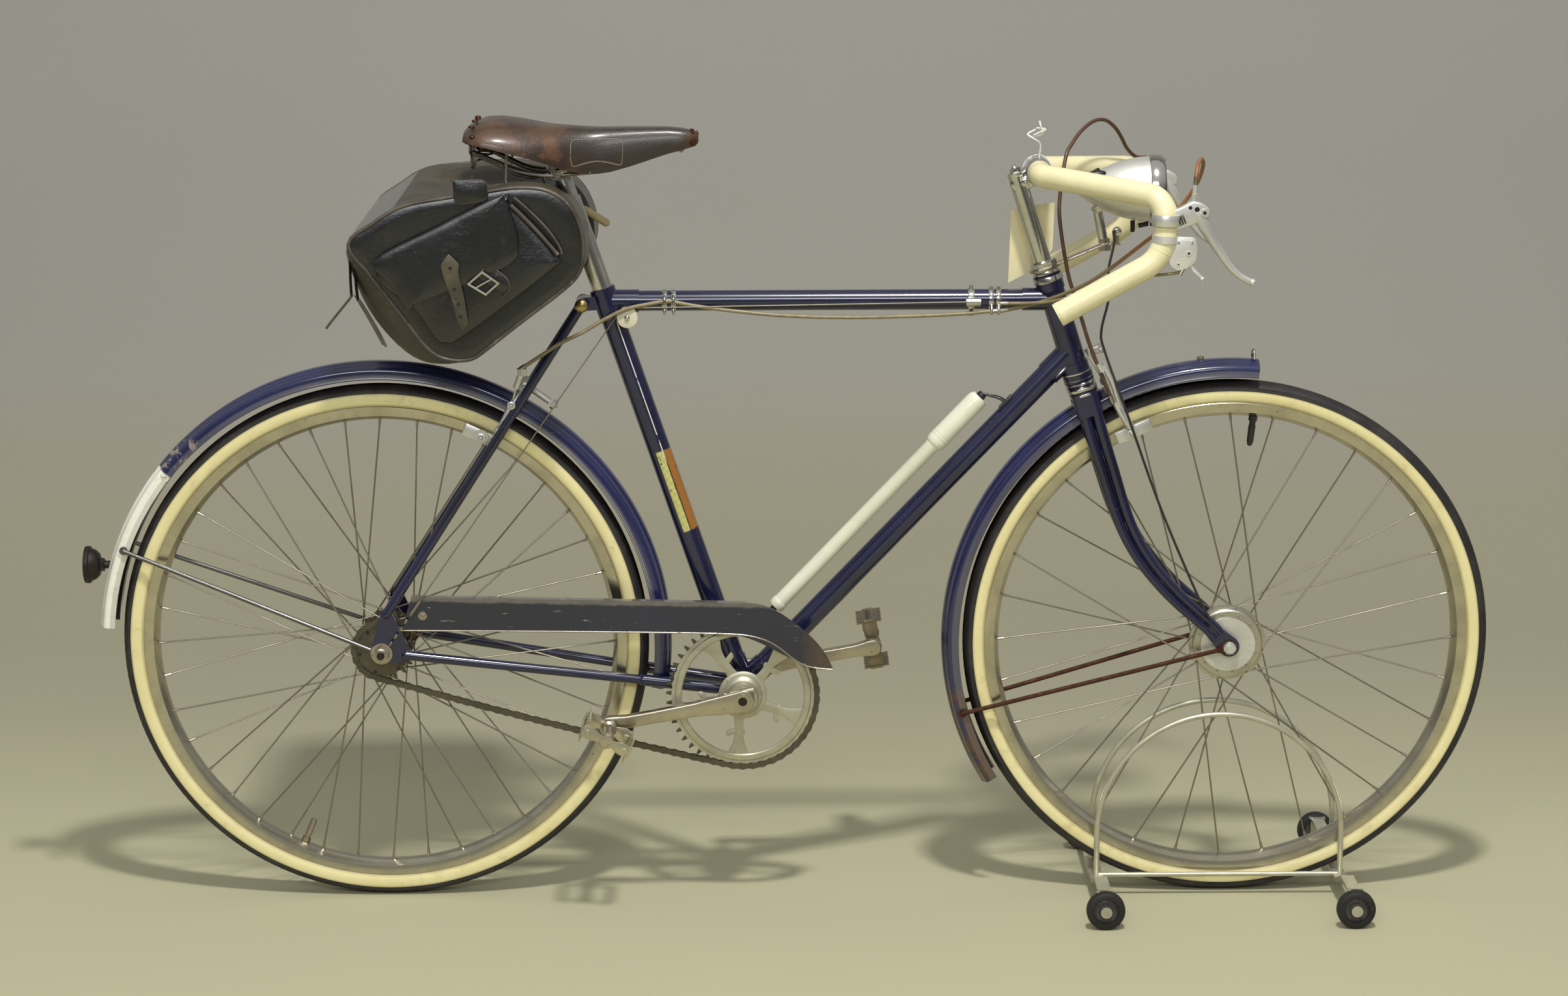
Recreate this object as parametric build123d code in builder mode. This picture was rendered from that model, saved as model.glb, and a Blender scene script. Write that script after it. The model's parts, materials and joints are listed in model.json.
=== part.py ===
from build123d import *
import os
from math import cos, radians, sin, sqrt

os.makedirs("parts", exist_ok=True)

# A lightweight roadster bicycle whose front wheel stands in a small wheeled parking stand.
# Millimetres. +X is forward, +Y is the rider's left, +Z is up. The chain side is at -Y.
# The origin is on the floor, half way along and across the whole object.

# ---- Wheels -------------------------------------------------------------------------------
wheelbase = 1058.0
tyre_radius = 331.0
tyre_width = 37.0
rim_radius = 304.0
rim_inner_radius = 286.0
rim_floor_radius = 296.0
rim_width = 32.0
rim_wall = 2.2
spoke_radius = 1.0
rear_spokes = 40
front_spokes = 32
pin_gap = 0.5

# ---- Frame --------------------------------------------------------------------------------
head_angle = 72.5
fork_rake = 80.0
seat_angle = 71.4
chainstay_run = 449.5
bracket_drop = 60.0
seat_joint_up = 520.0
seat_tube_above_joint = 17.0
tube_radius = 14.3
top_tube_radius = 12.7
lug_wall = 1.5
lug_reach = 40.0
head_tube_radius = 16.0
head_tube_length = 120.0
head_tube_below_joint = 95.5
down_joint_above_end = 27.0
shell_radius = 20.5
shell_width = 68.0
stay_radius = 7.5
stay_end_radius = 6.0
dropout_thickness = 4.5
rear_hub_width = 114.0
front_hub_width = 91.0
axle_radius = 4.8
seat_post_radius = 12.7

# ---- Mudguards ----------------------------------------------------------------------------
guard_wall = 1.2
guard_half_width = 24.0
guard_depth = 21.0
rear_guard_radius = 360.0
rear_guard_start = -9.5
rear_guard_end = 176.0
front_guard_radius = 358.0
front_guard_start = 84.5
front_guard_end = 211.5
guard_bolt_radius = 3.0
bolt_tail = 4.0
reflector_angle = 163.7
reflector_radius = 23.5
reflector_depth = 30.0
reflector_cup = 18.0
reflector_taper = 14.0

# ---- Drive --------------------------------------------------------------------------------
chain_pitch = 12.7
ring_teeth = 46
sprocket_teeth = 18
chain_line = 46.0
tooth_thickness = 2.4
crank_length = 170.0
crank_turn = 190.3
crank_inner = 66.0
crank_thickness = 12.0
spindle_radius = 8.5
pedal_width = 64.0

rear_reach = rear_guard_radius * cos(radians(180 - reflector_angle)) + reflector_depth
rear_axle_x = (rear_reach - wheelbase - tyre_radius) / 2
rear_axle = Vector(rear_axle_x, 0, tyre_radius)
front_axle = Vector(rear_axle_x + wheelbase, 0, tyre_radius)
bracket = rear_axle + Vector(chainstay_run, 0, -bracket_drop)
across = Vector(0, 1, 0)

seat_up = Vector(-cos(radians(seat_angle)), 0, sin(radians(seat_angle)))
seat_joint = bracket + seat_up * seat_joint_up
seat_top = seat_joint + seat_up * seat_tube_above_joint

steer_up = Vector(-cos(radians(head_angle)), 0, sin(radians(head_angle)))
steer_forward = Vector(sin(radians(head_angle)), 0, cos(radians(head_angle)))
steer_foot = front_axle - steer_forward * fork_rake
head_joint_up = (seat_joint.Z - steer_foot.Z) / steer_up.Z
head_low_up = head_joint_up - head_tube_below_joint
head_high_up = head_low_up + head_tube_length


def on_steer(up, forward=0.0, side=0.0):
    """The point at a height, forward reach and side measured from the steering axis."""
    return steer_foot + steer_up * up + steer_forward * forward + across * side


def at_rear(degrees_up, radius, side=0.0):
    """The point at an angle and radius about the rear axle."""
    turn = radians(degrees_up)
    return rear_axle + Vector(radius * cos(turn), side, radius * sin(turn))


def at_front(degrees_up, radius, side=0.0):
    """The point at an angle and radius about the front axle."""
    turn = radians(degrees_up)
    return front_axle + Vector(radius * cos(turn), side, radius * sin(turn))


def toward(centre, point, distance):
    """The point at a distance from a centre, on the way to another point."""
    return centre + (point - centre).normalized() * distance


def beside(point, side):
    """The same point moved to a distance from the middle plane."""
    return Vector(point.X, side, point.Z)


def rod(start, end, radius):
    """Adds a round bar between two points to the part in hand."""
    along = end - start
    with BuildSketch(Plane(origin=start, z_dir=along)) as section:
        Circle(radius)
    extrude(section.sketch, amount=along.length)


def bore(start, end, radius):
    """Cuts a round hole between two points from the part in hand."""
    along = end - start
    with BuildSketch(Plane(origin=start, z_dir=along)) as section:
        Circle(radius)
    extrude(section.sketch, amount=along.length, mode=Mode.SUBTRACT)


def turned(centre, outline, mode=Mode.ADD):
    """Adds a ring turned about the cross axis through a point. The outline is (radius, side)."""
    with BuildSketch(Plane(origin=centre, x_dir=(1, 0, 0), z_dir=(0, 0, 1))) as section:
        with BuildLine():
            Polyline(*outline, close=True)
        make_face()
    revolve(section.sketch, axis=Axis(centre, across), mode=mode)


def disc(centre, radius, low, high, hole=0.0):
    """Adds a disc about the cross axis through a point, between two distances to the side."""
    turned(centre, [(hole, low), (radius, low), (radius, high), (hole, high)])


def tapered(stations):
    """Adds a smooth round tube through (point, direction, radius) stations."""
    sections = []
    for point, direction, radius in stations:
        with BuildSketch(Plane(origin=point, z_dir=direction)) as section:
            Circle(radius)
        sections.append(section.sketch)
    loft(sections)


def bent(points, radii, radius):
    """Adds a round bar along straight runs with an arc of the given radius at each corner."""
    with BuildLine() as route:
        FilletPolyline(*points, radius=radii)
    with BuildSketch(Plane(origin=route.line @ 0, z_dir=route.line % 0)) as section:
        Circle(radius)
    sweep(section.sketch, path=route.line)


# ---- Frame tubes --------------------------------------------------------------------------
cup_length = 12.0
cup_radius = 19.0
steerer_radius = 12.5
steerer_bore = 13.5
lug_radius = top_tube_radius + lug_wall
down_lug_radius = tube_radius + lug_wall
down_joint = on_steer(head_low_up + down_joint_above_end)
head_joint = on_steer(head_joint_up)
down_along = (down_joint - bracket).normalized()
top_along = (head_joint - seat_joint).normalized()

with BuildPart() as head_tube:
    rod(on_steer(head_low_up), on_steer(head_high_up), head_tube_radius)
    rod(on_steer(head_low_up - cup_length), on_steer(head_low_up), cup_radius)
    rod(on_steer(head_high_up), on_steer(head_high_up + cup_length * 0.7), cup_radius - 1)
    rod(on_steer(head_low_up), on_steer(head_low_up + 12), head_tube_radius + lug_wall)
    rod(on_steer(head_high_up - 12), on_steer(head_high_up), head_tube_radius + lug_wall)
    rod(head_joint, head_joint - top_along * lug_reach, lug_radius)
    rod(down_joint, down_joint - down_along * lug_reach, down_lug_radius)
    bore(on_steer(head_low_up - 2 * cup_length), on_steer(head_high_up + 2 * cup_length), steerer_bore)
head_tube.part.label = "head_tube"
export_step(head_tube.part, "parts/head_tube.step")

with BuildPart() as top_tube:
    rod(seat_joint + top_along * lug_reach, head_joint - top_along * lug_reach, top_tube_radius)
top_tube.part.label = "top_tube"
export_step(top_tube.part, "parts/top_tube.step")

with BuildPart() as down_tube:
    rod(bracket + down_along * lug_reach, down_joint - down_along * lug_reach, tube_radius)
down_tube.part.label = "down_tube"
export_step(down_tube.part, "parts/down_tube.step")

pin_back = 30.0
pin_radius = 4.0
ear_half_width = 11.0
seat_pin = seat_joint - Vector(pin_back, 0, 3)
post_depth = 70.0
with BuildPart() as seat_tube:
    rod(bracket + seat_up * lug_reach, seat_top, tube_radius)
    rod(seat_joint - seat_up * 22, seat_top, down_lug_radius)
    rod(seat_joint, seat_joint + top_along * lug_reach, lug_radius)
    with BuildSketch(Plane.XZ.offset(-ear_half_width)) as ear:
        with Locations((seat_pin.X, seat_pin.Z)):
            Circle(pin_radius + 4)
        with Locations((seat_joint.X, seat_joint.Z)):
            Circle(pin_radius + 5)
        make_hull()
    extrude(ear.sketch, amount=2 * ear_half_width)
    bore(beside(seat_pin, -30), beside(seat_pin, 30), pin_radius)
    bore(seat_top - seat_up * post_depth, seat_top + seat_up, seat_post_radius)
seat_tube.part.label = "seat_tube"
export_step(seat_tube.part, "parts/seat_tube.step")

spindle_gap = 0.6
with BuildPart() as bracket_shell:
    disc(bracket, shell_radius, -shell_width / 2, shell_width / 2)
    disc(bracket, shell_radius - 2, -shell_width / 2 - 3, shell_width / 2 + 3)
    rod(bracket, bracket + seat_up * lug_reach, down_lug_radius)
    rod(bracket, bracket + down_along * lug_reach, down_lug_radius)
    disc(bracket, shell_radius, -shell_width / 2, shell_width / 2)
    bore(beside(bracket, -shell_width), beside(bracket, shell_width), spindle_radius + spindle_gap)
bracket_shell.part.label = "bracket_shell"
export_step(bracket_shell.part, "parts/bracket_shell.step")

# ---- Rear triangle ------------------------------------------------------------------------
dropout_inner = rear_hub_width / 2
dropout_middle = dropout_inner + dropout_thickness / 2
dropout_split = rear_axle.Z + 20
chain_stay_end = rear_axle + Vector(30, 0, -3)
seat_stay_end = rear_axle + Vector(7, 0, 50)
bridge_radius = 5.5
bridge_gap = 8.0


def dropouts(keep):
    """Adds the part of both rear fork ends above or below the split between the stays."""
    for side in (-1, 1):
        with BuildSketch(Plane.XZ.offset(-side * dropout_middle - dropout_thickness / 2)) as plate:
            for centre, radius in ((rear_axle, 14), (chain_stay_end, 8), (seat_stay_end, 7)):
                with Locations((centre.X, centre.Z)):
                    Circle(radius)
            make_hull()
        extrude(plate.sketch, amount=dropout_thickness)
    bore(beside(rear_axle, -shell_width), beside(rear_axle, shell_width), axle_radius)
    split(bisect_by=Plane.XY.offset(dropout_split), keep=keep)


stay_waist_side = 31.0
chain_stay_bridge = bracket + Vector(rear_guard_radius + bridge_gap - chainstay_run, 0, 12)
with BuildPart() as chain_stays:
    dropouts(Keep.BOTTOM)
    for side in (-1, 1):
        start = bracket + Vector(-15, side * 24, 1)
        waist = bracket + Vector(-125, side * stay_waist_side, 16)
        tail = beside(chain_stay_end, side * dropout_middle)
        rod(start, waist, stay_radius)
        rod(waist, tail, stay_end_radius)
        with Locations(waist):
            Sphere(stay_radius)
        with Locations(tail):
            Sphere(stay_end_radius)
    rod(beside(chain_stay_bridge, -24), beside(chain_stay_bridge, 24), bridge_radius)
    rod(chain_stay_bridge, toward(rear_axle, chain_stay_bridge, rear_guard_radius - bolt_tail),
        guard_bolt_radius)
    bore(beside(bracket, -2 * shell_width), beside(bracket, 2 * shell_width), shell_radius)
chain_stays.part.label = "chain_stays"
export_step(chain_stays.part, "parts/chain_stays.step")


def meet(start, end, centre, distance):
    """The point between two others that lies at a distance from a centre, nearest the start."""
    along = end - start
    away = start - centre
    a = along.dot(along)
    b = 2 * away.dot(along)
    c = away.dot(away) - distance * distance
    return start + along * ((-b - sqrt(b * b - 4 * a * c)) / (2 * a))


stay_top_side = ear_half_width + stay_end_radius
stay_bridge = meet(seat_pin, seat_stay_end, rear_axle, rear_guard_radius + bridge_gap)
stay_bridge_share = (stay_bridge - seat_pin).length / (seat_stay_end - seat_pin).length
stay_bridge_side = stay_top_side + (dropout_middle - stay_top_side) * stay_bridge_share
with BuildPart() as seat_stays:
    dropouts(Keep.TOP)
    for side in (-1, 1):
        top = beside(seat_pin, side * stay_top_side)
        foot = beside(seat_stay_end, side * dropout_middle)
        rod(top, foot, stay_end_radius)
        with Locations(foot):
            Sphere(stay_end_radius)
        disc(seat_pin, pin_radius + 4, min(side * ear_half_width, side * 22), max(side * ear_half_width, side * 22))
    rod(beside(seat_pin, -25), beside(seat_pin, 25), pin_radius)
    rod(beside(stay_bridge, -stay_bridge_side), beside(stay_bridge, stay_bridge_side), bridge_radius)
    rod(stay_bridge, toward(rear_axle, stay_bridge, rear_guard_radius - bolt_tail), guard_bolt_radius)
seat_stays.part.label = "seat_stays"
export_step(seat_stays.part, "parts/seat_stays.step")

# ---- Fork and steering column --------------------------------------------------------------
crown_bottom = 358.0
crown_height = 10.0
crown_half_width = 43.0
race_gap = 0.6
blade_top_side = 33.0
blade_radius = 7.6
blade_tip_radius = 5.0
blade_gap = 0.2
fork_bend_radius = 270.0
fork_bend_up = 145.0
fork_dropout_thickness = 4.0
fork_dropout_middle = front_hub_width / 2 + fork_dropout_thickness / 2
blade_stations = 9
stack_top = head_high_up + cup_length * 0.7
nuts_height = 17.0
quill_radius = 11.0

with BuildLine() as blade_line:
    FilletPolyline(
        on_steer(crown_bottom + 2, 0, -blade_top_side),
        on_steer(fork_bend_up, 0, -blade_top_side - 7),
        on_steer(0, fork_rake, -fork_dropout_middle),
        radius=fork_bend_radius,
    )

with BuildPart() as fork:
    with BuildSketch(Plane(origin=on_steer(crown_bottom), x_dir=steer_forward, z_dir=steer_up)) as crown:
        SlotOverall(2 * crown_half_width, 36, rotation=90)
    extrude(crown.sketch, amount=crown_height)
    rod(on_steer(crown_bottom), on_steer(head_low_up - cup_length - race_gap), cup_radius - 1)
    rod(on_steer(crown_bottom), on_steer(stack_top + race_gap + nuts_height), steerer_radius)
    for side in (-1, 1):
        flip = Vector(1, -side, 1)
        for fore in (-1, 1):
            stations = []
            for k in range(blade_stations):
                share = k / (blade_stations - 1) * 0.95
                point = blade_line.line @ share
                along = blade_line.line % share
                radius = blade_radius + (blade_tip_radius - blade_radius) * share
                ahead = Vector(along.Z, 0, -along.X).normalized() * -fore
                point = point + ahead * (radius + blade_gap)
                stations.append((Vector(point.X, -side * point.Y, point.Z),
                                 Vector(along.X, -side * along.Y, along.Z), radius))
            tapered(stations)
        with BuildSketch(Plane(origin=on_steer(crown_bottom - 26, 0, side * (blade_top_side + 1)),
                               x_dir=steer_forward, z_dir=steer_up)) as socket:
            SlotOverall(4 * blade_radius + 3, 2 * blade_radius + 3)
        extrude(socket.sketch, amount=30)
        with BuildSketch(Plane.XZ.offset(-side * fork_dropout_middle - fork_dropout_thickness / 2)) as plate:
            tip = blade_line.line @ 0.93
            for centre, radius in ((front_axle, 13), (tip, 2 * blade_tip_radius)):
                with Locations((centre.X, centre.Z)):
                    Circle(radius)
            make_hull()
        extrude(plate.sketch, amount=fork_dropout_thickness)
    bore(beside(front_axle, -shell_width), beside(front_axle, shell_width), axle_radius)
    rod(on_steer(crown_bottom), toward(front_axle, on_steer(crown_bottom), front_guard_radius - bolt_tail),
        guard_bolt_radius)
fork.part.label = "fork"
export_step(fork.part, "parts/fork.step")

nut_low = stack_top + race_gap
with BuildPart() as headset_nuts:
    rod(on_steer(nut_low), on_steer(nut_low + 6), cup_radius - 2)
    with BuildSketch(Plane(origin=on_steer(nut_low + 8.5), x_dir=steer_forward, z_dir=steer_up)) as nut:
        RegularPolygon(cup_radius - 2, 6)
    extrude(nut.sketch, amount=nuts_height - 8.5)
    rod(on_steer(nut_low + 6), on_steer(nut_low + 8.5), steerer_radius + 1)
    bore(on_steer(nut_low - 1), on_steer(nut_low + nuts_height + 1), steerer_radius)
headset_nuts.part.label = "headset_nuts"
export_step(headset_nuts.part, "parts/headset_nuts.step")

bar_reach = 27.0
bar_up = 637.0
bar_radius = 12.7
grip_radius = 14.6
clamp_half_width = 20.0
quill_top = bar_up + 4
clamp_centre = on_steer(bar_up, bar_reach)

# ---- Handlebar ----------------------------------------------------------------------------
bar_side = 163.0
bar_forward = 140.0
bar_hook = 70.0
bar_back = 126.0
bar_end_drop = 153.0
shoulder_side = 42.0


def bar_route(side):
    """The middle line of one half of the bar, from the clamp to its end."""
    start = beside(clamp_centre, side * clamp_half_width)
    return [
        start,
        clamp_centre + Vector(0, side * shoulder_side, -1),
        clamp_centre + Vector(bar_forward, side * (bar_side - 4), -14),
        clamp_centre + Vector(bar_forward - 2, side * bar_side, -14 - bar_hook),
        clamp_centre + Vector(bar_forward - 2 - bar_back, side * bar_side, -bar_end_drop),
    ]


bar_bends = [24.0, 28.0, 48.0]
with BuildPart() as handlebar:
    rod(beside(clamp_centre, -clamp_half_width), beside(clamp_centre, clamp_half_width), bar_radius)
    for side in (-1, 1):
        bent(bar_route(side), bar_bends, grip_radius)
handlebar.part.label = "handlebar"
export_step(handlebar.part, "parts/handlebar.step")

with BuildPart() as stem:
    rod(on_steer(nut_low + nuts_height), on_steer(quill_top), quill_radius)
    rod(on_steer(quill_top), on_steer(quill_top + 6), quill_radius - 4)
    with BuildSketch(Plane.XZ.offset(-9)) as neck:
        for centre, radius in ((on_steer(quill_top - 11), 11), (clamp_centre, 14)):
            with Locations((centre.X, centre.Z)):
                Circle(radius)
        make_hull()
    extrude(neck.sketch, amount=18)
    disc(clamp_centre, bar_radius + 4, -clamp_half_width, clamp_half_width)
    add(handlebar.part, mode=Mode.SUBTRACT)
stem.part.label = "stem"
export_step(stem.part, "parts/stem.step")

lever_names = {-1: "brake_lever_right", 1: "brake_lever_left"}
hook_top = clamp_centre + Vector(bar_forward - 1, 0, -14 - bar_hook * 0.35)
for side, name in lever_names.items():
    hook = beside(hook_top, side * (bar_side - 1))
    with BuildPart() as lever:
        with Locations(Plane(origin=hook, z_dir=(0, 0, 1))):
            Cylinder(grip_radius + 2.5, 14)
        with BuildSketch(Plane.XZ.offset(-hook.Y - 6)) as body:
            with Locations((hook.X, hook.Z)):
                Circle(9)
            with Locations((hook.X + 40, hook.Z + 8)):
                Circle(12)
            make_hull()
        extrude(body.sketch, amount=12)
        bent([hook + Vector(40, 0, 8), hook + Vector(62, 0, -20), hook + Vector(84, 0, -52),
              hook + Vector(108, 0, -68)], [60, 40], 4.5)
        rod(hook + Vector(34, 0, 14), hook + Vector(34, 0, 40), 3.5)
        add(handlebar.part, mode=Mode.SUBTRACT)
    lever.part.label = name
    export_step(lever.part, f"parts/{name}.step")

with BuildPart() as gear_trigger:
    trigger_centre = beside(hook_top, -bar_side - 3) + Vector(24, 0, -36)
    with BuildSketch(Plane.XZ.offset(-trigger_centre.Y - 3)) as plate:
        with Locations((trigger_centre.X, trigger_centre.Z + 10)):
            Circle(15)
        with Locations((trigger_centre.X, trigger_centre.Z - 8)):
            Circle(13)
        make_hull()
    extrude(plate.sketch, amount=6)
    bent([trigger_centre + Vector(6, 0, -10), trigger_centre + Vector(12, 0, -24),
          trigger_centre + Vector(24, 0, -34)], [10], 2.2)
    add(handlebar.part, mode=Mode.SUBTRACT)
gear_trigger.part.label = "gear_trigger"
export_step(gear_trigger.part, "parts/gear_trigger.step")

# ---- Headlamp -----------------------------------------------------------------------------
lamp_rim_radius = 42.0
lamp_centre = front_axle + Vector(-104, 0, 569)
lamp_tail = 92.0
with BuildPart() as headlamp:
    with BuildSketch(Plane(origin=lamp_centre, x_dir=(-1, 0, 0), z_dir=(0, -1, 0))) as bullet:
        with BuildLine():
            Line((-17, 0), (lamp_tail, 0))
            Spline((lamp_tail, 0), (lamp_tail - 10, 10), (50, 24), (0, lamp_rim_radius - 2))
            Polyline((0, lamp_rim_radius - 2), (0, lamp_rim_radius), (-15, lamp_rim_radius),
                     (-17, lamp_rim_radius - 6), (-17, 0))
        make_face()
    revolve(bullet.sketch, axis=Axis(lamp_centre, (1, 0, 0)))
headlamp.part.label = "headlamp"
export_step(headlamp.part, "parts/headlamp.step")

lamp_strip_up = nut_low + 7.2
with BuildPart() as lamp_bracket:
    strip_start = on_steer(lamp_strip_up, cup_radius - 5)
    post_foot = lamp_centre + Vector(-56, 0, -68)
    post_head = lamp_centre + Vector(-66, 0, -20)
    rod(on_steer(lamp_strip_up - 1), on_steer(lamp_strip_up + 1), cup_radius + 1)
    with BuildSketch(Plane(origin=strip_start, z_dir=post_foot - strip_start)) as strip:
        Rectangle(3, 16)
    extrude(strip.sketch, amount=(post_foot - strip_start).length)
    rod(post_foot + Vector(1, 0, -6), post_head, 6)
    add(headlamp.part, mode=Mode.SUBTRACT)
    add(headset_nuts.part, mode=Mode.SUBTRACT)
    bore(on_steer(lamp_strip_up - 20), on_steer(lamp_strip_up + 20), steerer_radius + 1)
lamp_bracket.part.label = "lamp_bracket"
export_step(lamp_bracket.part, "parts/lamp_bracket.step")

# ---- Wheels -------------------------------------------------------------------------------
bead_half_width = rim_width / 2 - rim_wall
rim_outline = [
    (rim_radius, -rim_width / 2), (rim_radius, -bead_half_width), (rim_floor_radius, -bead_half_width),
    (rim_floor_radius, bead_half_width), (rim_radius, bead_half_width), (rim_radius, rim_width / 2),
    (rim_inner_radius + 4, rim_width / 2 - 1), (rim_inner_radius, rim_width / 2 - 7),
    (rim_inner_radius, 7 - rim_width / 2), (rim_inner_radius + 4, 1 - rim_width / 2),
]


def spokes(axle, count, crossing, flanges):
    """Adds tangent spokes from the two hub flanges, given as side: (distance, radius), to the rim."""
    for k in range(count):
        side = 1 if k % 2 else -1
        lean = 1 if (k // 2) % 2 else -1
        distance, radius = flanges[side]
        rim_turn = radians(360 * k / count)
        hub_turn = rim_turn + lean * radians(crossing)
        hub_radius = radius - 3
        rim_foot = rim_inner_radius + 3
        start = axle + Vector(hub_radius * cos(hub_turn), distance + lean * 1.2, hub_radius * sin(hub_turn))
        end = axle + Vector(rim_foot * cos(rim_turn), side * 3, rim_foot * sin(rim_turn))
        rod(start, end, spoke_radius)


def tyre_section(axle):
    """Adds a tyre seated in the rim about the cross axis through the axle."""
    shoulder = rim_radius + (tyre_radius - rim_radius) * 0.42
    with BuildSketch(Plane(origin=axle, x_dir=(1, 0, 0), z_dir=(0, 0, 1))) as section:
        with BuildLine():
            Polyline((rim_radius, -bead_half_width), (rim_floor_radius, -bead_half_width),
                     (rim_floor_radius, bead_half_width), (rim_radius, bead_half_width))
            ThreePointArc((rim_radius, bead_half_width), (rim_radius + 4, tyre_width / 2 - 1),
                          (shoulder, tyre_width / 2))
            ThreePointArc((shoulder, tyre_width / 2), (tyre_radius, 0), (shoulder, -tyre_width / 2))
            ThreePointArc((shoulder, -tyre_width / 2), (rim_radius + 4, 1 - tyre_width / 2),
                          (rim_radius, -bead_half_width))
        make_face()
    revolve(section.sketch, axis=Axis(axle, across))


rear_flange_right = 27.0
rear_flange_left = 31.0
rear_flange_radius = 34.0
rear_shell_radius = 24.0
hub_bore = axle_radius + pin_gap
with BuildPart() as rear_wheel:
    turned(rear_axle, rim_outline)
    disc(rear_axle, rear_shell_radius, -rear_flange_right, rear_flange_left, hub_bore)
    disc(rear_axle, rear_flange_radius, -rear_flange_right - 1.5, -rear_flange_right + 1.5, hub_bore)
    disc(rear_axle, rear_flange_radius, rear_flange_left - 1.5, rear_flange_left + 1.5, hub_bore)
    disc(rear_axle, rear_shell_radius - 5, rear_flange_left, rear_flange_left + 12, hub_bore)
    spokes(rear_axle, rear_spokes, 68,
           {-1: (-rear_flange_right, rear_flange_radius), 1: (rear_flange_left, rear_flange_radius)})
rear_wheel.part.label = "rear_wheel"
export_step(rear_wheel.part, "parts/rear_wheel.step")

with BuildPart() as rear_tyre:
    tyre_section(rear_axle)
rear_tyre.part.label = "rear_tyre"
export_step(rear_tyre.part, "parts/rear_tyre.step")

drum_radius = 44.0
drum_flange_radius = 48.0
drum_inner = 20.0
drum_outer = 35.0
front_flange_left = 30.0
front_flange_radius = 26.0
with BuildPart() as front_wheel:
    turned(front_axle, rim_outline)
    disc(front_axle, drum_radius, -drum_outer, -drum_inner, hub_bore)
    disc(front_axle, drum_flange_radius, -drum_inner - 8, -drum_inner - 5, hub_bore)
    disc(front_axle, 14, -drum_inner, front_flange_left, hub_bore)
    disc(front_axle, front_flange_radius, front_flange_left - 1.5, front_flange_left + 1.5, hub_bore)
    disc(front_axle, 12, front_flange_left, front_flange_left + 8, hub_bore)
    spokes(front_axle, front_spokes, 56,
           {-1: (-drum_inner - 6.5, drum_flange_radius), 1: (front_flange_left, front_flange_radius)})
front_wheel.part.label = "front_wheel"
export_step(front_wheel.part, "parts/front_wheel.step")

with BuildPart() as front_tyre:
    tyre_section(front_axle)
front_tyre.part.label = "front_tyre"
export_step(front_tyre.part, "parts/front_tyre.step")

cover_radius = 34.0
nut_radius = 8.0
nut_thickness = 8.0
stay_tab = 1.6
with BuildPart() as front_spindle:
    disc(front_axle, axle_radius, -front_hub_width / 2 - 18, front_hub_width / 2 + 16)
    disc(front_axle, cover_radius, -drum_outer - pin_gap - 3, -drum_outer - pin_gap)
    disc(front_axle, axle_radius + 4, -front_hub_width / 2, -drum_outer - pin_gap)
    disc(front_axle, axle_radius + 4, front_flange_left + 8 + pin_gap, front_hub_width / 2)
    for side in (-1, 1):
        outer = front_hub_width / 2 + fork_dropout_thickness + stay_tab
        with BuildSketch(Plane.XZ.offset(-side * (outer + nut_thickness / 2) - nut_thickness / 2)) as nut:
            with Locations((front_axle.X, front_axle.Z)):
                RegularPolygon(nut_radius, 6)
        extrude(nut.sketch, amount=nut_thickness)
front_spindle.part.label = "front_spindle"
export_step(front_spindle.part, "parts/front_spindle.step")

sprocket_bore_gap = 0.6
with BuildPart() as rear_spindle:
    disc(rear_axle, axle_radius, -rear_hub_width / 2 - 20, rear_hub_width / 2 + 17)
    disc(rear_axle, axle_radius + 5, -rear_hub_width / 2, -chain_line - 9)
    disc(rear_axle, axle_radius + 5, rear_flange_left + 12 + pin_gap, rear_hub_width / 2)
    for side in (-1, 1):
        outer = rear_hub_width / 2 + dropout_thickness + stay_tab
        with BuildSketch(Plane.XZ.offset(-side * (outer + nut_thickness / 2) - nut_thickness / 2)) as nut:
            with Locations((rear_axle.X, rear_axle.Z)):
                RegularPolygon(nut_radius, 6)
        extrude(nut.sketch, amount=nut_thickness)
rear_spindle.part.label = "rear_spindle"
export_step(rear_spindle.part, "parts/rear_spindle.step")

# ---- Chain drive --------------------------------------------------------------------------
ring_pitch_radius = chain_pitch / 2 / sin(radians(180 / ring_teeth))
sprocket_pitch_radius = chain_pitch / 2 / sin(radians(180 / sprocket_teeth))
roller_radius = 3.9
tooth_rise = 3.6
plate_rise = 4.2
ring_centre = beside(bracket, -chain_line)
sprocket_centre = beside(rear_axle, -chain_line)


def toothed(centre, teeth, pitch_radius, turn):
    """Adds a toothed disc in the chain line: a root disc with one trapezoid for each tooth."""
    root = pitch_radius - roller_radius
    tip = pitch_radius + tooth_rise
    with BuildSketch(Plane.XZ.offset(chain_line - tooth_thickness / 2)) as outline:
        with Locations((centre.X, centre.Z)):
            Circle(root)
        with Locations((centre.X, centre.Z)):
            with PolarLocations(0, teeth, start_angle=turn):
                Polygon((root - 2, -3.6), (root + 1, -3.2), (tip, -1.2), (tip, 1.2), (root + 1, 3.2),
                        (root - 2, 3.6), align=None)
    extrude(outline.sketch, amount=tooth_thickness)


ring_rim = 12.0
ring_hub = 27.0
ring_arms = 5
crank_along = Vector(cos(radians(crank_turn)), 0, sin(radians(crank_turn)))
right_pedal_centre = bracket + crank_along * crank_length
left_pedal_centre = bracket - crank_along * crank_length
boss_radius = 15.0
eye_radius = 11.0
arm_half_top = 10.0
pedal_gap = 6.0


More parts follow.
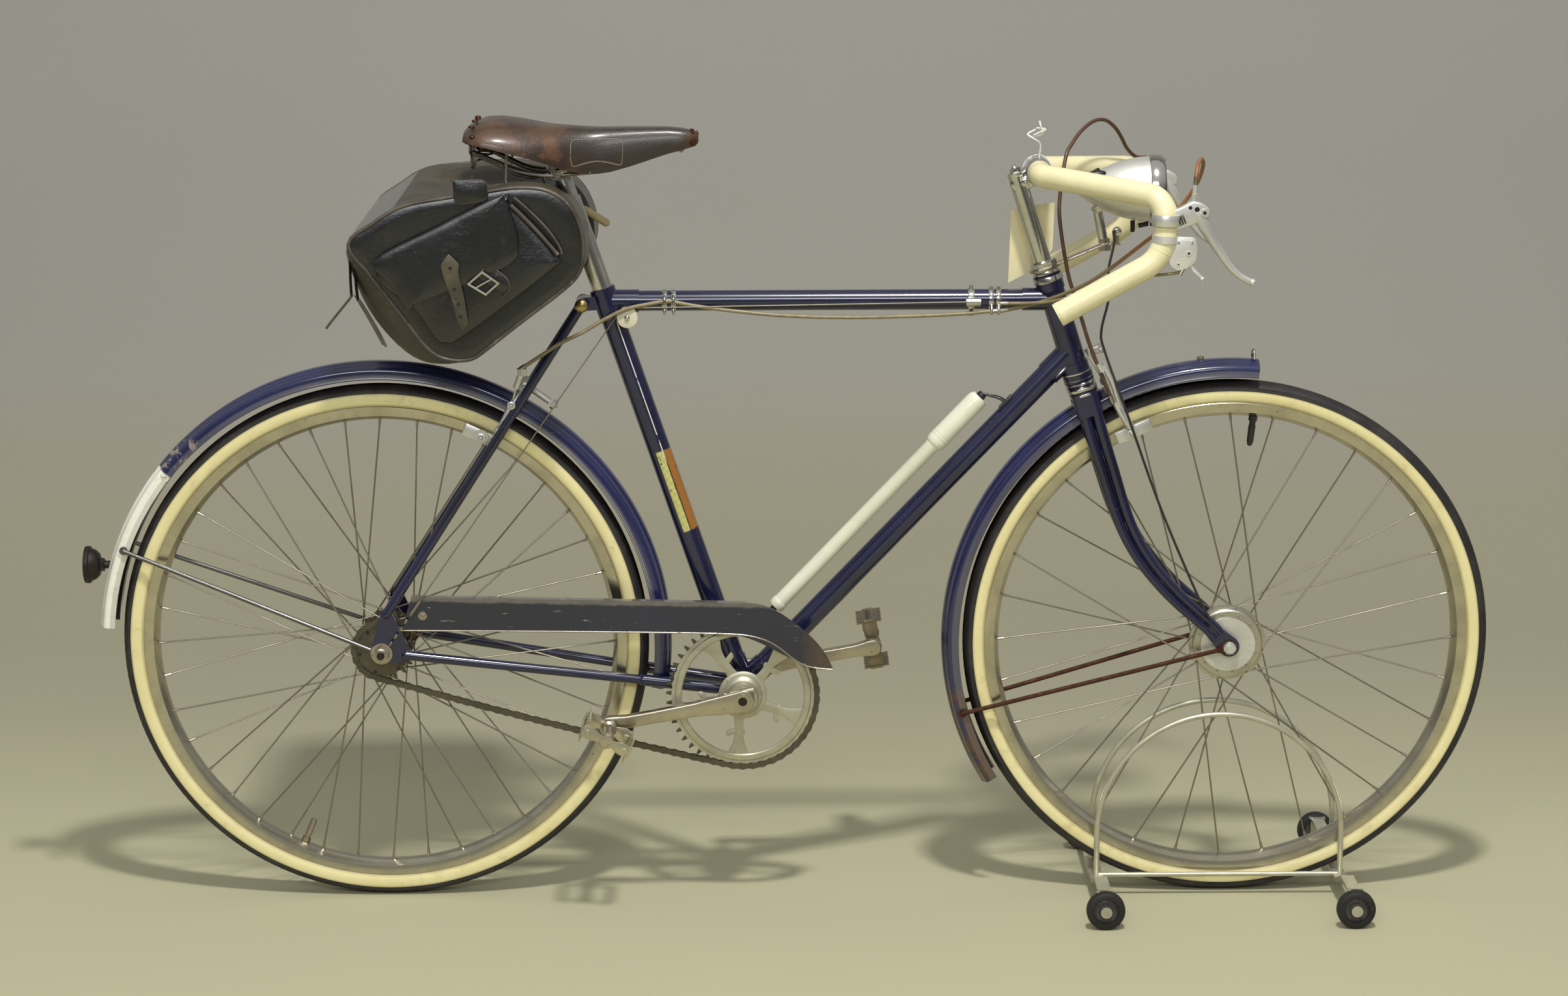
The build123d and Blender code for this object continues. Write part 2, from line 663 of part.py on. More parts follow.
def crank_arm(side, eye):
    """Adds a crank arm with its boss on the spindle and its eye at the pedal."""
    low = side * crank_inner
    high = side * (crank_inner + crank_thickness)
    disc(bracket, boss_radius, min(low, high), max(low, high))
    with BuildSketch(Plane.XZ.offset(-max(low, high))) as arm:
        for centre, radius in ((bracket, arm_half_top + 1), (eye, eye_radius - 2)):
            with Locations((centre.X, centre.Z)):
                Circle(radius)
        make_hull()
    extrude(arm.sketch, amount=crank_thickness)
    disc(eye, eye_radius, min(low, high), max(low, high))
    disc(eye, 5.5, min(high, high + side * (pedal_gap + pedal_width)), max(high, high + side * (pedal_gap + pedal_width)))


with BuildPart() as chainwheel:
    toothed(bracket, ring_teeth, ring_pitch_radius, 2.0)
    with BuildSketch(Plane.XZ.offset(chain_line - tooth_thickness)) as windows:
        with Locations((bracket.X, bracket.Z)):
            Circle(ring_pitch_radius - ring_rim)
            Circle(ring_hub, mode=Mode.SUBTRACT)
            with PolarLocations(0, ring_arms):
                with Locations((ring_hub + 25, 0)):
                    Rectangle(60, 13, rotation=24, mode=Mode.SUBTRACT)
    extrude(windows.sketch, amount=2 * tooth_thickness, mode=Mode.SUBTRACT)
    disc(bracket, boss_radius + 3, -crank_inner, -chain_line)
    disc(bracket, spindle_radius, -crank_inner, crank_inner)
chainwheel.part.label = "chainwheel"
export_step(chainwheel.part, "parts/chainwheel.step")

with BuildPart() as crank_right:
    crank_arm(-1, right_pedal_centre)
crank_right.part.label = "crank_right"
export_step(crank_right.part, "parts/crank_right.step")

with BuildPart() as crank_left:
    crank_arm(1, left_pedal_centre)
crank_left.part.label = "crank_left"
export_step(crank_left.part, "parts/crank_left.step")

driver_radius = 19.0
with BuildPart() as sprocket:
    toothed(rear_axle, sprocket_teeth, sprocket_pitch_radius, 4.0)
    disc(rear_axle, driver_radius, -chain_line - 4, -rear_flange_right - 1.5 - pin_gap)
    bore(beside(rear_axle, -shell_width), beside(rear_axle, shell_width), axle_radius + sprocket_bore_gap)
sprocket.part.label = "sprocket"
export_step(sprocket.part, "parts/sprocket.step")

plate_gap = 1.1
plate_thickness = 1.0
pin_spacing = 2 * chain_pitch
with BuildPart() as chain:
    for inner in (chain_line - tooth_thickness / 2 - plate_gap - plate_thickness,
                  chain_line + tooth_thickness / 2 + plate_gap):
        with BuildSketch(Plane.XZ.offset(inner)) as band:
            for rise, mode in ((plate_rise, Mode.ADD), (-plate_rise, Mode.SUBTRACT)):
                with BuildSketch(mode=Mode.PRIVATE) as belt:
                    with Locations((bracket.X, bracket.Z)):
                        Circle(ring_pitch_radius + rise)
                    with Locations((rear_axle.X, rear_axle.Z)):
                        Circle(sprocket_pitch_radius + rise)
                    make_hull()
                add(belt.sketch, mode=mode)
        extrude(band.sketch, amount=plate_thickness)
    run = bracket - rear_axle
    lean = (ring_pitch_radius - sprocket_pitch_radius) / run.length
    for side in (-1, 1):
        normal = Vector(-run.Z, 0, run.X).normalized() * side
        normal = normal * sqrt(1 - lean * lean) - run.normalized() * lean
        start = rear_axle + normal * sprocket_pitch_radius
        end = bracket + normal * ring_pitch_radius
        along = (end - start).normalized()
        count = int((end - start).length // pin_spacing)
        for k in range(2, count - 1):
            pin = start + along * k * pin_spacing
            half = tooth_thickness / 2 + plate_gap + plate_thickness
            disc(pin, roller_radius - 0.6, -chain_line - half, -chain_line + half)
chain.part.label = "chain"
export_step(chain.part, "parts/chain.step")

# ---- Mudguards ----------------------------------------------------------------------------
crease = 7.0


def mudguard(axle, radius, start, end):
    """Adds a ribbed channel bent about the wheel, between two angles seen from the chain side."""
    turn = radians(start)
    along = Vector(cos(turn), 0, sin(turn))
    with BuildSketch(Plane(origin=axle, x_dir=along, z_dir=along.cross(across))) as section:
        for shrink, mode in ((0, Mode.ADD), (guard_wall, Mode.SUBTRACT)):
            with BuildLine():
                half = guard_half_width - shrink
                top = radius - shrink
                low = radius - guard_depth - (2 * shrink)
                Line((low, -half), (low, half))
                Line((low, half), (top - crease - 3, half))
                ThreePointArc((top - crease - 3, half), (top - 3.4, half * 0.72), (top, 0))
                ThreePointArc((top, 0), (top - 3.4, -half * 0.72), (top - crease - 3, -half))
                Line((top - crease - 3, -half), (low, -half))
            make_face(mode=mode)
    revolve(section.sketch, axis=Axis(axle, -across), revolution_arc=end - start)


with BuildPart() as rear_mudguard:
    mudguard(rear_axle, rear_guard_radius, rear_guard_start, rear_guard_end)
    bore(rear_axle, stay_bridge, guard_bolt_radius)
    bore(rear_axle, chain_stay_bridge, guard_bolt_radius)
    add(chain_stays.part, mode=Mode.SUBTRACT)
rear_mudguard.part.label = "rear_mudguard"
export_step(rear_mudguard.part, "parts/rear_mudguard.step")

with BuildPart() as front_mudguard:
    mudguard(front_axle, front_guard_radius, front_guard_start, front_guard_end)
    bore(front_axle, on_steer(crown_bottom), guard_bolt_radius)
front_mudguard.part.label = "front_mudguard"
export_step(front_mudguard.part, "parts/front_mudguard.step")

# ---- Mudguard stays and reflector ---------------------------------------------------------
guard_stay_radius = 2.8
stay_eye_radius = 9.0
rear_stay_angle = 158.9
front_stay_angle = 195.4


def guard_stays(axle, guard_radius, guard_end, hub_half, foot_angle):
    """Adds the two stays of a mudguard, with their eyes under the axle nuts."""
    turn = radians(guard_end)
    for side in (-1, 1):
        head = axle + Vector((guard_radius - 14) * cos(turn), side * (guard_half_width + guard_stay_radius),
                             (guard_radius - 14) * sin(turn))
        eye = beside(axle, side * (hub_half + stay_tab / 2))
        foot = eye + Vector(stay_eye_radius * cos(radians(foot_angle)) * 1.6, side * (guard_stay_radius - 1),
                            stay_eye_radius * sin(radians(foot_angle)) * 1.6)
        rod(head, foot, guard_stay_radius)
        disc(beside(head, 0), 5, min(side * guard_half_width, head.Y), max(side * guard_half_width, head.Y))
        with BuildSketch(Plane.XZ.offset(-eye.Y - stay_tab / 2)) as tab:
            with Locations((eye.X, eye.Z)):
                Circle(stay_eye_radius)
            with Locations((foot.X, foot.Z)):
                Circle(guard_stay_radius + 1)
            make_hull()
        extrude(tab.sketch, amount=stay_tab)
    bore(beside(axle, -shell_width), beside(axle, shell_width), axle_radius)


with BuildPart() as rear_guard_stays:
    guard_stays(rear_axle, rear_guard_radius, rear_stay_angle, dropout_inner + dropout_thickness, 159)
rear_guard_stays.part.label = "rear_guard_stays"
export_step(rear_guard_stays.part, "parts/rear_guard_stays.step")

with BuildPart() as front_guard_stays:
    guard_stays(front_axle, front_guard_radius, front_stay_angle,
                front_hub_width / 2 + fork_dropout_thickness, 195)
front_guard_stays.part.label = "front_guard_stays"
export_step(front_guard_stays.part, "parts/front_guard_stays.step")

reflector_back = rear_axle.X - rear_reach
reflector_height = at_rear(reflector_angle, rear_guard_radius).Z
with BuildPart() as reflector:
    cup_foot = Vector(reflector_back, 0, reflector_height)
    with BuildSketch(Plane(origin=cup_foot, z_dir=(1, 0, 0))) as cup:
        Circle(reflector_radius)
    extrude(cup.sketch, amount=reflector_cup, taper=reflector_taper)
    rod(cup_foot + Vector(reflector_cup - 1, 0, 0), cup_foot + Vector(reflector_depth + 6, 0, 0), 6)
    guard_middle = rear_guard_radius - guard_wall / 2
    turned(rear_axle, [(0, -12), (guard_middle, -12), (guard_middle, 12), (0, 12)], mode=Mode.SUBTRACT)
    add(rear_mudguard.part, mode=Mode.SUBTRACT)
reflector.part.label = "reflector"
export_step(reflector.part, "parts/reflector.step")

# ---- Chain guard --------------------------------------------------------------------------
chain_guard_side = 58.5
chain_guard_wall = 1.4
chain_guard_lip = 9.0
with BuildPart() as chain_guard:
    with BuildSketch(Plane.XZ.offset(chain_guard_side)) as face:
        with BuildLine():
            left_top = rear_axle + Vector(39, 0, 72)
            left_low = rear_axle + Vector(24, 0, 28)
            bend_top = bracket + Vector(6, 0, 122)
            tip = bracket + Vector(113, 0, 36)
            Polyline((left_low.X, left_low.Z), (left_top.X, left_top.Z), (bend_top.X, bend_top.Z))
            Spline((bend_top.X, bend_top.Z), (bracket.X + 60, bracket.Z + 100), (tip.X, tip.Z),
                   tangents=((1, -0.02), (0.35, -1)))
            Spline((tip.X, tip.Z), (bracket.X + 62, bracket.Z + 50), (bracket.X - 36, bracket.Z + 84),
                   tangents=((-1, 0.1), (-1, 0.0)))
            Line((bracket.X - 36, bracket.Z + 84), (left_low.X, left_low.Z))
        make_face()
    extrude(face.sketch, amount=chain_guard_wall)
    with BuildSketch(Plane.XZ.offset(chain_guard_side - chain_guard_lip)) as lip:
        with BuildLine():
            Polyline((left_top.X, left_top.Z), (bend_top.X, bend_top.Z), (bend_top.X, bend_top.Z - chain_guard_wall),
                     (left_top.X, left_top.Z - chain_guard_wall), close=True)
        make_face()
    extrude(lip.sketch, amount=chain_guard_lip)
    bracket_foot = bracket + seat_up * 118
    rod(beside(bracket_foot, -tube_radius + 0.6), beside(bracket_foot, -chain_guard_side), 4)
    rear_clip = rear_axle + Vector(52, 0, 62)
    rod(beside(rear_clip, -chain_guard_side), beside(rear_clip, -dropout_middle + 2), 3)
    add(seat_tube.part, mode=Mode.SUBTRACT)
    add(seat_stays.part, mode=Mode.SUBTRACT)
chain_guard.part.label = "chain_guard"
export_step(chain_guard.part, "parts/chain_guard.step")

# ---- Pedals -------------------------------------------------------------------------------
pedal_plate_reach = 33.0
pedal_plate_height = 33.0
pedal_plate_thickness = 2.0
pedal_names = {-1: ("pedal_right", right_pedal_centre, -27.7), 1: ("pedal_left", left_pedal_centre, -80.0)}
for side, (name, centre, hang) in pedal_names.items():
    along = Vector(cos(radians(hang)), 0, sin(radians(hang)))
    upward = Vector(-along.Z, 0, along.X)
    near = crank_inner + crank_thickness + pedal_gap
    far = near + pedal_width
    low = min(side * near, side * far)
    high = max(side * near, side * far)
    with BuildPart() as pedal:
        disc(centre, 9, low, high)
        for fore in (-1, 1):
            plate_centre = beside(centre + along * fore * pedal_plate_reach, (low + high) / 2)
            with Locations(Plane(origin=plate_centre, x_dir=along, z_dir=upward)):
                Box(pedal_plate_thickness, pedal_width, pedal_plate_height)
        for edge in (low + 2, high - 2):
            with Locations(Plane(origin=beside(centre, edge), x_dir=along, z_dir=upward)):
                Box(2 * pedal_plate_reach, 3, 12)
        bore(beside(centre, -200), beside(centre, 200), 5.5 + pin_gap)
    pedal.part.label = name
    export_step(pedal.part, f"parts/{name}.step")

# ---- Seat post and saddle -----------------------------------------------------------------
post_rise = 158.0
rail_radius = 3.5
rail_side = 22.0
saddle_length = 285.0
saddle_nose_ahead = 172.0
saddle_nose_above = 46.0
leather_wall = 4.0
# Each row is the distance behind the nose, the half width, and the top and the skirt's edge above the nose.
saddle_rows = [
    (0, 9, -10, -18), (11, 16, -2, -20), (38, 20, 3, -28), (123, 30, 3, -51), (151, 42, 5, -48),
    (182, 62, 8, -36), (218, 74, 17, -24), (263, 78, 17, -12), (285, 60, 2, -8),
]
post_top = seat_top + seat_up * post_rise
saddle_nose = Vector(post_top.X + saddle_nose_ahead, 0, post_top.Z + saddle_nose_above)
saddle_tail = saddle_nose + Vector(-saddle_length, 0, 0)
with BuildPart() as seat_post:
    rod(seat_top - seat_up * post_depth, seat_top + seat_up * (post_rise - 40), seat_post_radius)
    rod(seat_top + seat_up * (post_rise - 40), post_top, seat_post_radius - 2)
seat_post.part.label = "seat_post"
export_step(seat_post.part, "parts/seat_post.step")

with BuildPart() as saddle_frame:
    disc(beside(post_top, 0), 12, -rail_side - 8, rail_side + 8)
    rod(post_top - seat_up * 24, post_top, seat_post_radius + 2)
    for side in (-1, 1):
        loop_foot = post_top + Vector(-30, side * (rail_side + 4), -13)
        loop_top = saddle_tail + Vector(36, side * 42, -13)
        bent([saddle_nose + Vector(-18, side * 6, -13), post_top + Vector(80, side * rail_side, 0),
              post_top + Vector(0, side * rail_side, 0), loop_foot, loop_top],
             [60, 60, 12], rail_radius)
        rod(loop_top - Vector(0, 0, 8), loop_top + Vector(0, 0, 9), 7)
    rod(saddle_tail + Vector(36, -50, -6), saddle_tail + Vector(36, 50, -6), 5)
    rod(saddle_nose + Vector(-28, 0, -13), saddle_nose + Vector(-12, 0, -13), 7)
    add(seat_post.part, mode=Mode.SUBTRACT)
saddle_frame.part.label = "saddle_frame"
export_step(saddle_frame.part, "parts/saddle_frame.step")


def saddle_form(wall, opening):
    """Adds the arched saddle as one solid, a wall smaller and open below by the given amount."""
    sections = []
    for behind, half, top, edge in saddle_rows:
        share = behind / saddle_length
        x = saddle_nose.X - behind + wall * (2 * share - 1)
        half = half - wall
        top = saddle_nose.Z + top - wall
        edge = saddle_nose.Z + edge - opening
        middle = (top + edge) / 2
        with BuildSketch(Plane(origin=(x, 0, 0), x_dir=(0, 1, 0), z_dir=(1, 0, 0))) as section:
            with BuildLine():
                Line((-half, edge), (half, edge))
                Spline((half, edge), (half * 0.97, middle), (half * 0.7, top - (top - edge) * 0.12), (0, top),
                       (-half * 0.7, top - (top - edge) * 0.12), (-half * 0.97, middle), (-half, edge))
            make_face()
        sections.append(section.sketch)
    loft(sections)


with BuildPart() as saddle_hollow:
    saddle_form(leather_wall, 12)
with BuildPart() as saddle_leather:
    saddle_form(0, 0)
    add(saddle_hollow.part, mode=Mode.SUBTRACT)
    add(saddle_frame.part, mode=Mode.SUBTRACT)
saddle_leather.part.label = "saddle_leather"
export_step(saddle_leather.part, "parts/saddle_leather.step")

# ---- Saddle bag ---------------------------------------------------------------------------
bag_half_width = 166.0
bag_post_room = 17.0
bag_frame_half = 62.0
bag_frame_low = -20.0
bag_outline = [
    (-240, -66), (-191, -22), (-114, -14), (-55, -6), (-17, -6), (15, -24), (33, -48), (37, -71), (30, -98),
    (-4, -131), (-58, -172), (-97, -211), (-118, -214), (-142, -208), (-174, -168), (-230, -94),
]
with BuildPart() as saddle_bag:
    with BuildSketch(Plane.XZ.offset(-bag_half_width)) as side_panel:
        with BuildLine():
            Polyline(*[(post_top.X + x, post_top.Z + z) for x, z in bag_outline], close=True)
        make_face()
    extrude(side_panel.sketch, amount=2 * bag_half_width)
    with BuildSketch(Plane(origin=seat_top - seat_up * 90, x_dir=(0, 1, 0), z_dir=seat_up)) as slot:
        Circle(bag_post_room)
        with Locations((0, -60)):
            Rectangle(2 * bag_post_room, 120)
    extrude(slot.sketch, amount=post_rise + 120, mode=Mode.SUBTRACT)
    with Locations(post_top + Vector(-20, 0, bag_frame_low + 40)):
        Box(260, 2 * bag_frame_half, 80, mode=Mode.SUBTRACT)
saddle_bag.part.label = "saddle_bag"
export_step(saddle_bag.part, "parts/saddle_bag.step")

# ---- Pump ---------------------------------------------------------------------------------
pump_off = 41.0
pump_radius = 10.0
pump_handle_radius = 13.0
pump_start_along = 88.0
pump_barrel_length = 303.0
pump_handle_length = 82.0
peg_radius = 1.5
down_normal = Vector(-down_along.Z, 0, down_along.X)
pump_start = bracket + down_along * pump_start_along + down_normal * pump_off
pump_length = pump_barrel_length + pump_handle_length
with BuildPart() as pump:
    rod(pump_start, pump_start + down_along * pump_barrel_length, pump_radius)
    rod(pump_start + down_along * pump_barrel_length, pump_start + down_along * pump_length,
        pump_handle_radius)
pump.part.label = "pump"
export_step(pump.part, "parts/pump.step")

with BuildPart() as pump_pegs:
    for place in (pump_start_along - peg_radius, pump_start_along + pump_length + peg_radius):
        base = bracket + down_along * place
        rod(base + down_normal * (tube_radius - 1), base + down_normal * (pump_off + 3), peg_radius)
        rod(base - down_along * 6, base + down_along * 6, tube_radius + 1.2)
    add(down_tube.part, mode=Mode.SUBTRACT)
    add(head_tube.part, mode=Mode.SUBTRACT)
    add(bracket_shell.part, mode=Mode.SUBTRACT)
pump_pegs.part.label = "pump_pegs"
export_step(pump_pegs.part, "parts/pump_pegs.step")

# ---- Brakes -------------------------------------------------------------------------------
brake_arm_radius = 4.0
pad_inner = rim_width / 2 + 5.0
pad_length = 44.0
pad_height = 12.0
pad_thickness = 9.0
brake_shoulder_side = guard_half_width + 11
brake_knee_side = guard_half_width + 9
brake_drop = 9.0


def brake(axle, centre, bolt_start, outward):
    """Adds a caliper whose arms reach from the centre bolt round the mudguard to the rim."""
    inward = (axle - centre).normalized()
    along_rim = across.cross(inward)
    reach = (centre - axle).length - rim_radius + brake_drop
    for side in (-1, 1):
        shoulder = centre + across * side * brake_shoulder_side + inward * 2
        knee = centre + across * side * brake_knee_side + inward * (reach * 0.6)
        pad = centre + across * side * (pad_inner + pad_thickness - 1) + inward * reach
        bent([centre, shoulder, knee, pad], [10, 30], brake_arm_radius)
        pad_back = pad + across * side * (1 - pad_thickness) - along_rim * (pad_length / 2)
        with BuildSketch(Plane(origin=pad_back, x_dir=across, z_dir=along_rim)) as shoe:
            with Locations((side * pad_thickness / 2, 0)):
                Rectangle(pad_thickness, pad_height)
        extrude(shoe.sketch, amount=pad_length)
        rod(shoulder, shoulder + across * side * 3 - inward * 26, brake_arm_radius - 1)
    rod(bolt_start, centre + outward * 8, brake_arm_radius)


front_brake_centre = on_steer(crown_bottom + 6, 27)
with BuildPart() as front_brake:
    brake(front_axle, front_brake_centre, on_steer(crown_bottom + 6, 17), steer_forward)
    add(fork.part, mode=Mode.SUBTRACT)
front_brake.part.label = "front_brake"
export_step(front_brake.part, "parts/front_brake.step")

stay_along = (seat_pin - seat_stay_end).normalized()
stay_back = Vector(-stay_along.Z, 0, stay_along.X)
rear_brake_centre = stay_bridge + stay_back * 20
with BuildPart() as rear_brake:
    brake(rear_axle, rear_brake_centre, stay_bridge, stay_back)
    add(seat_stays.part, mode=Mode.SUBTRACT)
rear_brake.part.label = "rear_brake"
export_step(rear_brake.part, "parts/rear_brake.step")

# ---- Cables -------------------------------------------------------------------------------
cable_radius = 2.4
gear_cable_radius = 1.8
clip_half = 4.0
clip_side = -(top_tube_radius + cable_radius)
front_clip = seat_joint + Vector(472, clip_side, -2)
rear_clip = seat_joint + Vector(77, clip_side, 2)
gear_clip = seat_joint + Vector(484, clip_side - 7, -7)
lever_loop = hook_top + Vector(34, 0, 40.5)


def cable_anchor(axle, centre):
    """The end of a caliper arm's cable stub on the chain side."""
    inward = (axle - centre).normalized()
    return centre + across * (-brake_shoulder_side - 3) - inward * 25, inward


def cable(points, radius):
    """Adds a cable along one smooth curve through its points."""
    with BuildLine() as route:
        Spline(*points)
    with BuildSketch(Plane(origin=route.line @ 0, z_dir=route.line % 0)) as section:
        Circle(radius)
    sweep(section.sketch, path=route.line)


with BuildPart() as front_brake_cable:
    anchor, inward = cable_anchor(front_axle, front_brake_centre)
    start = beside(lever_loop, bar_side - 1)
    cable([start, start + Vector(-3, -2, 13), start + Vector(-17, -13, 28), clamp_centre + Vector(134, 124, 35),
           clamp_centre + Vector(119, 105, 43), clamp_centre + Vector(103, 90, 52), clamp_centre + Vector(90, 77, 56),
           clamp_centre + Vector(73, 58, 55), clamp_centre + Vector(56, 40, 45), clamp_centre + Vector(43, 22, 31),
           clamp_centre + Vector(34, 8, 15), clamp_centre + Vector(26, -12, -31), clamp_centre + Vector(26, -19, -62),
           clamp_centre + Vector(35, -26, -119), clamp_centre + Vector(44, -29, -150),
           clamp_centre + Vector(55, -32, -185), anchor - inward * 29 + Vector(4, 3, 0), anchor], cable_radius)
front_brake_cable.part.label = "front_brake_cable"
export_step(front_brake_cable.part, "parts/front_brake_cable.step")

with BuildPart() as rear_brake_cable_front:
    start = beside(lever_loop, 1 - bar_side)
    clip_end = front_clip + Vector(clip_half + 1.5, 0, 0)
    cable([start, start + Vector(1, 1, 11), start + Vector(4, 10, 23), start + Vector(9, 21, 28),
           start + Vector(13, 33, 21), start + Vector(11, 42, 6), start + Vector(4, 48, -11), start + Vector(-11, 52, -33),
           start + Vector(-35, 60, -62), start + Vector(-60, 70, -85), start + Vector(-93, 87, -114),
           clip_end + Vector(107, -40, 27), clip_end + Vector(74, -20, 12), clip_end + Vector(39, -7, 2.5),
           clip_end + Vector(18, -1.5, 0.5), clip_end], cable_radius)
rear_brake_cable_front.part.label = "rear_brake_cable_front"
export_step(rear_brake_cable_front.part, "parts/rear_brake_cable_front.step")

with BuildPart() as rear_brake_cable:
    anchor, inward = cable_anchor(rear_axle, rear_brake_centre)
    cable([front_clip, seat_joint + Vector(385, clip_side - 0.5, -9), seat_joint + Vector(280, clip_side - 1, -16),
           seat_joint + Vector(170, clip_side - 0.5, -9), rear_clip, seat_joint + Vector(51, clip_side - 4, -1.5),
           seat_joint + Vector(24, clip_side - 8, -7), seat_joint + Vector(-2, clip_side - 12, -19),
           seat_joint + Vector(-29, clip_side - 18, -34), seat_joint + Vector(-57, clip_side - 22, -47),
           anchor - inward * 28 + Vector(9, 0, 2), anchor - inward * 12, anchor], cable_radius)
    for clip in (front_clip, rear_clip):
        rod(clip - Vector(clip_half, 0, 0), clip + Vector(clip_half, 0, 0), cable_radius + 1.5)
        rod(Vector(clip.X - clip_half, 0, seat_joint.Z), Vector(clip.X + clip_half, 0, seat_joint.Z),
            top_tube_radius + 1)
    add(top_tube.part, mode=Mode.SUBTRACT)
rear_brake_cable.part.label = "rear_brake_cable"
export_step(rear_brake_cable.part, "parts/rear_brake_cable.step")

with BuildPart() as gear_cable_front:
    start = trigger_centre + Vector(-2, 0, -21.5)
    cable([start, start + Vector(-4, 0, -5), start + Vector(-21, 7, -9), start + Vector(-45, 27, -14),
           start + Vector(-76, 57, -25), start + Vector(-110, 95, -44), gear_clip + Vector(67, -20, 14),
           gear_clip + Vector(33, -5, 3), gear_clip], gear_cable_radius)
gear_cable_front.part.label = "gear_cable_front"
export_step(gear_cable_front.part, "parts/gear_cable_front.step")

# ---- Parking stand ------------------------------------------------------------------------
stand_shift = -5.0
stand_half_length = 155.0
stand_half_track = 151.0
castor_radius = 24.0
castor_width = 16.0
castor_pin_radius = 4.0
hoop_side = 34.0
hoop_rod_radius = 3.5
hoop_rise = 60.0
stand_rod_radius = 3.0
bar_plate = 5.0
bar_plate_width = 16.0
bar_plate_low = 22.0
bar_plate_lift = 17.0
bar_ramp_inner = 50.0
bar_ramp_outer = 90.0
castor_cap = 4.0
stand_middle = Vector(front_axle.X + stand_shift, 0, 0)
with BuildPart() as stand:
    for side in (-1, 1):
        foot = stand_middle + Vector(-stand_half_length, side * hoop_side, bar_plate_low + 2)
        spring_line = foot + Vector(0, 0, hoop_rise)
        far_line = spring_line + Vector(2 * stand_half_length, 0, 0)
        with BuildLine() as hoop_line:
            Line(foot, spring_line)
            ThreePointArc(spring_line, spring_line + Vector(stand_half_length, 0, stand_half_length), far_line)
            Line(far_line, far_line - Vector(0, 0, hoop_rise))
        with BuildSketch(Plane(origin=foot, z_dir=(0, 0, 1))) as hoop_section:
            Circle(hoop_rod_radius)
        sweep(hoop_section.sketch, path=hoop_line.line)
        rod(foot + Vector(0, 0, 4), foot + Vector(2 * stand_half_length, 0, 4), stand_rod_radius)
    for fore in (-1, 1):
        plate_start = stand_middle.X + fore * stand_half_length - bar_plate_width / 2
        high = bar_plate_low + bar_plate_lift
        with BuildSketch(Plane(origin=(plate_start, 0, 0), x_dir=(0, 1, 0), z_dir=(1, 0, 0))) as bar:
            with BuildLine():
                Polyline((-stand_half_track, 14), (3 - stand_half_track, 14), (3 - stand_half_track, high),
                         (-bar_ramp_outer, high), (-bar_ramp_inner, bar_plate_low),
                         (bar_ramp_inner, bar_plate_low), (bar_ramp_outer, high),
                         (stand_half_track - 3, high), (stand_half_track - 3, 14), (stand_half_track, 14),
                         (stand_half_track, high + bar_plate), (bar_ramp_outer - 1, high + bar_plate),
                         (bar_ramp_inner - 1, bar_plate_low + bar_plate),
                         (1 - bar_ramp_inner, bar_plate_low + bar_plate),
                         (1 - bar_ramp_outer, high + bar_plate), (-stand_half_track, high + bar_plate), close=True)
            make_face()
        extrude(bar.sketch, amount=bar_plate_width)
        for side in (-1, 1):
            hub = Vector(stand_middle.X + fore * stand_half_length, 0, castor_radius)
            pin_end = side * (stand_half_track + castor_width + 2)
            cap_end = pin_end + side * (castor_cap - 2)
            disc(hub, castor_pin_radius, min(side * (stand_half_track - 2), pin_end),
                 max(side * (stand_half_track - 2), pin_end))
            disc(hub, castor_pin_radius + 3, min(pin_end, cap_end), max(pin_end, cap_end))
stand.part.label = "stand"
export_step(stand.part, "parts/stand.step")

castor_names = {(-1, -1): "castor_back_right", (-1, 1): "castor_back_left",
                (1, -1): "castor_front_right", (1, 1): "castor_front_left"}
for (fore, side), name in castor_names.items():
    hub = Vector(stand_middle.X + fore * stand_half_length, 0, castor_radius)
    near = side * (stand_half_track + 1)
    far = side * (stand_half_track + 1 + castor_width)
    with BuildPart() as castor:
        disc(hub, castor_radius, min(near, far), max(near, far), castor_pin_radius + 0.3)
    castor.part.label = name
    export_step(castor.part, f"parts/{name}.step")
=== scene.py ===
"""A lightweight roadster bicycle whose front wheel stands in a small wheeled display stand.

Metres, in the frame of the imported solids: +X forward, +Y the rider's left, +Z up, floor at 0.
"""
import json
import math

import bmesh
import bpy
from mathutils import Matrix, Vector
from mathutils.geometry import convex_hull_2d

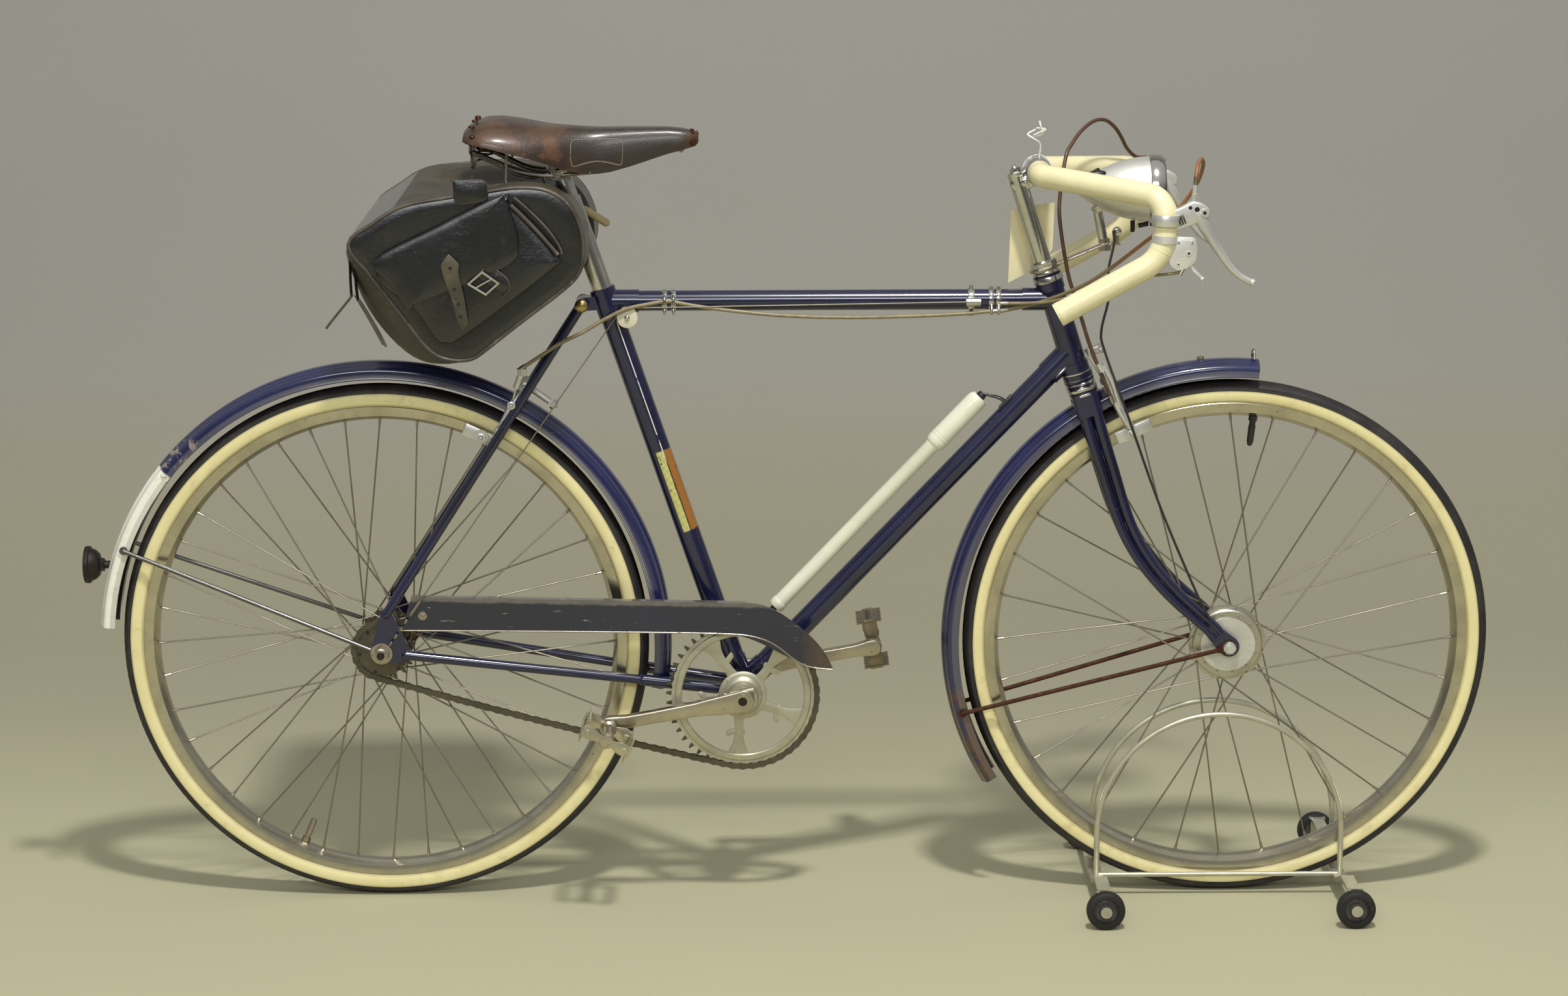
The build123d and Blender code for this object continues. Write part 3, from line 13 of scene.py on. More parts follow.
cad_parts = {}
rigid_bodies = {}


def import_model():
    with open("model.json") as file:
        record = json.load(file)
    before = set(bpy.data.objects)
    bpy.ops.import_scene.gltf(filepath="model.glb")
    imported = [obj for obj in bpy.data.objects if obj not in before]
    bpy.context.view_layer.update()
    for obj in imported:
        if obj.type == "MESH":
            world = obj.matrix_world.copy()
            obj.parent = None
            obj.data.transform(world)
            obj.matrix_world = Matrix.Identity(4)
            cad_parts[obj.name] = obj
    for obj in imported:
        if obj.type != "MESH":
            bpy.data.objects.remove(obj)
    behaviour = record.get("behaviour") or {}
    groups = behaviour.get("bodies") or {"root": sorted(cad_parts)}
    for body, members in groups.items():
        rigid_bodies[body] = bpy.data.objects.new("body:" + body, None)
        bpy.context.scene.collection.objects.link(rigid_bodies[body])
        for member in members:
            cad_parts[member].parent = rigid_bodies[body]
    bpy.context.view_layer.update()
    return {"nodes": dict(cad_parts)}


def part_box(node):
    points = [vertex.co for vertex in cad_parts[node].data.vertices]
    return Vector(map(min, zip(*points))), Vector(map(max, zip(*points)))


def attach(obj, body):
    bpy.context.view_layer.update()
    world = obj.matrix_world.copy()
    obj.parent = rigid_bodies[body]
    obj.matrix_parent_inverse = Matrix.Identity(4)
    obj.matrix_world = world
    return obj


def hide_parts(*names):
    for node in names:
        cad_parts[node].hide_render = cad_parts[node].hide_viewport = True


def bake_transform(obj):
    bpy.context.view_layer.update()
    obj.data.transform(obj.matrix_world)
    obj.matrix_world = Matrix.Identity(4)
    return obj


for thing in list(bpy.data.objects):
    bpy.data.objects.remove(thing)
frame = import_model()
NODES = frame["nodes"]

X, Y, Z = Vector((1, 0, 0)), Vector((0, 1, 0)), Vector((0, 0, 1))
FULL = 2 * math.pi


# ---- Finishes: a small shader kit ---------------------------------------------------------
def colour(red, green, blue):
    """A shader colour from the usual 0 to 255 screen values."""
    def linear(part):
        part /= 255
        return part / 12.92 if part <= 0.04045 else ((part + 0.055) / 1.055) ** 2.4
    return (linear(red), linear(green), linear(blue), 1.0)


class Signal:
    """A socket of a finish. Python's operators on it add Math nodes."""

    def __init__(self, finish, socket):
        self.finish, self.socket = finish, socket

    def __add__(self, other):
        return self.finish.math("ADD", self, other)

    def __sub__(self, other):
        return self.finish.math("SUBTRACT", self, other)

    def __rsub__(self, other):
        return self.finish.math("SUBTRACT", other, self)

    def __mul__(self, other):
        return self.finish.math("MULTIPLY", self, other)

    def __abs__(self):
        return self.finish.math("ABSOLUTE", self)

    __radd__ = __add__
    __rmul__ = __mul__


class Finish:
    """One material: a Principled shader and the nodes that feed it."""

    def __init__(self, name, **constants):
        self.material = bpy.data.materials.new(name)
        self.material.use_nodes = True
        self.tree = self.material.node_tree
        self.tree.nodes.clear()
        self.shader = self.tree.nodes.new("ShaderNodeBsdfPrincipled")
        self.output = self.tree.nodes.new("ShaderNodeOutputMaterial")
        self.tree.links.new(self.shader.outputs[0], self.output.inputs[0])
        for socket, value in constants.items():
            self.shader.inputs[socket.replace("_", " ")].default_value = value
        self.kept = {}

    def add(self, kind, settings=None, inputs=None, out=0):
        """Adds a node: its type, its settings, its sockets' values or links, and the output wanted."""
        node = self.tree.nodes.new("ShaderNode" + kind)
        for key, value in (settings or {}).items():
            setattr(node, key, value)
        for key, value in (inputs or {}).items():
            self.feed(node.inputs[key], value)
        return Signal(self, node.outputs[out])

    def feed(self, socket, value):
        if isinstance(value, Signal):
            self.tree.links.new(value.socket, socket)
        else:
            socket.default_value = value

    def math(self, operation, first, second=0.0):
        return self.add("Math", {"operation": operation}, {0: first, 1: second})

    def mix(self, share, first, second):
        """One colour turning into another."""
        return self.add("Mix", {"data_type": "RGBA"}, {0: share, 6: first, 7: second}, 2)

    def place(self):
        if "place" not in self.kept:
            self.kept["place"] = self.add("TexCoord", out=3)
        return self.kept["place"]

    def axis(self, letter):
        if "axes" not in self.kept:
            split = self.tree.nodes.new("ShaderNodeSeparateXYZ")
            self.feed(split.inputs[0], self.place())
            self.kept["axes"] = [Signal(self, socket) for socket in split.outputs]
        return self.kept["axes"]["xyz".index(letter)]

    def along(self, origin, direction):
        """The distance from a point, measured along a direction."""
        unit = Vector(direction).normalized()
        offset = Vector(origin).dot(unit)
        return self.axis("x") * unit.x + self.axis("y") * unit.y + self.axis("z") * unit.z - offset

    def about(self, centre):
        """The radius and the angle about a cross axis through a point."""
        across = self.axis("x") - centre.x
        up = self.axis("z") - centre.z
        radius = self.math("SQRT", across * across + up * up)
        return radius, self.math("ARCTAN2", up, across)

    def stretched(self, x, y, z):
        return self.add("Mapping", {}, {0: self.place(), 3: (x, y, z)})

    def noise(self, scale, detail=2.0, rough=0.5, of=None):
        return self.add("TexNoise", {}, {"Vector": of or self.place(), "Scale": scale, "Detail": detail,
                                         "Roughness": rough})

    def cells(self, scale):
        return self.add("TexVoronoi", {}, {"Vector": self.place(), "Scale": scale})

    def step(self, value, low, high):
        """A smooth rise from 0 at low to 1 at high. With low above high it falls."""
        ends = {0: value, 1: low, 2: high, 3: 0.0, 4: 1.0}
        return self.add("MapRange", {"interpolation_type": "SMOOTHSTEP"}, ends)

    def band(self, value, low, high, soft):
        return self.step(value, low - soft, low + soft) * self.step(value, high + soft, high - soft)

    def either(self, first, second):
        return self.math("MAXIMUM", first, second)

    def paint(self, **links):
        for socket, value in links.items():
            self.feed(self.shader.inputs[socket.replace("_", " ")], value)

    def bump(self, height, depth):
        self.paint(Normal=self.add("Bump", {}, {"Height": height, "Distance": depth, "Strength": 1.0}))


# ---- Places on the bicycle ----------------------------------------------------------------
def middle(node):
    low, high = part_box(node)
    return (low + high) / 2


rear_axle = middle("rear_tyre")
front_axle = middle("front_tyre")
bracket = middle("chainwheel")
bracket.y = 0
rear_axle.y = front_axle.y = 0
head_angle = math.radians(72.5)
seat_angle = math.radians(71.4)
steer_up = Vector((-math.cos(head_angle), 0, math.sin(head_angle)))
steer_forward = Vector((math.sin(head_angle), 0, math.cos(head_angle)))
steer_foot = front_axle - steer_forward * 0.080
seat_up = Vector((-math.cos(seat_angle), 0, math.sin(seat_angle)))
seat_joint = bracket + seat_up * 0.520
seat_top = seat_joint + seat_up * 0.017
post_top = seat_top + seat_up * 0.158


def on_steer(up, forward=0.0):
    """A point up the steering axis from the fork's foot, and ahead of it."""
    return steer_foot + steer_up * up + steer_forward * forward


clamp_centre = on_steer(0.637, 0.027)
lamp_centre = front_axle + Vector((-0.104, 0, 0.569))


def on_circle(radius, degrees, ahead=0):
    """Flat points on a circle whose middle lies ahead along the first axis."""
    return [(ahead + radius * math.cos(math.radians(turn)), radius * math.sin(math.radians(turn)))
            for turn in degrees]


def in_plane(origin, side, places):
    """Spots that all lie the same distance to the side."""
    return [spot(origin, x, z, side) for x, z in places]


def flat(origin, places):
    """An (x, z) outline in metres, from places some millimetres from an origin."""
    return [(at.x, at.z) for at in in_plane(origin, 0, places)]


def spots(origin, *places):
    """Several spots from one origin."""
    return [spot(origin, *place) for place in places]


def ray(angle):
    """The way out from a cross axis at an angle in radians."""
    return Vector((math.cos(angle), 0, math.sin(angle)))


def around(centre, degrees, radius, side=0.0):
    """The point at an angle and radius about a cross axis, seen from the chain side."""
    turn = math.radians(degrees)
    return Vector((centre.x + radius * math.cos(turn), side, centre.z + radius * math.sin(turn)))


# ---- Finishes of the bicycle --------------------------------------------------------------
NAVY = colour(20, 21, 52)
GUARD_NAVY = colour(26, 29, 68)
RUST = colour(96, 60, 38)
CREAM = colour(238, 228, 172)


def enamel(name, base, dust=0.35):
    """Glossy stove enamel, chipped and dusty with age."""
    made = Finish(name, IOR=1.5, Coat_Roughness=0.06)
    chips = made.step(made.noise(420, 5, 0.62), 0.695, 0.72) * made.step(made.noise(31, 3), 0.52, 0.62)
    scuffs = made.step(made.noise(70, 6, 0.7, made.stretched(1, 1, 3)), 0.62, 0.8)
    cloud = made.noise(9, 4, 0.6)
    tone = made.mix(made.step(cloud, 0.3, 0.75), base, tuple(part * 1.5 for part in base[:3]) + (1,))
    tone = made.mix(scuffs * dust, tone, colour(104, 104, 112))
    return made, tone, chips, cloud, scuffs


def finish_enamel(made, tone, chips, cloud, scuffs):
    tone = made.mix(chips, tone, colour(140, 128, 108))
    made.paint(Base_Color=tone, Roughness=0.16 + scuffs * 0.3 + chips * 0.4 + cloud * 0.12,
               Coat_Weight=0.7 - chips * 0.6)
    made.bump(made.noise(900, 2) * 0.12 - chips, 0.00012)
    return made.material


navy_enamel = finish_enamel(*enamel("navy_enamel", NAVY))


def seat_tube_enamel():
    made, tone, chips, cloud, scuffs = enamel("seat_tube_enamel", NAVY)
    up = made.along(bracket, seat_up)
    forward = made.along(bracket, seat_up.cross(Y))
    ragged = made.noise(160, 4, 0.7) * 0.004
    side = made.step(made.axis("y"), 0.004, -0.001)
    line = made.band(forward, -0.0052, -0.0040, 0.0002) * made.step(up, 0.496, 0.486)
    line = line * made.step(up, 0.30, 0.32)
    line = line * made.step(made.noise(60, 4, 0.7), 0.36, 0.44)
    strip = made.band(up + ragged, 0.217, 0.3235, 0.0012)
    worn = made.step(made.noise(120, 5, 0.7), 0.62, 0.66)
    pale = strip * made.band(forward, -0.0042, 0.0046, 0.0006) * (1 - worn)
    warm = strip * made.band(forward, -0.0142, -0.0056, 0.0006) * (1 - worn)
    checks = made.add("TexChecker", {}, {0: made.stretched(1, 0.0, 1), 3: 210.0}, 1)
    tone = made.mix(warm * side, tone, colour(156, 104, 40))
    tone = made.mix(pale * side, tone, made.mix(checks * 0.35, colour(200, 198, 122), colour(158, 150, 78)))
    tone = made.mix(line * side, tone, colour(232, 228, 214))
    return finish_enamel(made, tone, chips, cloud, scuffs)


def guard_enamel(name, axle, tail, rust_tail):
    """Mudguard enamel. Angles are about the axle: where the white tail starts and where rust has set in."""
    made, tone, chips, cloud, scuffs = enamel(name, GUARD_NAVY, 0.5)
    radius, turn = made.about(axle)
    edge = made.step(radius, 0.3465, 0.3445)
    wobble = made.noise(24, 4, 0.7) * 0.09
    if tail:
        white = made.band(turn + wobble * 0.25, tail[0], tail[1], 0.006) * made.step(radius, 0.336, 0.3365)
        stains = made.step(made.noise(55, 6, 0.75), 0.5, 0.72)
        tone = made.mix(white, tone, made.mix(stains * 0.4, colour(250, 249, 234), colour(190, 178, 152)))
        scar = made.band(turn, tail[0] - 0.17, tail[0] + 0.02, 0.03)
        scar = scar * made.step(made.noise(75, 6, 0.75), 0.55, 0.6)
        tone = made.mix(scar, tone, made.mix(made.noise(300, 3), colour(208, 198, 178), RUST))
        lines = made.band(radius, 0.3398, 0.3404, 0.00015) + made.band(radius, 0.3418, 0.3424, 0.00015)
        tone = made.mix(lines * made.step(turn, 1.2, 1.0) * made.step(turn, 0.1, 0.3) * 0.8, tone,
                        colour(214, 210, 200))
    if rust_tail is not None:
        low = made.step(made.math("COSINE", turn - rust_tail) + wobble, 0.985, 1.01)
        patches = made.step(made.noise(48, 6, 0.75), 0.40, 0.55)
        tone = made.mix(low * made.either(patches, edge), tone, made.mix(made.noise(210, 3), RUST,
                colour(58, 38, 30)))
    tone = made.mix(edge * 0.35, tone, colour(120, 116, 112))
    return finish_enamel(made, tone, chips, cloud, scuffs)


def metal(name, tint, rough, rust=0.15, pits=300, metallic=1.0):
    """Plated or bare metal: smudges, pits and a share of rust."""
    made = Finish(name)
    cloud = made.noise(26, 5, 0.65)
    specks = made.step(made.noise(pits, 4, 0.7), 0.70 - rust * 0.30, 0.76 - rust * 0.22)
    specks = specks * made.step(cloud, 0.40 - rust * 0.3, 0.55)
    tone = made.mix(made.step(cloud, 0.35, 0.7), tint, tuple(part * 0.8 for part in tint[:3]) + (1,))
    tone = made.mix(specks, tone, made.mix(made.noise(150, 2), RUST, colour(52, 34, 26)))
    made.paint(Base_Color=tone, Metallic=metallic - specks * 0.65,
               Roughness=rough + cloud * 0.16 + specks * 0.4)
    made.bump(made.noise(1400, 2) * 0.15 + specks * 0.5, 0.00008)
    return made.material


def plain(name, tint, rough, coat=0.0, mottle=0.25, scale=60, depth=0.0001, grime=None):
    """Rubber, plastic and the like, with a mottled surface."""
    made = Finish(name, Coat_Weight=coat, Coat_Roughness=0.12)
    cloud = made.noise(scale, 5, 0.6)
    dark = tuple(part * (1 - mottle) for part in tint[:3]) + (1,)
    tone = made.mix(made.step(cloud, 0.3, 0.7), dark, tint)
    if grime:
        tone = made.mix(made.step(made.noise(scale * 0.6, 6, 0.75), 0.56, 0.78) * 0.7, tone, grime)
    made.paint(Base_Color=tone, Roughness=rough + cloud * 0.12)
    made.bump(made.noise(scale * 12, 3), depth)
    return made.material


bright_chrome = metal("bright_chrome", colour(214, 212, 206), 0.07, 0.10)
dull_chrome = metal("dull_chrome", colour(186, 178, 164), 0.22, 0.42)
rim_chrome = metal("rim_chrome", colour(202, 196, 176), 0.17, 0.12, 180)
alloy = metal("alloy", colour(226, 225, 220), 0.30, 0.0, 500, metallic=0.7)
spoke_steel = metal("spoke_steel", colour(160, 154, 138), 0.30, 0.2, 500)
chain_steel = metal("chain_steel", colour(104, 98, 82), 0.42, 0.25, 420, metallic=0.8)
stay_rust = metal("stay_rust", colour(92, 62, 50), 0.45, 1.0, 120)
stay_steel = metal("stay_steel", colour(118, 117, 116), 0.20, 0.12, 240)
# Near black for the mudguards' inner faces: painted shade for the shaded inside of the guards.
guard_inside_shade = plain("guard_inside_shade", colour(20, 19, 20), 0.55, 0, 0.3, 60)
trigger_plate = metal("trigger_plate", colour(240, 238, 232), 0.25, 0.0, 400, metallic=0.5)
rivet_copper = metal("rivet_copper", colour(92, 64, 46), 0.34, 0.3, 300)
zinc_steel = metal("zinc_steel", colour(206, 202, 182), 0.30, 0.08, 240, metallic=0.7)
dark_steel = metal("dark_steel", colour(70, 66, 64), 0.38, 0.35, 260)
brass = metal("brass", colour(188, 168, 112), 0.24, 0.10, 300)
black_paint = plain("black_paint", colour(24, 24, 26), 0.3, 0.3)
castor_rubber = plain("castor_rubber", colour(30, 29, 28), 0.55, 0, 0.3, 70, 0.0002, colour(86, 80, 70))
block_rubber = plain("block_rubber", colour(92, 58, 42), 0.7, 0, 0.4, 120)
pump_plastic = plain("pump_plastic", colour(232, 229, 208), 0.3, 0.25, 0.08, 30, 0.00004, colour(196, 186, 158))
brown_sheath = plain("brown_sheath", colour(92, 64, 46), 0.36, 0.1, 0.3, 90)
tan_sheath = plain("tan_sheath", colour(146, 134, 98), 0.36, 0.1, 0.3, 90)
black_sheath = plain("black_sheath", colour(46, 43, 42), 0.45, 0.1, 0.3, 90)
blank_card = plain("blank_card", colour(232, 222, 178), 0.7, 0, 0.06, 40)
lens_red = plain("lens_red", colour(74, 30, 26), 0.15, 0.8, 0.3, 60)

# Solids with a finish of their own here; every other solid takes the navy enamel, and many are hidden further
# on behind pieces that stand for them.
BASE_FINISH = {"seat_tube": seat_tube_enamel(), "stand": zinc_steel, "seat_post": bright_chrome,
               "front_spindle": alloy, "rear_spindle": dark_steel, "front_guard_stays": stay_rust,
               "rear_guard_stays": stay_steel}
for name, node in NODES.items():
    node.data.materials.clear()
    node.data.materials.append(BASE_FINISH.get(name, navy_enamel))


# ---- Modelling kit ------------------------------------------------------------------------
def share_of(value):
    """A value kept between 0 and 1."""
    return min(1, max(0, value))


def listed(value):
    return list(value) if isinstance(value, (list, tuple)) else [value]


def shown(mesh, name, body, finishes, stands_for=(), sharp=38.0):
    """Puts a finished mesh in the scene, as a piece that rides on a body."""
    mesh.name = name
    mesh.shade_smooth()
    mesh.set_sharp_from_angle(angle=math.radians(sharp))
    made = bpy.data.objects.new(name, mesh)
    bpy.context.scene.collection.objects.link(made)
    for finish in listed(finishes):
        mesh.materials.append(finish)
    if isinstance(body, str):
        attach(made, body)
    if stands_for:
        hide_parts(*listed(stands_for))
    return made


def piece(bm, name, body, finishes, stands_for=(), sharp=38.0, close=1e-6):
    """Closes a bmesh's seams, turns its faces outwards and shows it."""
    if close:
        bmesh.ops.remove_doubles(bm, verts=bm.verts, dist=close)
        bmesh.ops.recalc_face_normals(bm, faces=bm.faces)
    mesh = bpy.data.meshes.new(name)
    bm.to_mesh(mesh)
    bm.free()
    return shown(mesh, name, body, finishes, stands_for, sharp)


def facing(direction, centre=(0, 0, 0), hint="Y"):
    """A placing whose own Z runs along a direction from a centre."""
    turn = Vector(direction).to_track_quat("Z", hint).to_matrix().to_4x4()
    return Matrix.Translation(centre) @ turn


def axes(*ways):
    """The turn whose own X, Y and Z run along three ways."""
    return Matrix(ways).transposed().to_4x4()


def side_on(side=0.0):
    """A placing that lays a flat (x, z) outline at a distance to the side, growing to the right."""
    return Matrix.Translation((0, side, 0)) @ axes(X, Z, -Y)


def dye(verts, index):
    """Gives the faces made from some vertices a place in the piece's list of finishes."""
    for face in {face for vert in verts for face in vert.link_faces}:
        face.material_index = index


def rod(bm, start, end, radius, far_radius=None, sides=16, dyed=0):
    start, end = Vector(start), Vector(end)
    far_radius = radius if far_radius is None else far_radius
    made = bmesh.ops.create_cone(bm, cap_ends=True, segments=sides, radius1=radius, radius2=far_radius,
                                 depth=(end - start).length, matrix=facing(end - start, (start + end) / 2))
    dye(made["verts"], dyed)
    return made["verts"]


def ball(bm, centre, radius, scale=(1, 1, 1), dyed=0, rings=10):
    place = Matrix.Translation(centre) @ Matrix.Diagonal((*scale, 1))
    made = bmesh.ops.create_uvsphere(bm, u_segments=2 * rings, v_segments=rings, radius=radius, matrix=place)
    dye(made["verts"], dyed)
    return made["verts"]


def block(bm, size, place, bevel=0.0, dyed=0):
    """A bevelled block of a size, at a placing."""
    made = bmesh.ops.create_cube(bm, size=1.0, matrix=place @ Matrix.Diagonal((*size, 1)))
    dye(made["verts"], dyed)
    if bevel:
        edges = list({edge for vert in made["verts"] for edge in vert.link_edges})
        bmesh.ops.bevel(bm, geom=edges, offset=bevel, segments=2, profile=0.5, affect="EDGES", material=-1)


def millimetres(outline):
    return [(first / 1000, second / 1000) for first, second in outline]


def lathe(bm, outline, centre, axis, steps=64, angle=FULL, start=None, dyed=0, closed=False):
    """Turns an outline of (radius, distance along) points about an axis through a centre."""
    axis = Vector(axis).normalized()
    out = Vector(start) if start else (X if abs(axis.x) < 0.9 else Z)
    out = (out - axis * out.dot(axis)).normalized()
    verts = [bm.verts.new(Vector(centre) + out * radius + axis * far) for radius, far in outline]
    pairs = list(zip(verts, verts[1:] + verts[:1])) if closed else list(zip(verts, verts[1:]))
    edges = [bm.edges.new(pair) for pair in pairs]
    before = set(bm.faces)
    bmesh.ops.spin(bm, geom=verts + edges, cent=centre, axis=axis, angle=angle, steps=steps, space=Matrix(),
                   use_merge=abs(angle) > FULL - 1e-6, use_normal_flip=False, use_duplicate=False)
    new = [face for face in bm.faces if face not in before]
    for face in new:
        face.material_index = dyed
    if abs(angle) < FULL - 1e-6 and closed:
        rim = [edge for face in new for edge in face.edges if edge.is_boundary]
        bmesh.ops.holes_fill(bm, edges=list(set(rim)), sides=0)
    return new


def plate(bm, outline, thickness, place, bevel=0.0, segments=2, dyed=0):
    """A flat plate cut to an outline in its own X and Y, growing along its own Z from its place."""
    ring = [bm.verts.new(place @ Vector((x, y, 0))) for x, y in outline]
    face = bm.faces.new(ring)
    grown = bmesh.ops.extrude_face_region(bm, geom=[face])["geom"]
    top = [part for part in grown if isinstance(part, bmesh.types.BMVert)]
    bmesh.ops.translate(bm, verts=top, vec=place.to_3x3() @ Vector((0, 0, thickness)))
    dye(ring + top, dyed)
    if bevel:
        edges = [e for e in {e for v in ring + top for e in v.link_edges}
                 if len(e.link_faces) == 2 and e.calc_face_angle(0) > 0.6]
        bmesh.ops.bevel(bm, geom=edges, offset=bevel, segments=segments, profile=0.5, affect="EDGES",
                        material=-1)


def rounded(points, radii, steps=6):
    """An outline with its corners rounded. One radius serves all corners, or each has its own."""
    radii = radii if isinstance(radii, (list, tuple)) else [radii] * len(points)
    made = []
    for k, (corner, radius) in enumerate(zip(points, radii)):
        corner = Vector(corner)
        before, after = Vector(points[k - 1]), Vector(points[(k + 1) % len(points)])
        back, on = (before - corner), (after - corner)
        reach = min(radius, back.length * 0.48, on.length * 0.48)
        first, last = corner + back.normalized() * reach, corner + on.normalized() * reach
        for step in range(steps + 1):
            share = step / steps
            made.append(first * (1 - share) ** 2 + corner * 2 * share * (1 - share) + last * share ** 2)
    return made


def hull_of(circles, steps=20):
    """The outline that a belt makes round (x, y, radius) circles."""
    points = [Vector((x + r * math.cos(FULL * k / (2 * steps)), y + r * math.sin(FULL * k / (2 * steps))))
              for x, y, r in circles for k in range(2 * steps)]
    return [points[k] for k in convex_hull_2d(points)]


def line_mesh(points, radius, order=4, fine=10, sides=4, swell=None, caps=True, turn=None):
    """A round tube whose middle line is a NURBS curve through the air, as a mesh."""
    line = bpy.data.curves.new("line", "CURVE")
    line.dimensions, line.resolution_u = "3D", fine
    line.bevel_depth, line.bevel_resolution, line.use_fill_caps = radius, sides, caps
    spline = line.splines.new("NURBS")
    spline.points.add(len(points) - 1)
    for k, (knot, point) in enumerate(zip(spline.points, points)):
        knot.co = (*point, 1)
        knot.radius = swell[k] if swell else 1.0
        knot.tilt = turn[k] if turn else 0.0
    spline.order_u, spline.use_endpoint_u = min(order, len(points)), True
    holder = bpy.data.objects.new("line", line)
    bpy.context.scene.collection.objects.link(holder)
    mesh = bpy.data.meshes.new_from_object(holder.evaluated_get(bpy.context.evaluated_depsgraph_get()))
    bpy.data.objects.remove(holder)
    return mesh


def hose(bm, points, radius, dyed=0, squash=None, **shape):
    """Adds such a tube to a bmesh. squash flattens it towards its own line: (direction, share)."""
    mesh = line_mesh(points, radius, **shape)
    if squash:
        direction, share, middle_point = Vector(squash[0]).normalized(), squash[1], Vector(squash[2])
        for vert in mesh.vertices:
            vert.co -= direction * (vert.co - middle_point).dot(direction) * (1 - share)
    before = set(bm.faces)
    bm.from_mesh(mesh)
    for face in bm.faces:
        if face not in before:
            face.material_index = dyed
    bpy.data.meshes.remove(mesh)


def hexagon(bm, centre, axis, radius, height, dyed=0, dome=0.0):
    """A nut or bolt head standing along an axis from a centre."""
    axis = Vector(axis).normalized()
    rod(bm, centre, Vector(centre) + axis * height, radius, sides=6, dyed=dyed)
    rod(bm, Vector(centre) + axis * height, Vector(centre) + axis * height * 1.12, radius * 0.86, radius * 0.6,
        sides=18, dyed=dyed)
    if dome:
        ball(bm, Vector(centre) + axis * height, dome, dyed=dyed)


def spot(origin, forward, up, side=0.0):
    """A point some millimetres from a place. The side is counted from the middle plane."""
    return Vector((origin.x + forward / 1000, side / 1000, origin.z + up / 1000))


def bent(points, radii, steps=9):
    """An open line through points whose inner corners are bent to true arcs."""
    points = [Vector(point) for point in points]
    radii = radii if isinstance(radii, (list, tuple)) else [radii] * (len(points) - 2)
    line = [points[0]]
    for before, corner, after, radius in zip(points, points[1:], points[2:], radii):
        back, on = (before - corner).normalized(), (after - corner).normalized()
        half = (math.pi - back.angle(on)) / 2
        reach = min(radius * math.tan(half), (before - corner).length * 0.49, (after - corner).length * 0.49)
        weight = math.cos(half)
        for step in range(steps + 1):
            share = step / steps
            a, b, c = (1 - share) ** 2, 2 * share * (1 - share) * weight, share ** 2
            line.append(((corner + back * reach) * a + corner * b + (corner + on * reach) * c) / (a + b + c))
    return line + [points[-1]]


def wire(bm, points, radii, radius):
    """A round bar along a bent line."""
    hose(bm, bent(points, radii), radius, order=2, fine=1, sides=3)


def loft(bm, rings, closed=True):
    """A skin over rings of points, each ring grown from the one before."""
    row = [bm.verts.new(point) for point in rings[0]]
    ends = [row]
    pairs = list(zip(row, row[1:] + row[:1])) if closed else list(zip(row, row[1:]))
    edges = [bm.edges.new(pair) for pair in pairs]
    for ring in rings[1:]:
        grown = bmesh.ops.extrude_edge_only(bm, edges=edges)["geom"]
        fresh = {part for part in grown if isinstance(part, bmesh.types.BMVert)}
        edges = [part for part in grown if isinstance(part, bmesh.types.BMEdge)
                 and part.verts[0] in fresh and part.verts[1] in fresh]
        mates = []
        for vert, point in zip(row, ring):
            mate = next(e.other_vert(vert) for e in vert.link_edges if e.other_vert(vert) in fresh)
            mate.co = point
            mates.append(mate)
        row = mates
    ends.append(row)
    if closed:
        for end in ends:
            bm.faces.new(end)


def curve_point(a, b, c, d, t):
    """A smooth curve through b and c, with a and d for its neighbours."""
    return 0.5 * (2 * b + (c - a) * t + (2 * a - 5 * b + 4 * c - d) * t ** 2
                  + (3 * b - a - 3 * c + d) * t ** 3)


def smooth_ring(points, fine=4):
    """More points along a closed ring, on a smooth curve through the ones given."""
    made, count = [], len(points)
    for k in range(count):
        near = [Vector(points[(k + j - 1) % count]) for j in range(4)]
        made += [curve_point(*near, step / fine) for step in range(fine)]
    return made


# ---- Wheels -------------------------------------------------------------------------------
def tyre_finish(name, axle, wall_top):
    """Black tread and cream walls, split by the height over the rim."""
    made = Finish(name)
    radius, turn = made.about(axle)
    wall = made.step(radius + made.noise(30, 3) * 0.0006, wall_top + 0.0004, wall_top)
    stains = made.step(made.noise(38, 6, 0.72), 0.5, 0.76)
    smear = made.step(made.noise(9, 4, 0.6), 0.42, 0.7)
    low = made.step(radius, 0.3085, 0.3052)
    top = made.step(radius, wall_top - 0.003, wall_top)
    cream = made.mix(smear * 0.5, CREAM, colour(224, 210, 150))
    cream = made.mix(stains * 0.45, cream, colour(178, 160, 108))
    cream = made.mix(made.either(low, top) * 0.5, cream, colour(150, 134, 92))
    dust = made.step(made.noise(26, 6, 0.7), 0.4, 0.8)
    black = made.mix(dust * 0.5, colour(34, 31, 31), colour(74, 70, 64))
    made.paint(Base_Color=made.mix(wall, black, cream), Roughness=0.62 - wall * 0.12)
    made.bump(made.noise(500, 3) + made.math("SINE", turn * 900) * wall * 0.15, 0.00012)
    return made.material


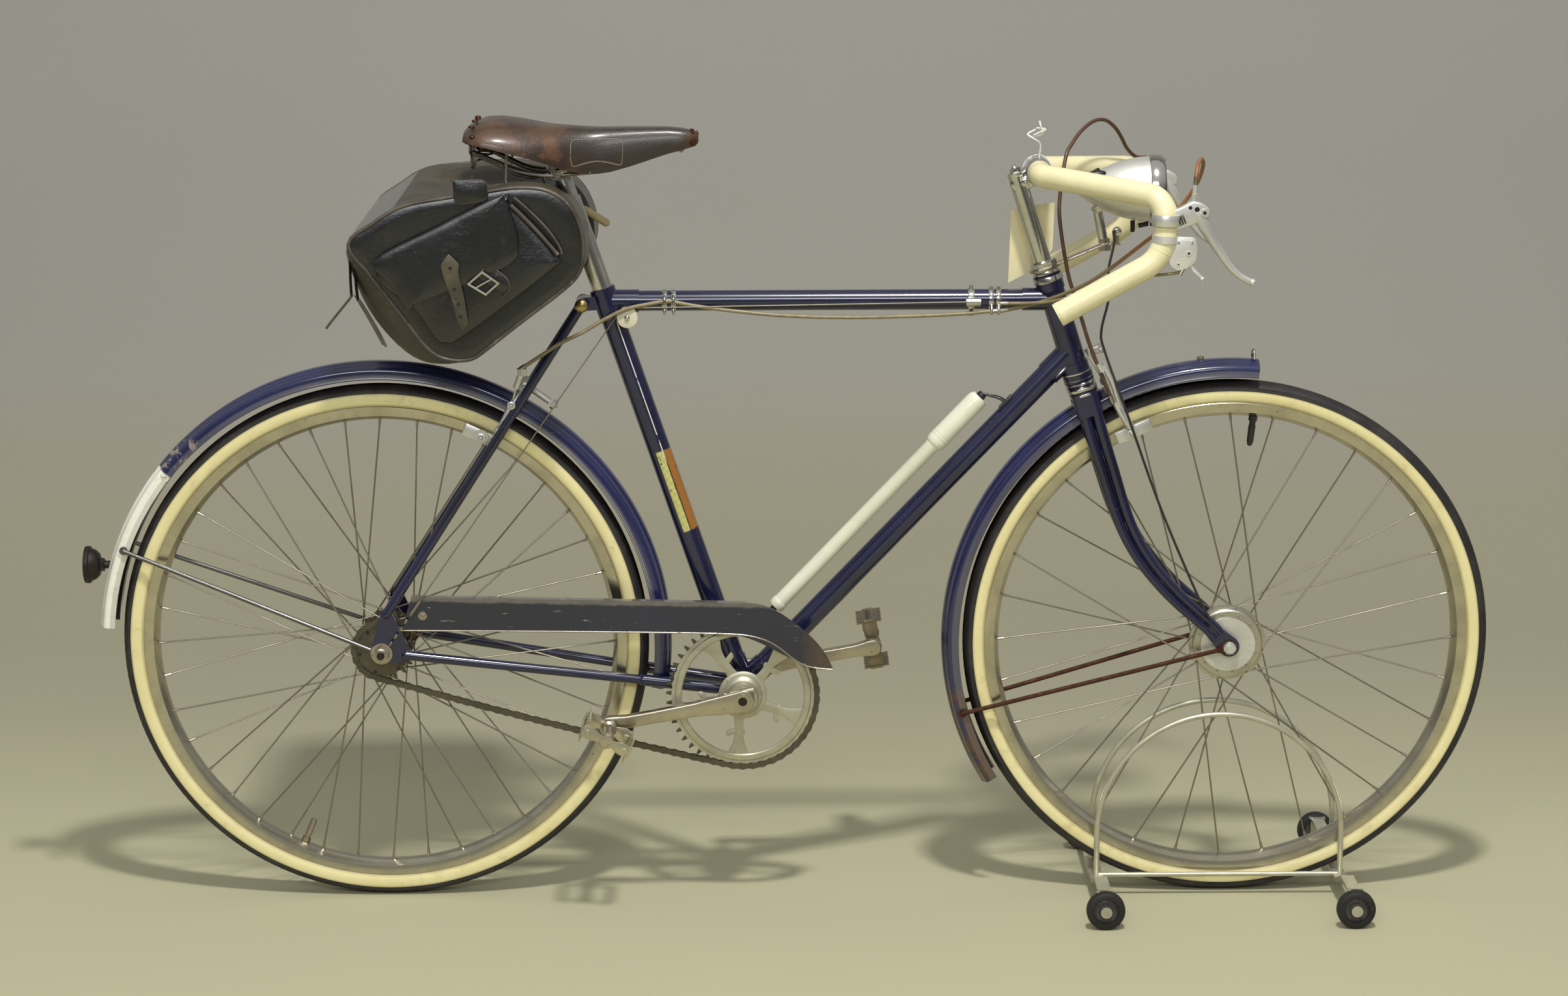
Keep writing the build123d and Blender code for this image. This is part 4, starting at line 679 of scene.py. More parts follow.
def tyre(name, body, axle, wall_top):
    bm = bmesh.new()
    half = [(0.2975, 0.0136), (0.3035, 0.0142), (0.3048, 0.0158), (0.3075, 0.0173), (0.3110, 0.0182),
            (0.3145, 0.01850), (0.3180, 0.01825), (0.3210, 0.0176), (0.3232, 0.0169), (0.3240, 0.0170),
            (0.3252, 0.0164), (0.3267, 0.0148), (0.3281, 0.0128), (0.3292, 0.0106), (0.3301, 0.0080),
            (0.3306, 0.0052), (0.3309, 0.0025), (0.3310, 0.0)]
    outline = half + [(radius, -side) for radius, side in reversed(half[:-1])]
    steps = 360
    lathe(bm, outline, axle, Y, steps, closed=True)
    bmesh.ops.remove_doubles(bm, verts=bm.verts, dist=1e-6)
    for vert in bm.verts:
        out = Vector((vert.co.x - axle.x, 0, vert.co.z - axle.z))
        if out.length > 0.3245:
            turn = round(math.atan2(out.z, out.x) / FULL * steps)
            rib = round(abs(vert.co.y) / 0.0026)
            notch = 0.0007 if (turn + rib) % 2 else 0.0
            vert.co -= out.normalized() * notch
    piece(bm, name + "_cover", body, tyre_finish(name + "_rubber", axle, wall_top), [name])


tyre("rear_tyre", "rear_wheel", rear_axle, 0.3205)
tyre("front_tyre", "front_wheel", front_axle, 0.3190)


def rim(bm, axle):
    half = [(0.3040, 0.0160), (0.3036, 0.0163), (0.3000, 0.0161), (0.2935, 0.0150), (0.2920, 0.0146),
            (0.2905, 0.0120), (0.2885, 0.0085), (0.2868, 0.0050), (0.2860, 0.0025), (0.2859, 0.0)]
    back = [(0.2965, 0.0), (0.2965, 0.0135), (0.3034, 0.0141)]
    outline = half + [(radius, -side) for radius, side in reversed(half[:-1])]
    outline += [(radius, -side) for radius, side in reversed(back)] + back[1:]
    lathe(bm, outline, axle, Y, 240, closed=True)


SPOKE_END = 0.289  # where the nipples end, inside the rim


def spokes(bm, axle, count, crossing, flanges, dyed):
    """Laced spokes with heads at the flanges and nipples at the rim."""
    for k in range(count):
        side = 1 if k % 2 else -1
        lean = 1 if (k // 2) % 2 else -1
        distance, radius = flanges[side]
        turn = FULL * k / count
        hub_turn = turn + lean * math.radians(crossing)
        start = axle + ray(hub_turn) * (radius - 0.003) + Y * (distance + lean * 0.0014)
        end = axle + ray(turn) * SPOKE_END + Y * side * 0.003
        along = (end - start).normalized()
        rod(bm, start, end, 0.00105, sides=8, dyed=dyed)
        rod(bm, end - along * 0.011, end, 0.0016, 0.0020, sides=8, dyed=dyed + 1)
        rod(bm, start - Y * lean * 0.0042, start, 0.0011, sides=6, dyed=dyed)
        ball(bm, start - Y * lean * 0.0042, 0.0019, dyed=dyed, rings=4)


def rear_wheel():
    bm = bmesh.new()
    rim(bm, rear_axle)
    spokes(bm, rear_axle, 40, 68, {-1: (-0.027, 0.034), 1: (0.031, 0.034)}, 1)
    shell = [(0.0055, -0.0285), (0.030, -0.0287), (0.034, -0.0282), (0.0345, -0.027), (0.034, -0.0256),
             (0.027, -0.0248), (0.0245, -0.022), (0.0238, 0.024), (0.027, 0.0284), (0.034, 0.0292),
             (0.0345, 0.031), (0.034, 0.0326), (0.024, 0.0332), (0.0195, 0.036), (0.019, 0.043),
             (0.0055, 0.043)]
    lathe(bm, shell, rear_axle, Y, 64, dyed=3, closed=True)
    lathe(bm, [(0.012, 0.0430), (0.0185, 0.0431), (0.0165, 0.0452), (0.012, 0.0452)], rear_axle, Y, 48, dyed=3,
          closed=True)
    rod(bm, around(rear_axle, 200, 0.0235, -0.004), around(rear_axle, 200, 0.027, -0.004), 0.0035, 0.003, 12, 3)
    piece(bm, "rear_wheel_built", "rear_wheel", [rim_chrome, spoke_steel, dull_chrome, greasy_steel],
          ["rear_wheel"])


def front_wheel():
    bm = bmesh.new()
    rim(bm, front_axle)
    spokes(bm, front_axle, 32, 56, {-1: (-0.0265, 0.048), 1: (0.030, 0.026)}, 1)
    drum = [(0.0055, -0.0350), (0.0300, -0.0350), (0.0305, -0.0344), (0.0312, -0.0350), (0.0420, -0.0346),
            (0.0436, -0.0332), (0.0440, -0.0310), (0.0440, -0.0285), (0.0478, -0.0279), (0.0481, -0.0265),
            (0.0478, -0.0251), (0.0440, -0.0246), (0.0436, -0.0205), (0.0405, -0.0196), (0.020, -0.0190),
            (0.0145, -0.0160), (0.0138, 0.0240), (0.0170, 0.0282), (0.0255, 0.0288), (0.0262, 0.0300),
            (0.0255, 0.0314), (0.0165, 0.0320), (0.0124, 0.0335), (0.0120, 0.0380), (0.0055, 0.0380)]
    lathe(bm, drum, front_axle, Y, 96, dyed=3, closed=True)
    for k in range(12):
        at = around(front_axle, 30 * k + 11, 0.0372, -0.0346)
        rod(bm, at, at - Y * 0.0012, 0.0019, 0.0015, 10, 2)
    piece(bm, "front_wheel_built", "front_wheel", [rim_chrome, spoke_steel, dull_chrome, drum_alloy],
          ["front_wheel"])
    bm = bmesh.new()
    foot, end = around(front_axle, 84, 0.2862), around(front_axle, 84, 0.2510)
    rod(bm, foot, end, 0.0042, 0.0036, 16)
    rod(bm, foot, foot.lerp(end, 0.18), 0.0056, sides=6)
    rod(bm, foot.lerp(end, 0.35), foot.lerp(end, 0.95), 0.0046, 0.0043, 12)
    ball(bm, end, 0.0036, rings=6)
    piece(bm, "front_valve", "front_wheel", black_paint)
    bm = bmesh.new()
    foot, end = around(rear_axle, 247, 0.2862), around(rear_axle, 247, 0.2540)
    rod(bm, foot, end, 0.0040, 0.0034, 16)
    rod(bm, foot, foot.lerp(end, 0.2), 0.0056, sides=6)
    rod(bm, foot.lerp(end, 0.4), foot.lerp(end, 0.95), 0.0045, 0.0041, 12)
    piece(bm, "rear_valve", "rear_wheel", dull_chrome)


greasy_steel = metal("greasy_steel", colour(104, 96, 80), 0.4, 0.35, 90)
drum_alloy = metal("drum_alloy", colour(196, 192, 178), 0.3, 0.12, 160)
rear_wheel()
front_wheel()


# ---- Mudguards ----------------------------------------------------------------------------
def guard_outline(radius):
    """The ribbed channel's section: rolled edges, three soft ribs and a crowned middle."""
    outer = [(-0.0212, 0.0232), (-0.0206, 0.0240), (-0.0195, 0.0240), (-0.0186, 0.0234), (-0.0110, 0.0238),
             (-0.0078, 0.0226), (-0.0058, 0.0202), (-0.0051, 0.0182), (-0.0052, 0.0168), (-0.0040, 0.0152),
             (-0.0033, 0.0132), (-0.0036, 0.0118), (-0.0020, 0.0100), (-0.0007, 0.0068), (0.0, 0.0030),
             (0.0, 0.0)]
    inner = [(-0.0012, 0.0), (-0.0020, 0.0066), (-0.0046, 0.0116), (-0.0064, 0.0172), (-0.0088, 0.0212),
             (-0.0112, 0.0224), (-0.0190, 0.0222), (-0.0212, 0.0224)]
    half = outer[:-1]
    line = [(radius + r, s) for r, s in half] + [(radius, 0.0)] + [(radius + r, -s) for r, s in reversed(half)]
    line += [(radius + r, -s) for r, s in reversed(inner[1:])] + [(radius - 0.0012, 0.0)]
    return line + [(radius + r, s) for r, s in inner[1:]]


def mudguard(name, body, axle, radius, start, end, finish):
    bm = bmesh.new()
    low, high = math.radians(start), math.radians(end)
    first = ray(low)
    lathe(bm, guard_outline(radius), axle, -Y, 150, high - low, first, closed=True)
    bmesh.ops.recalc_face_normals(bm, faces=bm.faces)
    # Faces that look inwards take the near-black second finish: painted shade inside the guard.
    for face in bm.faces:
        at = face.calc_center_median() - axle
        out = Vector((at.x, 0, at.z))
        inward = face.normal.dot(out.normalized()) < -0.25 or face.normal.y * at.y < -0.004
        if inward and out.length > radius - 0.0180:
            face.material_index = 1
    piece(bm, name + "_pressed", body, [finish, guard_inside_shade], [name], 50)


FRONT_GUARD_RADIUS = 0.358
mudguard("rear_mudguard", "frame", rear_axle, 0.360, -9.5, 176.0,
         guard_enamel("rear_guard_enamel", rear_axle, (2.46, 3.30), None))
mudguard("front_mudguard", "root", front_axle, FRONT_GUARD_RADIUS, 84.5, 211.5,
         guard_enamel("front_guard_enamel", front_axle, None, math.radians(207)))


# ---- Handlebar, stem and headset ----------------------------------------------------------
hook_top = spot(clamp_centre, 139, -38.5)
ivory = plain("ivory_covering", colour(240, 231, 186), 0.3, 0.3, 0.07, 26, 0.00003, colour(214, 200, 150))


def bar_line(side):
    return bent(spots(clamp_centre, (0, 0, 20 * side), (0, -1, 42 * side), (140, -14, 159 * side),
                      (138, -84, 163 * side), (12, -153, 163 * side)), [0.024, 0.028, 0.048], 12)


def collar(bm, centre, axis, profile, steps=48, dyed=0):
    """A ring turned about an axis, from (radius, distance) points in millimetres."""
    lathe(bm, millimetres(profile), centre, axis, steps, dyed=dyed, closed=True)


def handlebar():
    bm = bmesh.new()
    rod(bm, spot(clamp_centre, 0, 0, -24), spot(clamp_centre, 0, 0, 24), 0.0127, sides=32, dyed=1)
    for side in (-1, 1):
        line = bar_line(side)
        hose(bm, line, 0.0143, order=2, fine=1, sides=8)
        end, along = line[-1], (line[-1] - line[-2]).normalized()
        collar(bm, end, along, [(0, -7), (14.4, -7), (14.6, -6.4), (14.6, -1.6), (13.6, -0.3), (11, 0.0),
                                (0, 0.0)])
        collar(bm, line[0], Y * side, [(12.7, -2), (14.5, -2), (14.6, -1.2), (14.5, 1.5), (12.7, 1.5)], dyed=0)
        for far in (16, 30, 47, len(line) - 9):
            if far < len(line) - 1:
                along = (line[far + 1] - line[far - 1]).normalized()
                collar(bm, line[far], along, [(14.2, -0.5), (14.55, -0.35), (14.55, 0.35), (14.2, 0.5)])
    piece(bm, "handlebar_covered", "root", [ivory, bright_chrome], ["handlebar"])


def stem():
    bm = bmesh.new()
    rod(bm, on_steer(0.5285), on_steer(0.6400), 0.0110, sides=40)
    collar(bm, on_steer(0.6400), steer_up, [(0, -1), (11, -1), (11.3, 0), (11.3, 3), (10.4, 4), (8, 4.6),
                                            (0, 4.8)])
    hexagon(bm, on_steer(0.6440), steer_up, 0.0066, 0.0052, dome=0.004)
    top = on_steer(0.630)
    outline = hull_of([(top.x, top.z, 0.0112), (clamp_centre.x, clamp_centre.z, 0.0142)], 24)
    plate(bm, outline, 0.018, side_on(0.009), 0.0035, 3)
    collar(bm, clamp_centre, Y, [(12.8, -20), (15.4, -20), (16.4, -19), (16.7, -17), (16.7, 17), (16.4, 19),
                                 (15.4, 20), (12.8, 20)], 64)
    lug = spot(clamp_centre, -15, -11)
    turned = facing(Y, lug) @ Matrix.Rotation(0.7, 4, "Z") @ Matrix.Rotation(math.pi / 2, 4, "X")
    block(bm, (0.012, 0.026, 0.012), turned, 0.002)
    bolt = spot(clamp_centre, -17, -12)
    hexagon(bm, bolt + Y * 0.012, Y, 0.0056, 0.0045, dome=0.002)
    hexagon(bm, bolt - Y * 0.012, -Y, 0.0056, 0.0045, dome=0.0025)
    piece(bm, "stem_polished", "root", bright_chrome, ["stem"])


def headset():
    bm = bmesh.new()
    collar(bm, on_steer(0.5126), steer_up, [(11.2, 0), (16.5, 0), (17.0, 0.6), (17.0, 3.6), (16.0, 5.2),
                                            (16.0, 6.2), (11.2, 6.2)], 56)
    made = bmesh.ops.create_cone(bm, cap_ends=True, segments=6, radius1=0.0166, radius2=0.0166, depth=0.0075,
                                 matrix=facing(steer_up, on_steer(0.5245)))
    bmesh.ops.bevel(bm, geom=list({e for v in made["verts"] for e in v.link_edges}), offset=0.0008, segments=2,
                    affect="EDGES", material=-1)
    collar(bm, on_steer(0.5282), steer_up, [(11.2, 0), (14.6, 0), (14.2, 1.2), (12.0, 1.6), (11.2, 1.6)], 40)
    piece(bm, "headset_nuts_turned", "root", bright_chrome, ["headset_nuts"])
    bm = bmesh.new()
    collar(bm, on_steer(0.5036), steer_up, [(12.5, -0.5), (19.1, -0.5), (19.3, 0.6), (18.6, 2.4), (18.6, 5.0),
                                            (17.4, 7.4), (15.0, 8.3), (12.5, 8.3)], 56)
    collar(bm, on_steer(0.3836), steer_up, [(12.5, 0.5), (19.1, 0.5), (19.3, -0.8), (18.2, -3.4), (18.2, -6.0),
                                            (19.1, -8.6), (18.6, -11.0), (16.0, -12.0), (12.5, -12.0)], 56)
    piece(bm, "headset_cups", "frame", bright_chrome)
    bm = bmesh.new()
    collar(bm, on_steer(0.3680), steer_up, [(12.0, 0), (18.8, 0), (18.8, 1.4), (17.6, 2.9), (12.0, 2.9)], 48)
    for height, deep in ((0.3648, 3.6), (0.3581, 3.0)):
        outline = rounded([(-0.0435, -0.0185), (0.0435, -0.0185), (0.0435, 0.0185), (-0.0435, 0.0185)], 0.016,
                          8)
        turned = axes(Y, -steer_forward, steer_up)
        plate(bm, outline, deep / 1000, Matrix.Translation(on_steer(height)) @ turned, 0.0006)
    piece(bm, "fork_crown_plates", "root", bright_chrome)


handlebar()
stem()
headset()


# ---- Brake levers and gear trigger --------------------------------------------------------
hook_axis = (spot(clamp_centre, 138, -84) - spot(clamp_centre, 140, -14)).normalized()


def lever(name, side):
    bm = bmesh.new()
    middle_side = 162.0 * side
    near = 168.0 * side
    body = [(-6, 5), (4, 9), (18, 15), (30, 22), (41, 20), (50, 14), (53, 8), (50, 2), (41, -3), (28, -8),
            (14, -12), (2, -13), (-6, -8)]
    outline = rounded(flat(hook_top, body), 0.004, 4)
    plate(bm, outline, 0.012, side_on(0.006 + middle_side / 1000), 0.0022, 3)
    centre = spot(hook_top, 0, -1, middle_side)
    collar(bm, centre, hook_axis, [(14.6, -6.8), (16.6, -6.8), (17.0, -6.2), (17.0, 6.2), (16.6, 6.8),
                                   (14.6, 6.8)], 48)
    for k in range(4):
        at = spot(hook_top, 13 + 2.6 * k, -3 + 1.2 * k, middle_side)
        collar(bm, at, Vector((0.92, 0, 0.38)), [(5.2, -0.7), (8.4, -0.7), (8.4, 0.7), (5.2, 0.7)], 24, 1)
    # Black discs on the lever's face stand for its holes: painted shade instead of openings.
    painted_hole_side = near + 0.15 * side
    for x, z, r in ((36, 12, 3.0), (16, 2, 2.6), (28, 14, 2.2)):
        rod(bm, spot(hook_top, x, z, painted_hole_side - 0.6 * side), spot(hook_top, x, z, painted_hole_side), r / 1000, sides=20, dyed=2)
    rod(bm, spot(hook_top, 45, 8, near), spot(hook_top, 45, 8, near + 1.4 * side), 0.0052, 0.0048, 24)
    rod(bm, spot(hook_top, 45, 8, near + 1.4 * side), spot(hook_top, 45, 8, near + 1.9 * side), 0.0022, 0.0020,
        16, 2)
    rod(bm, spot(hook_top, 34, 16, middle_side), spot(hook_top, 34, 30, middle_side), 0.0045, sides=6)
    barrel = 40.5 if side < 0 else 32
    rod(bm, spot(hook_top, 34, 26, middle_side), spot(hook_top, 34, barrel, middle_side), 0.0035, 0.0030, 20)
    grip = [spot(hook_top, x, z, middle_side) for x, z in ((36, 8), (44, -4), (50, -16), (64, -38), (80, -62),
                                                           (92, -71), (104, -76))]
    hose(bm, grip, 0.0050, squash=(Y, 0.9, grip[0]), order=4, fine=6, sides=5,
         swell=[1.5, 1.75, 1.45, 1.1, 0.86, 0.82, 0.8])
    ball(bm, spot(hook_top, 104.5, -76.2, middle_side), 0.0048, rings=8)
    piece(bm, name + "_cast", "root", [alloy, dark_steel, black_paint], [name])


def trigger():
    bm = bmesh.new()
    face = [(7.6, -20.0), (35.9, -21.2), (37.5, -37.0), (36, -50), (27.3, -57.0), (15.5, -61.6), (6.5, -56),
            (3.7, -49.7), (4.6, -37.8)]
    outline = rounded(flat(hook_top, face), 0.006, 5)
    plate(bm, outline, 0.0055, side_on(-0.1634), 0.0010)
    inset = [(21.5 + (x - 21.5) * 0.84, -40 + (z + 40) * 0.84) for x, z in face]
    plate(bm, rounded(flat(hook_top, inset), 0.005, 4), 0.0008, side_on(-0.1686), 0.0003)
    for x, z, r in ((15, -27, 1.8), (31, -27, 1.8), (15, -53, 2.2), (27, -40, 3.4)):
        rod(bm, spot(hook_top, x, z, -169.0), spot(hook_top, x, z, -170.4), r / 1000, r / 1100, 20)
        rod(bm, spot(hook_top, x, z, -170.2), spot(hook_top, x, z, -170.6), r / 2200, sides=12, dyed=1)
    wire(bm, spots(hook_top, (29, -48, -165), (33, -60, -165), (44, -71, -165)), 0.006, 0.0023)
    ball(bm, spot(hook_top, 44, -71.2, -165), 0.0031)
    centre = spot(clamp_centre, 138.6, -62, -161.8)
    collar(bm, centre, hook_axis, [(14.5, -4.5), (15.8, -4.5), (15.8, 4.5), (14.5, 4.5)], 48)
    rod(bm, spot(hook_top, 8, -36, -161), spot(hook_top, 14, -37, -165), 0.005, sides=16)
    piece(bm, "gear_trigger_case", "root", [trigger_plate, dark_steel], ["gear_trigger"])


lever("brake_lever_right", -1)
lever("brake_lever_left", 1)
trigger()


# ---- Headlamp and its bracket -------------------------------------------------------------
lamp_silver = metal("lamp_silver", colour(234, 232, 224), 0.32, 0.0, 400, metallic=0.72)


def headlamp():
    bm = bmesh.new()
    back = [(0, -91.5), (4, -91), (9.5, -85.5), (17, -74), (24, -62), (30.5, -48), (35.5, -33), (38.6, -18),
            (40, -4), (40, 0)]
    lathe(bm, millimetres(back), lamp_centre, X, 96, dyed=0)
    rim_line = [(39.6, -3), (41.0, -3), (42.0, -1.5), (42.0, 7), (41.2, 12), (39.4, 15), (37.0, 16.5),
                (36.0, 16.0), (36.0, 2), (39.6, 0)]
    collar(bm, lamp_centre, X, rim_line, 96, 1)
    bowl = [(36.0, 12), (33, 4), (27, -6), (19, -15), (9, -21), (4, -22)]
    lathe(bm, millimetres(bowl), lamp_centre, X, 64, dyed=1)
    ball(bm, spot(lamp_centre, -14, 0), 0.0055, dyed=3)
    rod(bm, spot(lamp_centre, -24, 0), spot(lamp_centre, -16, 0), 0.005, sides=16, dyed=2)
    rod(bm, spot(lamp_centre, -21, -39), spot(lamp_centre, -21, -53), 0.0030, 0.0026, 12, 2)
    rod(bm, spot(lamp_centre, -2, -43, 0), spot(lamp_centre, -14, -45.5, 0), 0.0030, sides=10, dyed=2)
    ball(bm, spot(lamp_centre, 3, -43.0, 0), 0.0034, dyed=2, rings=6)
    switch = spot(lamp_centre, -66, 19.5, -13)
    ball(bm, switch, 0.0085, (1.5, 0.7, 0.62), 2, 8)
    rod(bm, spot(lamp_centre, -64, 17, 0), spot(lamp_centre, -68, 24, 0), 0.0062, 0.0045, 16, 2)
    rod(bm, spot(lamp_centre, -66, -20), spot(lamp_centre, -62, -27), 0.0095, 0.0068, 24, 1)
    piece(bm, "headlamp_bullet", "root", [lamp_silver, bright_chrome, dark_steel, bulb_glass],
          ["headlamp"])
    bm = bmesh.new()
    dome = [(0, 20.2), (8, 19.9), (17, 18.8), (26, 16.6), (33, 13.4), (37, 11.0)]
    lathe(bm, millimetres(dome), lamp_centre, X, 64)
    piece(bm, "headlamp_glass", "root", clear_glass)


clear_glass = Finish("clear_glass", Base_Color=colour(226, 232, 230), Roughness=0.04, Alpha=0.22,
                     Coat_Weight=1.0).material
bulb_glass = plain("bulb_glass", colour(238, 236, 226), 0.12, 0.5, 0.05)
headlamp()


def lamp_bracket():
    bm = bmesh.new()
    foot = spot(lamp_centre, -56, -68)
    start = on_steer(0.5198, 0.014)
    slope = (foot - start).normalized()
    middle_point = (start + foot) / 2
    place = Matrix.Translation(middle_point) @ axes(slope, Y, slope.cross(Y))
    block(bm, ((foot - start).length + 0.012, 0.016, 0.0028), place, 0.0008)
    collar(bm, on_steer(0.5184), steer_up, [(12.6, 0), (20, 0), (20, 2.6), (12.6, 2.6)], 48)
    tip = spot(lamp_centre, -66, -20)
    rod(bm, spot(foot, 1, -6), tip, 0.0060, 0.0060, 32, 1)
    rod(bm, spot(foot, 1, -7.5), spot(foot, 1, -2), 0.0085, sides=6)
    hexagon(bm, spot(foot, 0, 2.0), Z, 0.0078, 0.005)
    block(bm, (0.020, 0.010, 0.0025), Matrix.Translation(spot(foot, 10, 0)), 0.0006)
    rod(bm, spot(foot, 16, 16, -4), spot(foot, 16, 16, 5), 0.0052, sides=20, dyed=1)
    hexagon(bm, spot(foot, 16, 16, -4), -Y, 0.0050, 0.004, dyed=1, dome=0.002)
    rod(bm, spot(foot, 16, -1), spot(foot, 16, 13), 0.0024, sides=12)
    piece(bm, "lamp_bracket_strip", "root", [dull_chrome, bright_chrome], ["lamp_bracket"])


lamp_bracket()


# ---- Saddle -------------------------------------------------------------------------------
saddle_nose = spot(post_top, 172, 46)


def saddle_hide():
    """Old moulded leather: red-brown where hands rub it, dark on the flaps, cracked and scuffed."""
    made = Finish("saddle_hide", Coat_Roughness=0.22)
    back = made.along(saddle_nose, -X)
    height = made.along(saddle_nose, Z)
    side = abs(made.axis("y"))
    grain = made.noise(46, 6, 0.7)
    flank = made.step(height + grain * 0.012, -0.004, -0.016)
    rear = made.step(back + grain * 0.04, 0.145, 0.205)
    worn = made.step(made.noise(20, 5, 0.65), 0.44, 0.66)
    rubbed = made.step(made.noise(34, 5, 0.7), 0.52, 0.64) * rear
    base = made.mix(made.step(grain, 0.3, 0.7), colour(36, 28, 22), colour(60, 48, 38))
    base = made.mix(flank * made.step(back, 0.20, 0.15) * 0.85, base, colour(46, 38, 32))
    base = made.mix(rear * (1 - flank * 0.4), base, made.mix(worn, colour(46, 31, 22), colour(84, 58, 40)))
    base = made.mix(rubbed * 0.4, base, colour(122, 80, 54))
    nose = made.step(back, 0.020, 0.008)
    base = made.mix(nose * 0.7, base, colour(80, 46, 30))
    # A plain pressed outline on each flap, rubbed pale
    across = abs(back - 0.124)
    low = made.step(height, -0.030, -0.040)
    up = abs(height + 0.0215 + across * low * 0.2)
    beyond, over = made.either(across - 0.026, 0.0), made.either(up - 0.008, 0.0)
    ring = made.math("SQRT", beyond * beyond + over * over)
    mark = made.band(ring, 0.0046, 0.0058, 0.0004) * made.step(made.noise(90, 4), 0.30, 0.42)
    mark = mark * made.step(side, 0.012, 0.016)
    base = made.mix(mark * 0.6, base, colour(138, 122, 102))
    scuffs = made.step(made.noise(120, 6, 0.8), 0.60, 0.72)
    base = made.mix(scuffs * 0.3, base, colour(118, 92, 72))
    made.paint(Base_Color=base, Roughness=0.34 + grain * 0.2 + scuffs * 0.15, Coat_Weight=0.45 - flank * 0.25)
    made.bump(made.noise(260, 5, 0.7) + made.cells(420) * 0.6 - mark * 1.5, 0.00028)
    return made.material


# Millimetres behind the nose, half width, top height and edge height
SADDLE_ROWS = [(0.8, 7, -7, -16), (4, 13, -3, -19), (11, 17.5, -0.5, -21), (22, 19.5, 1.5, -24),
               (38, 21, 3, -28), (60, 23, 3.2, -35), (85, 26, 3.2, -43), (108, 29, 3, -49), (123, 31, 3, -51),
               (138, 36, 3.8, -51), (151, 42, 5, -48), (166, 51, 6.5, -43), (182, 61, 9, -36),
               (200, 69, 13, -29), (218, 74, 16, -24), (240, 77.5, 17.5, -18), (258, 78, 16, -13),
               (270, 75, 12, -11), (279, 68, 7, -10), (284.5, 60, 2, -8)]


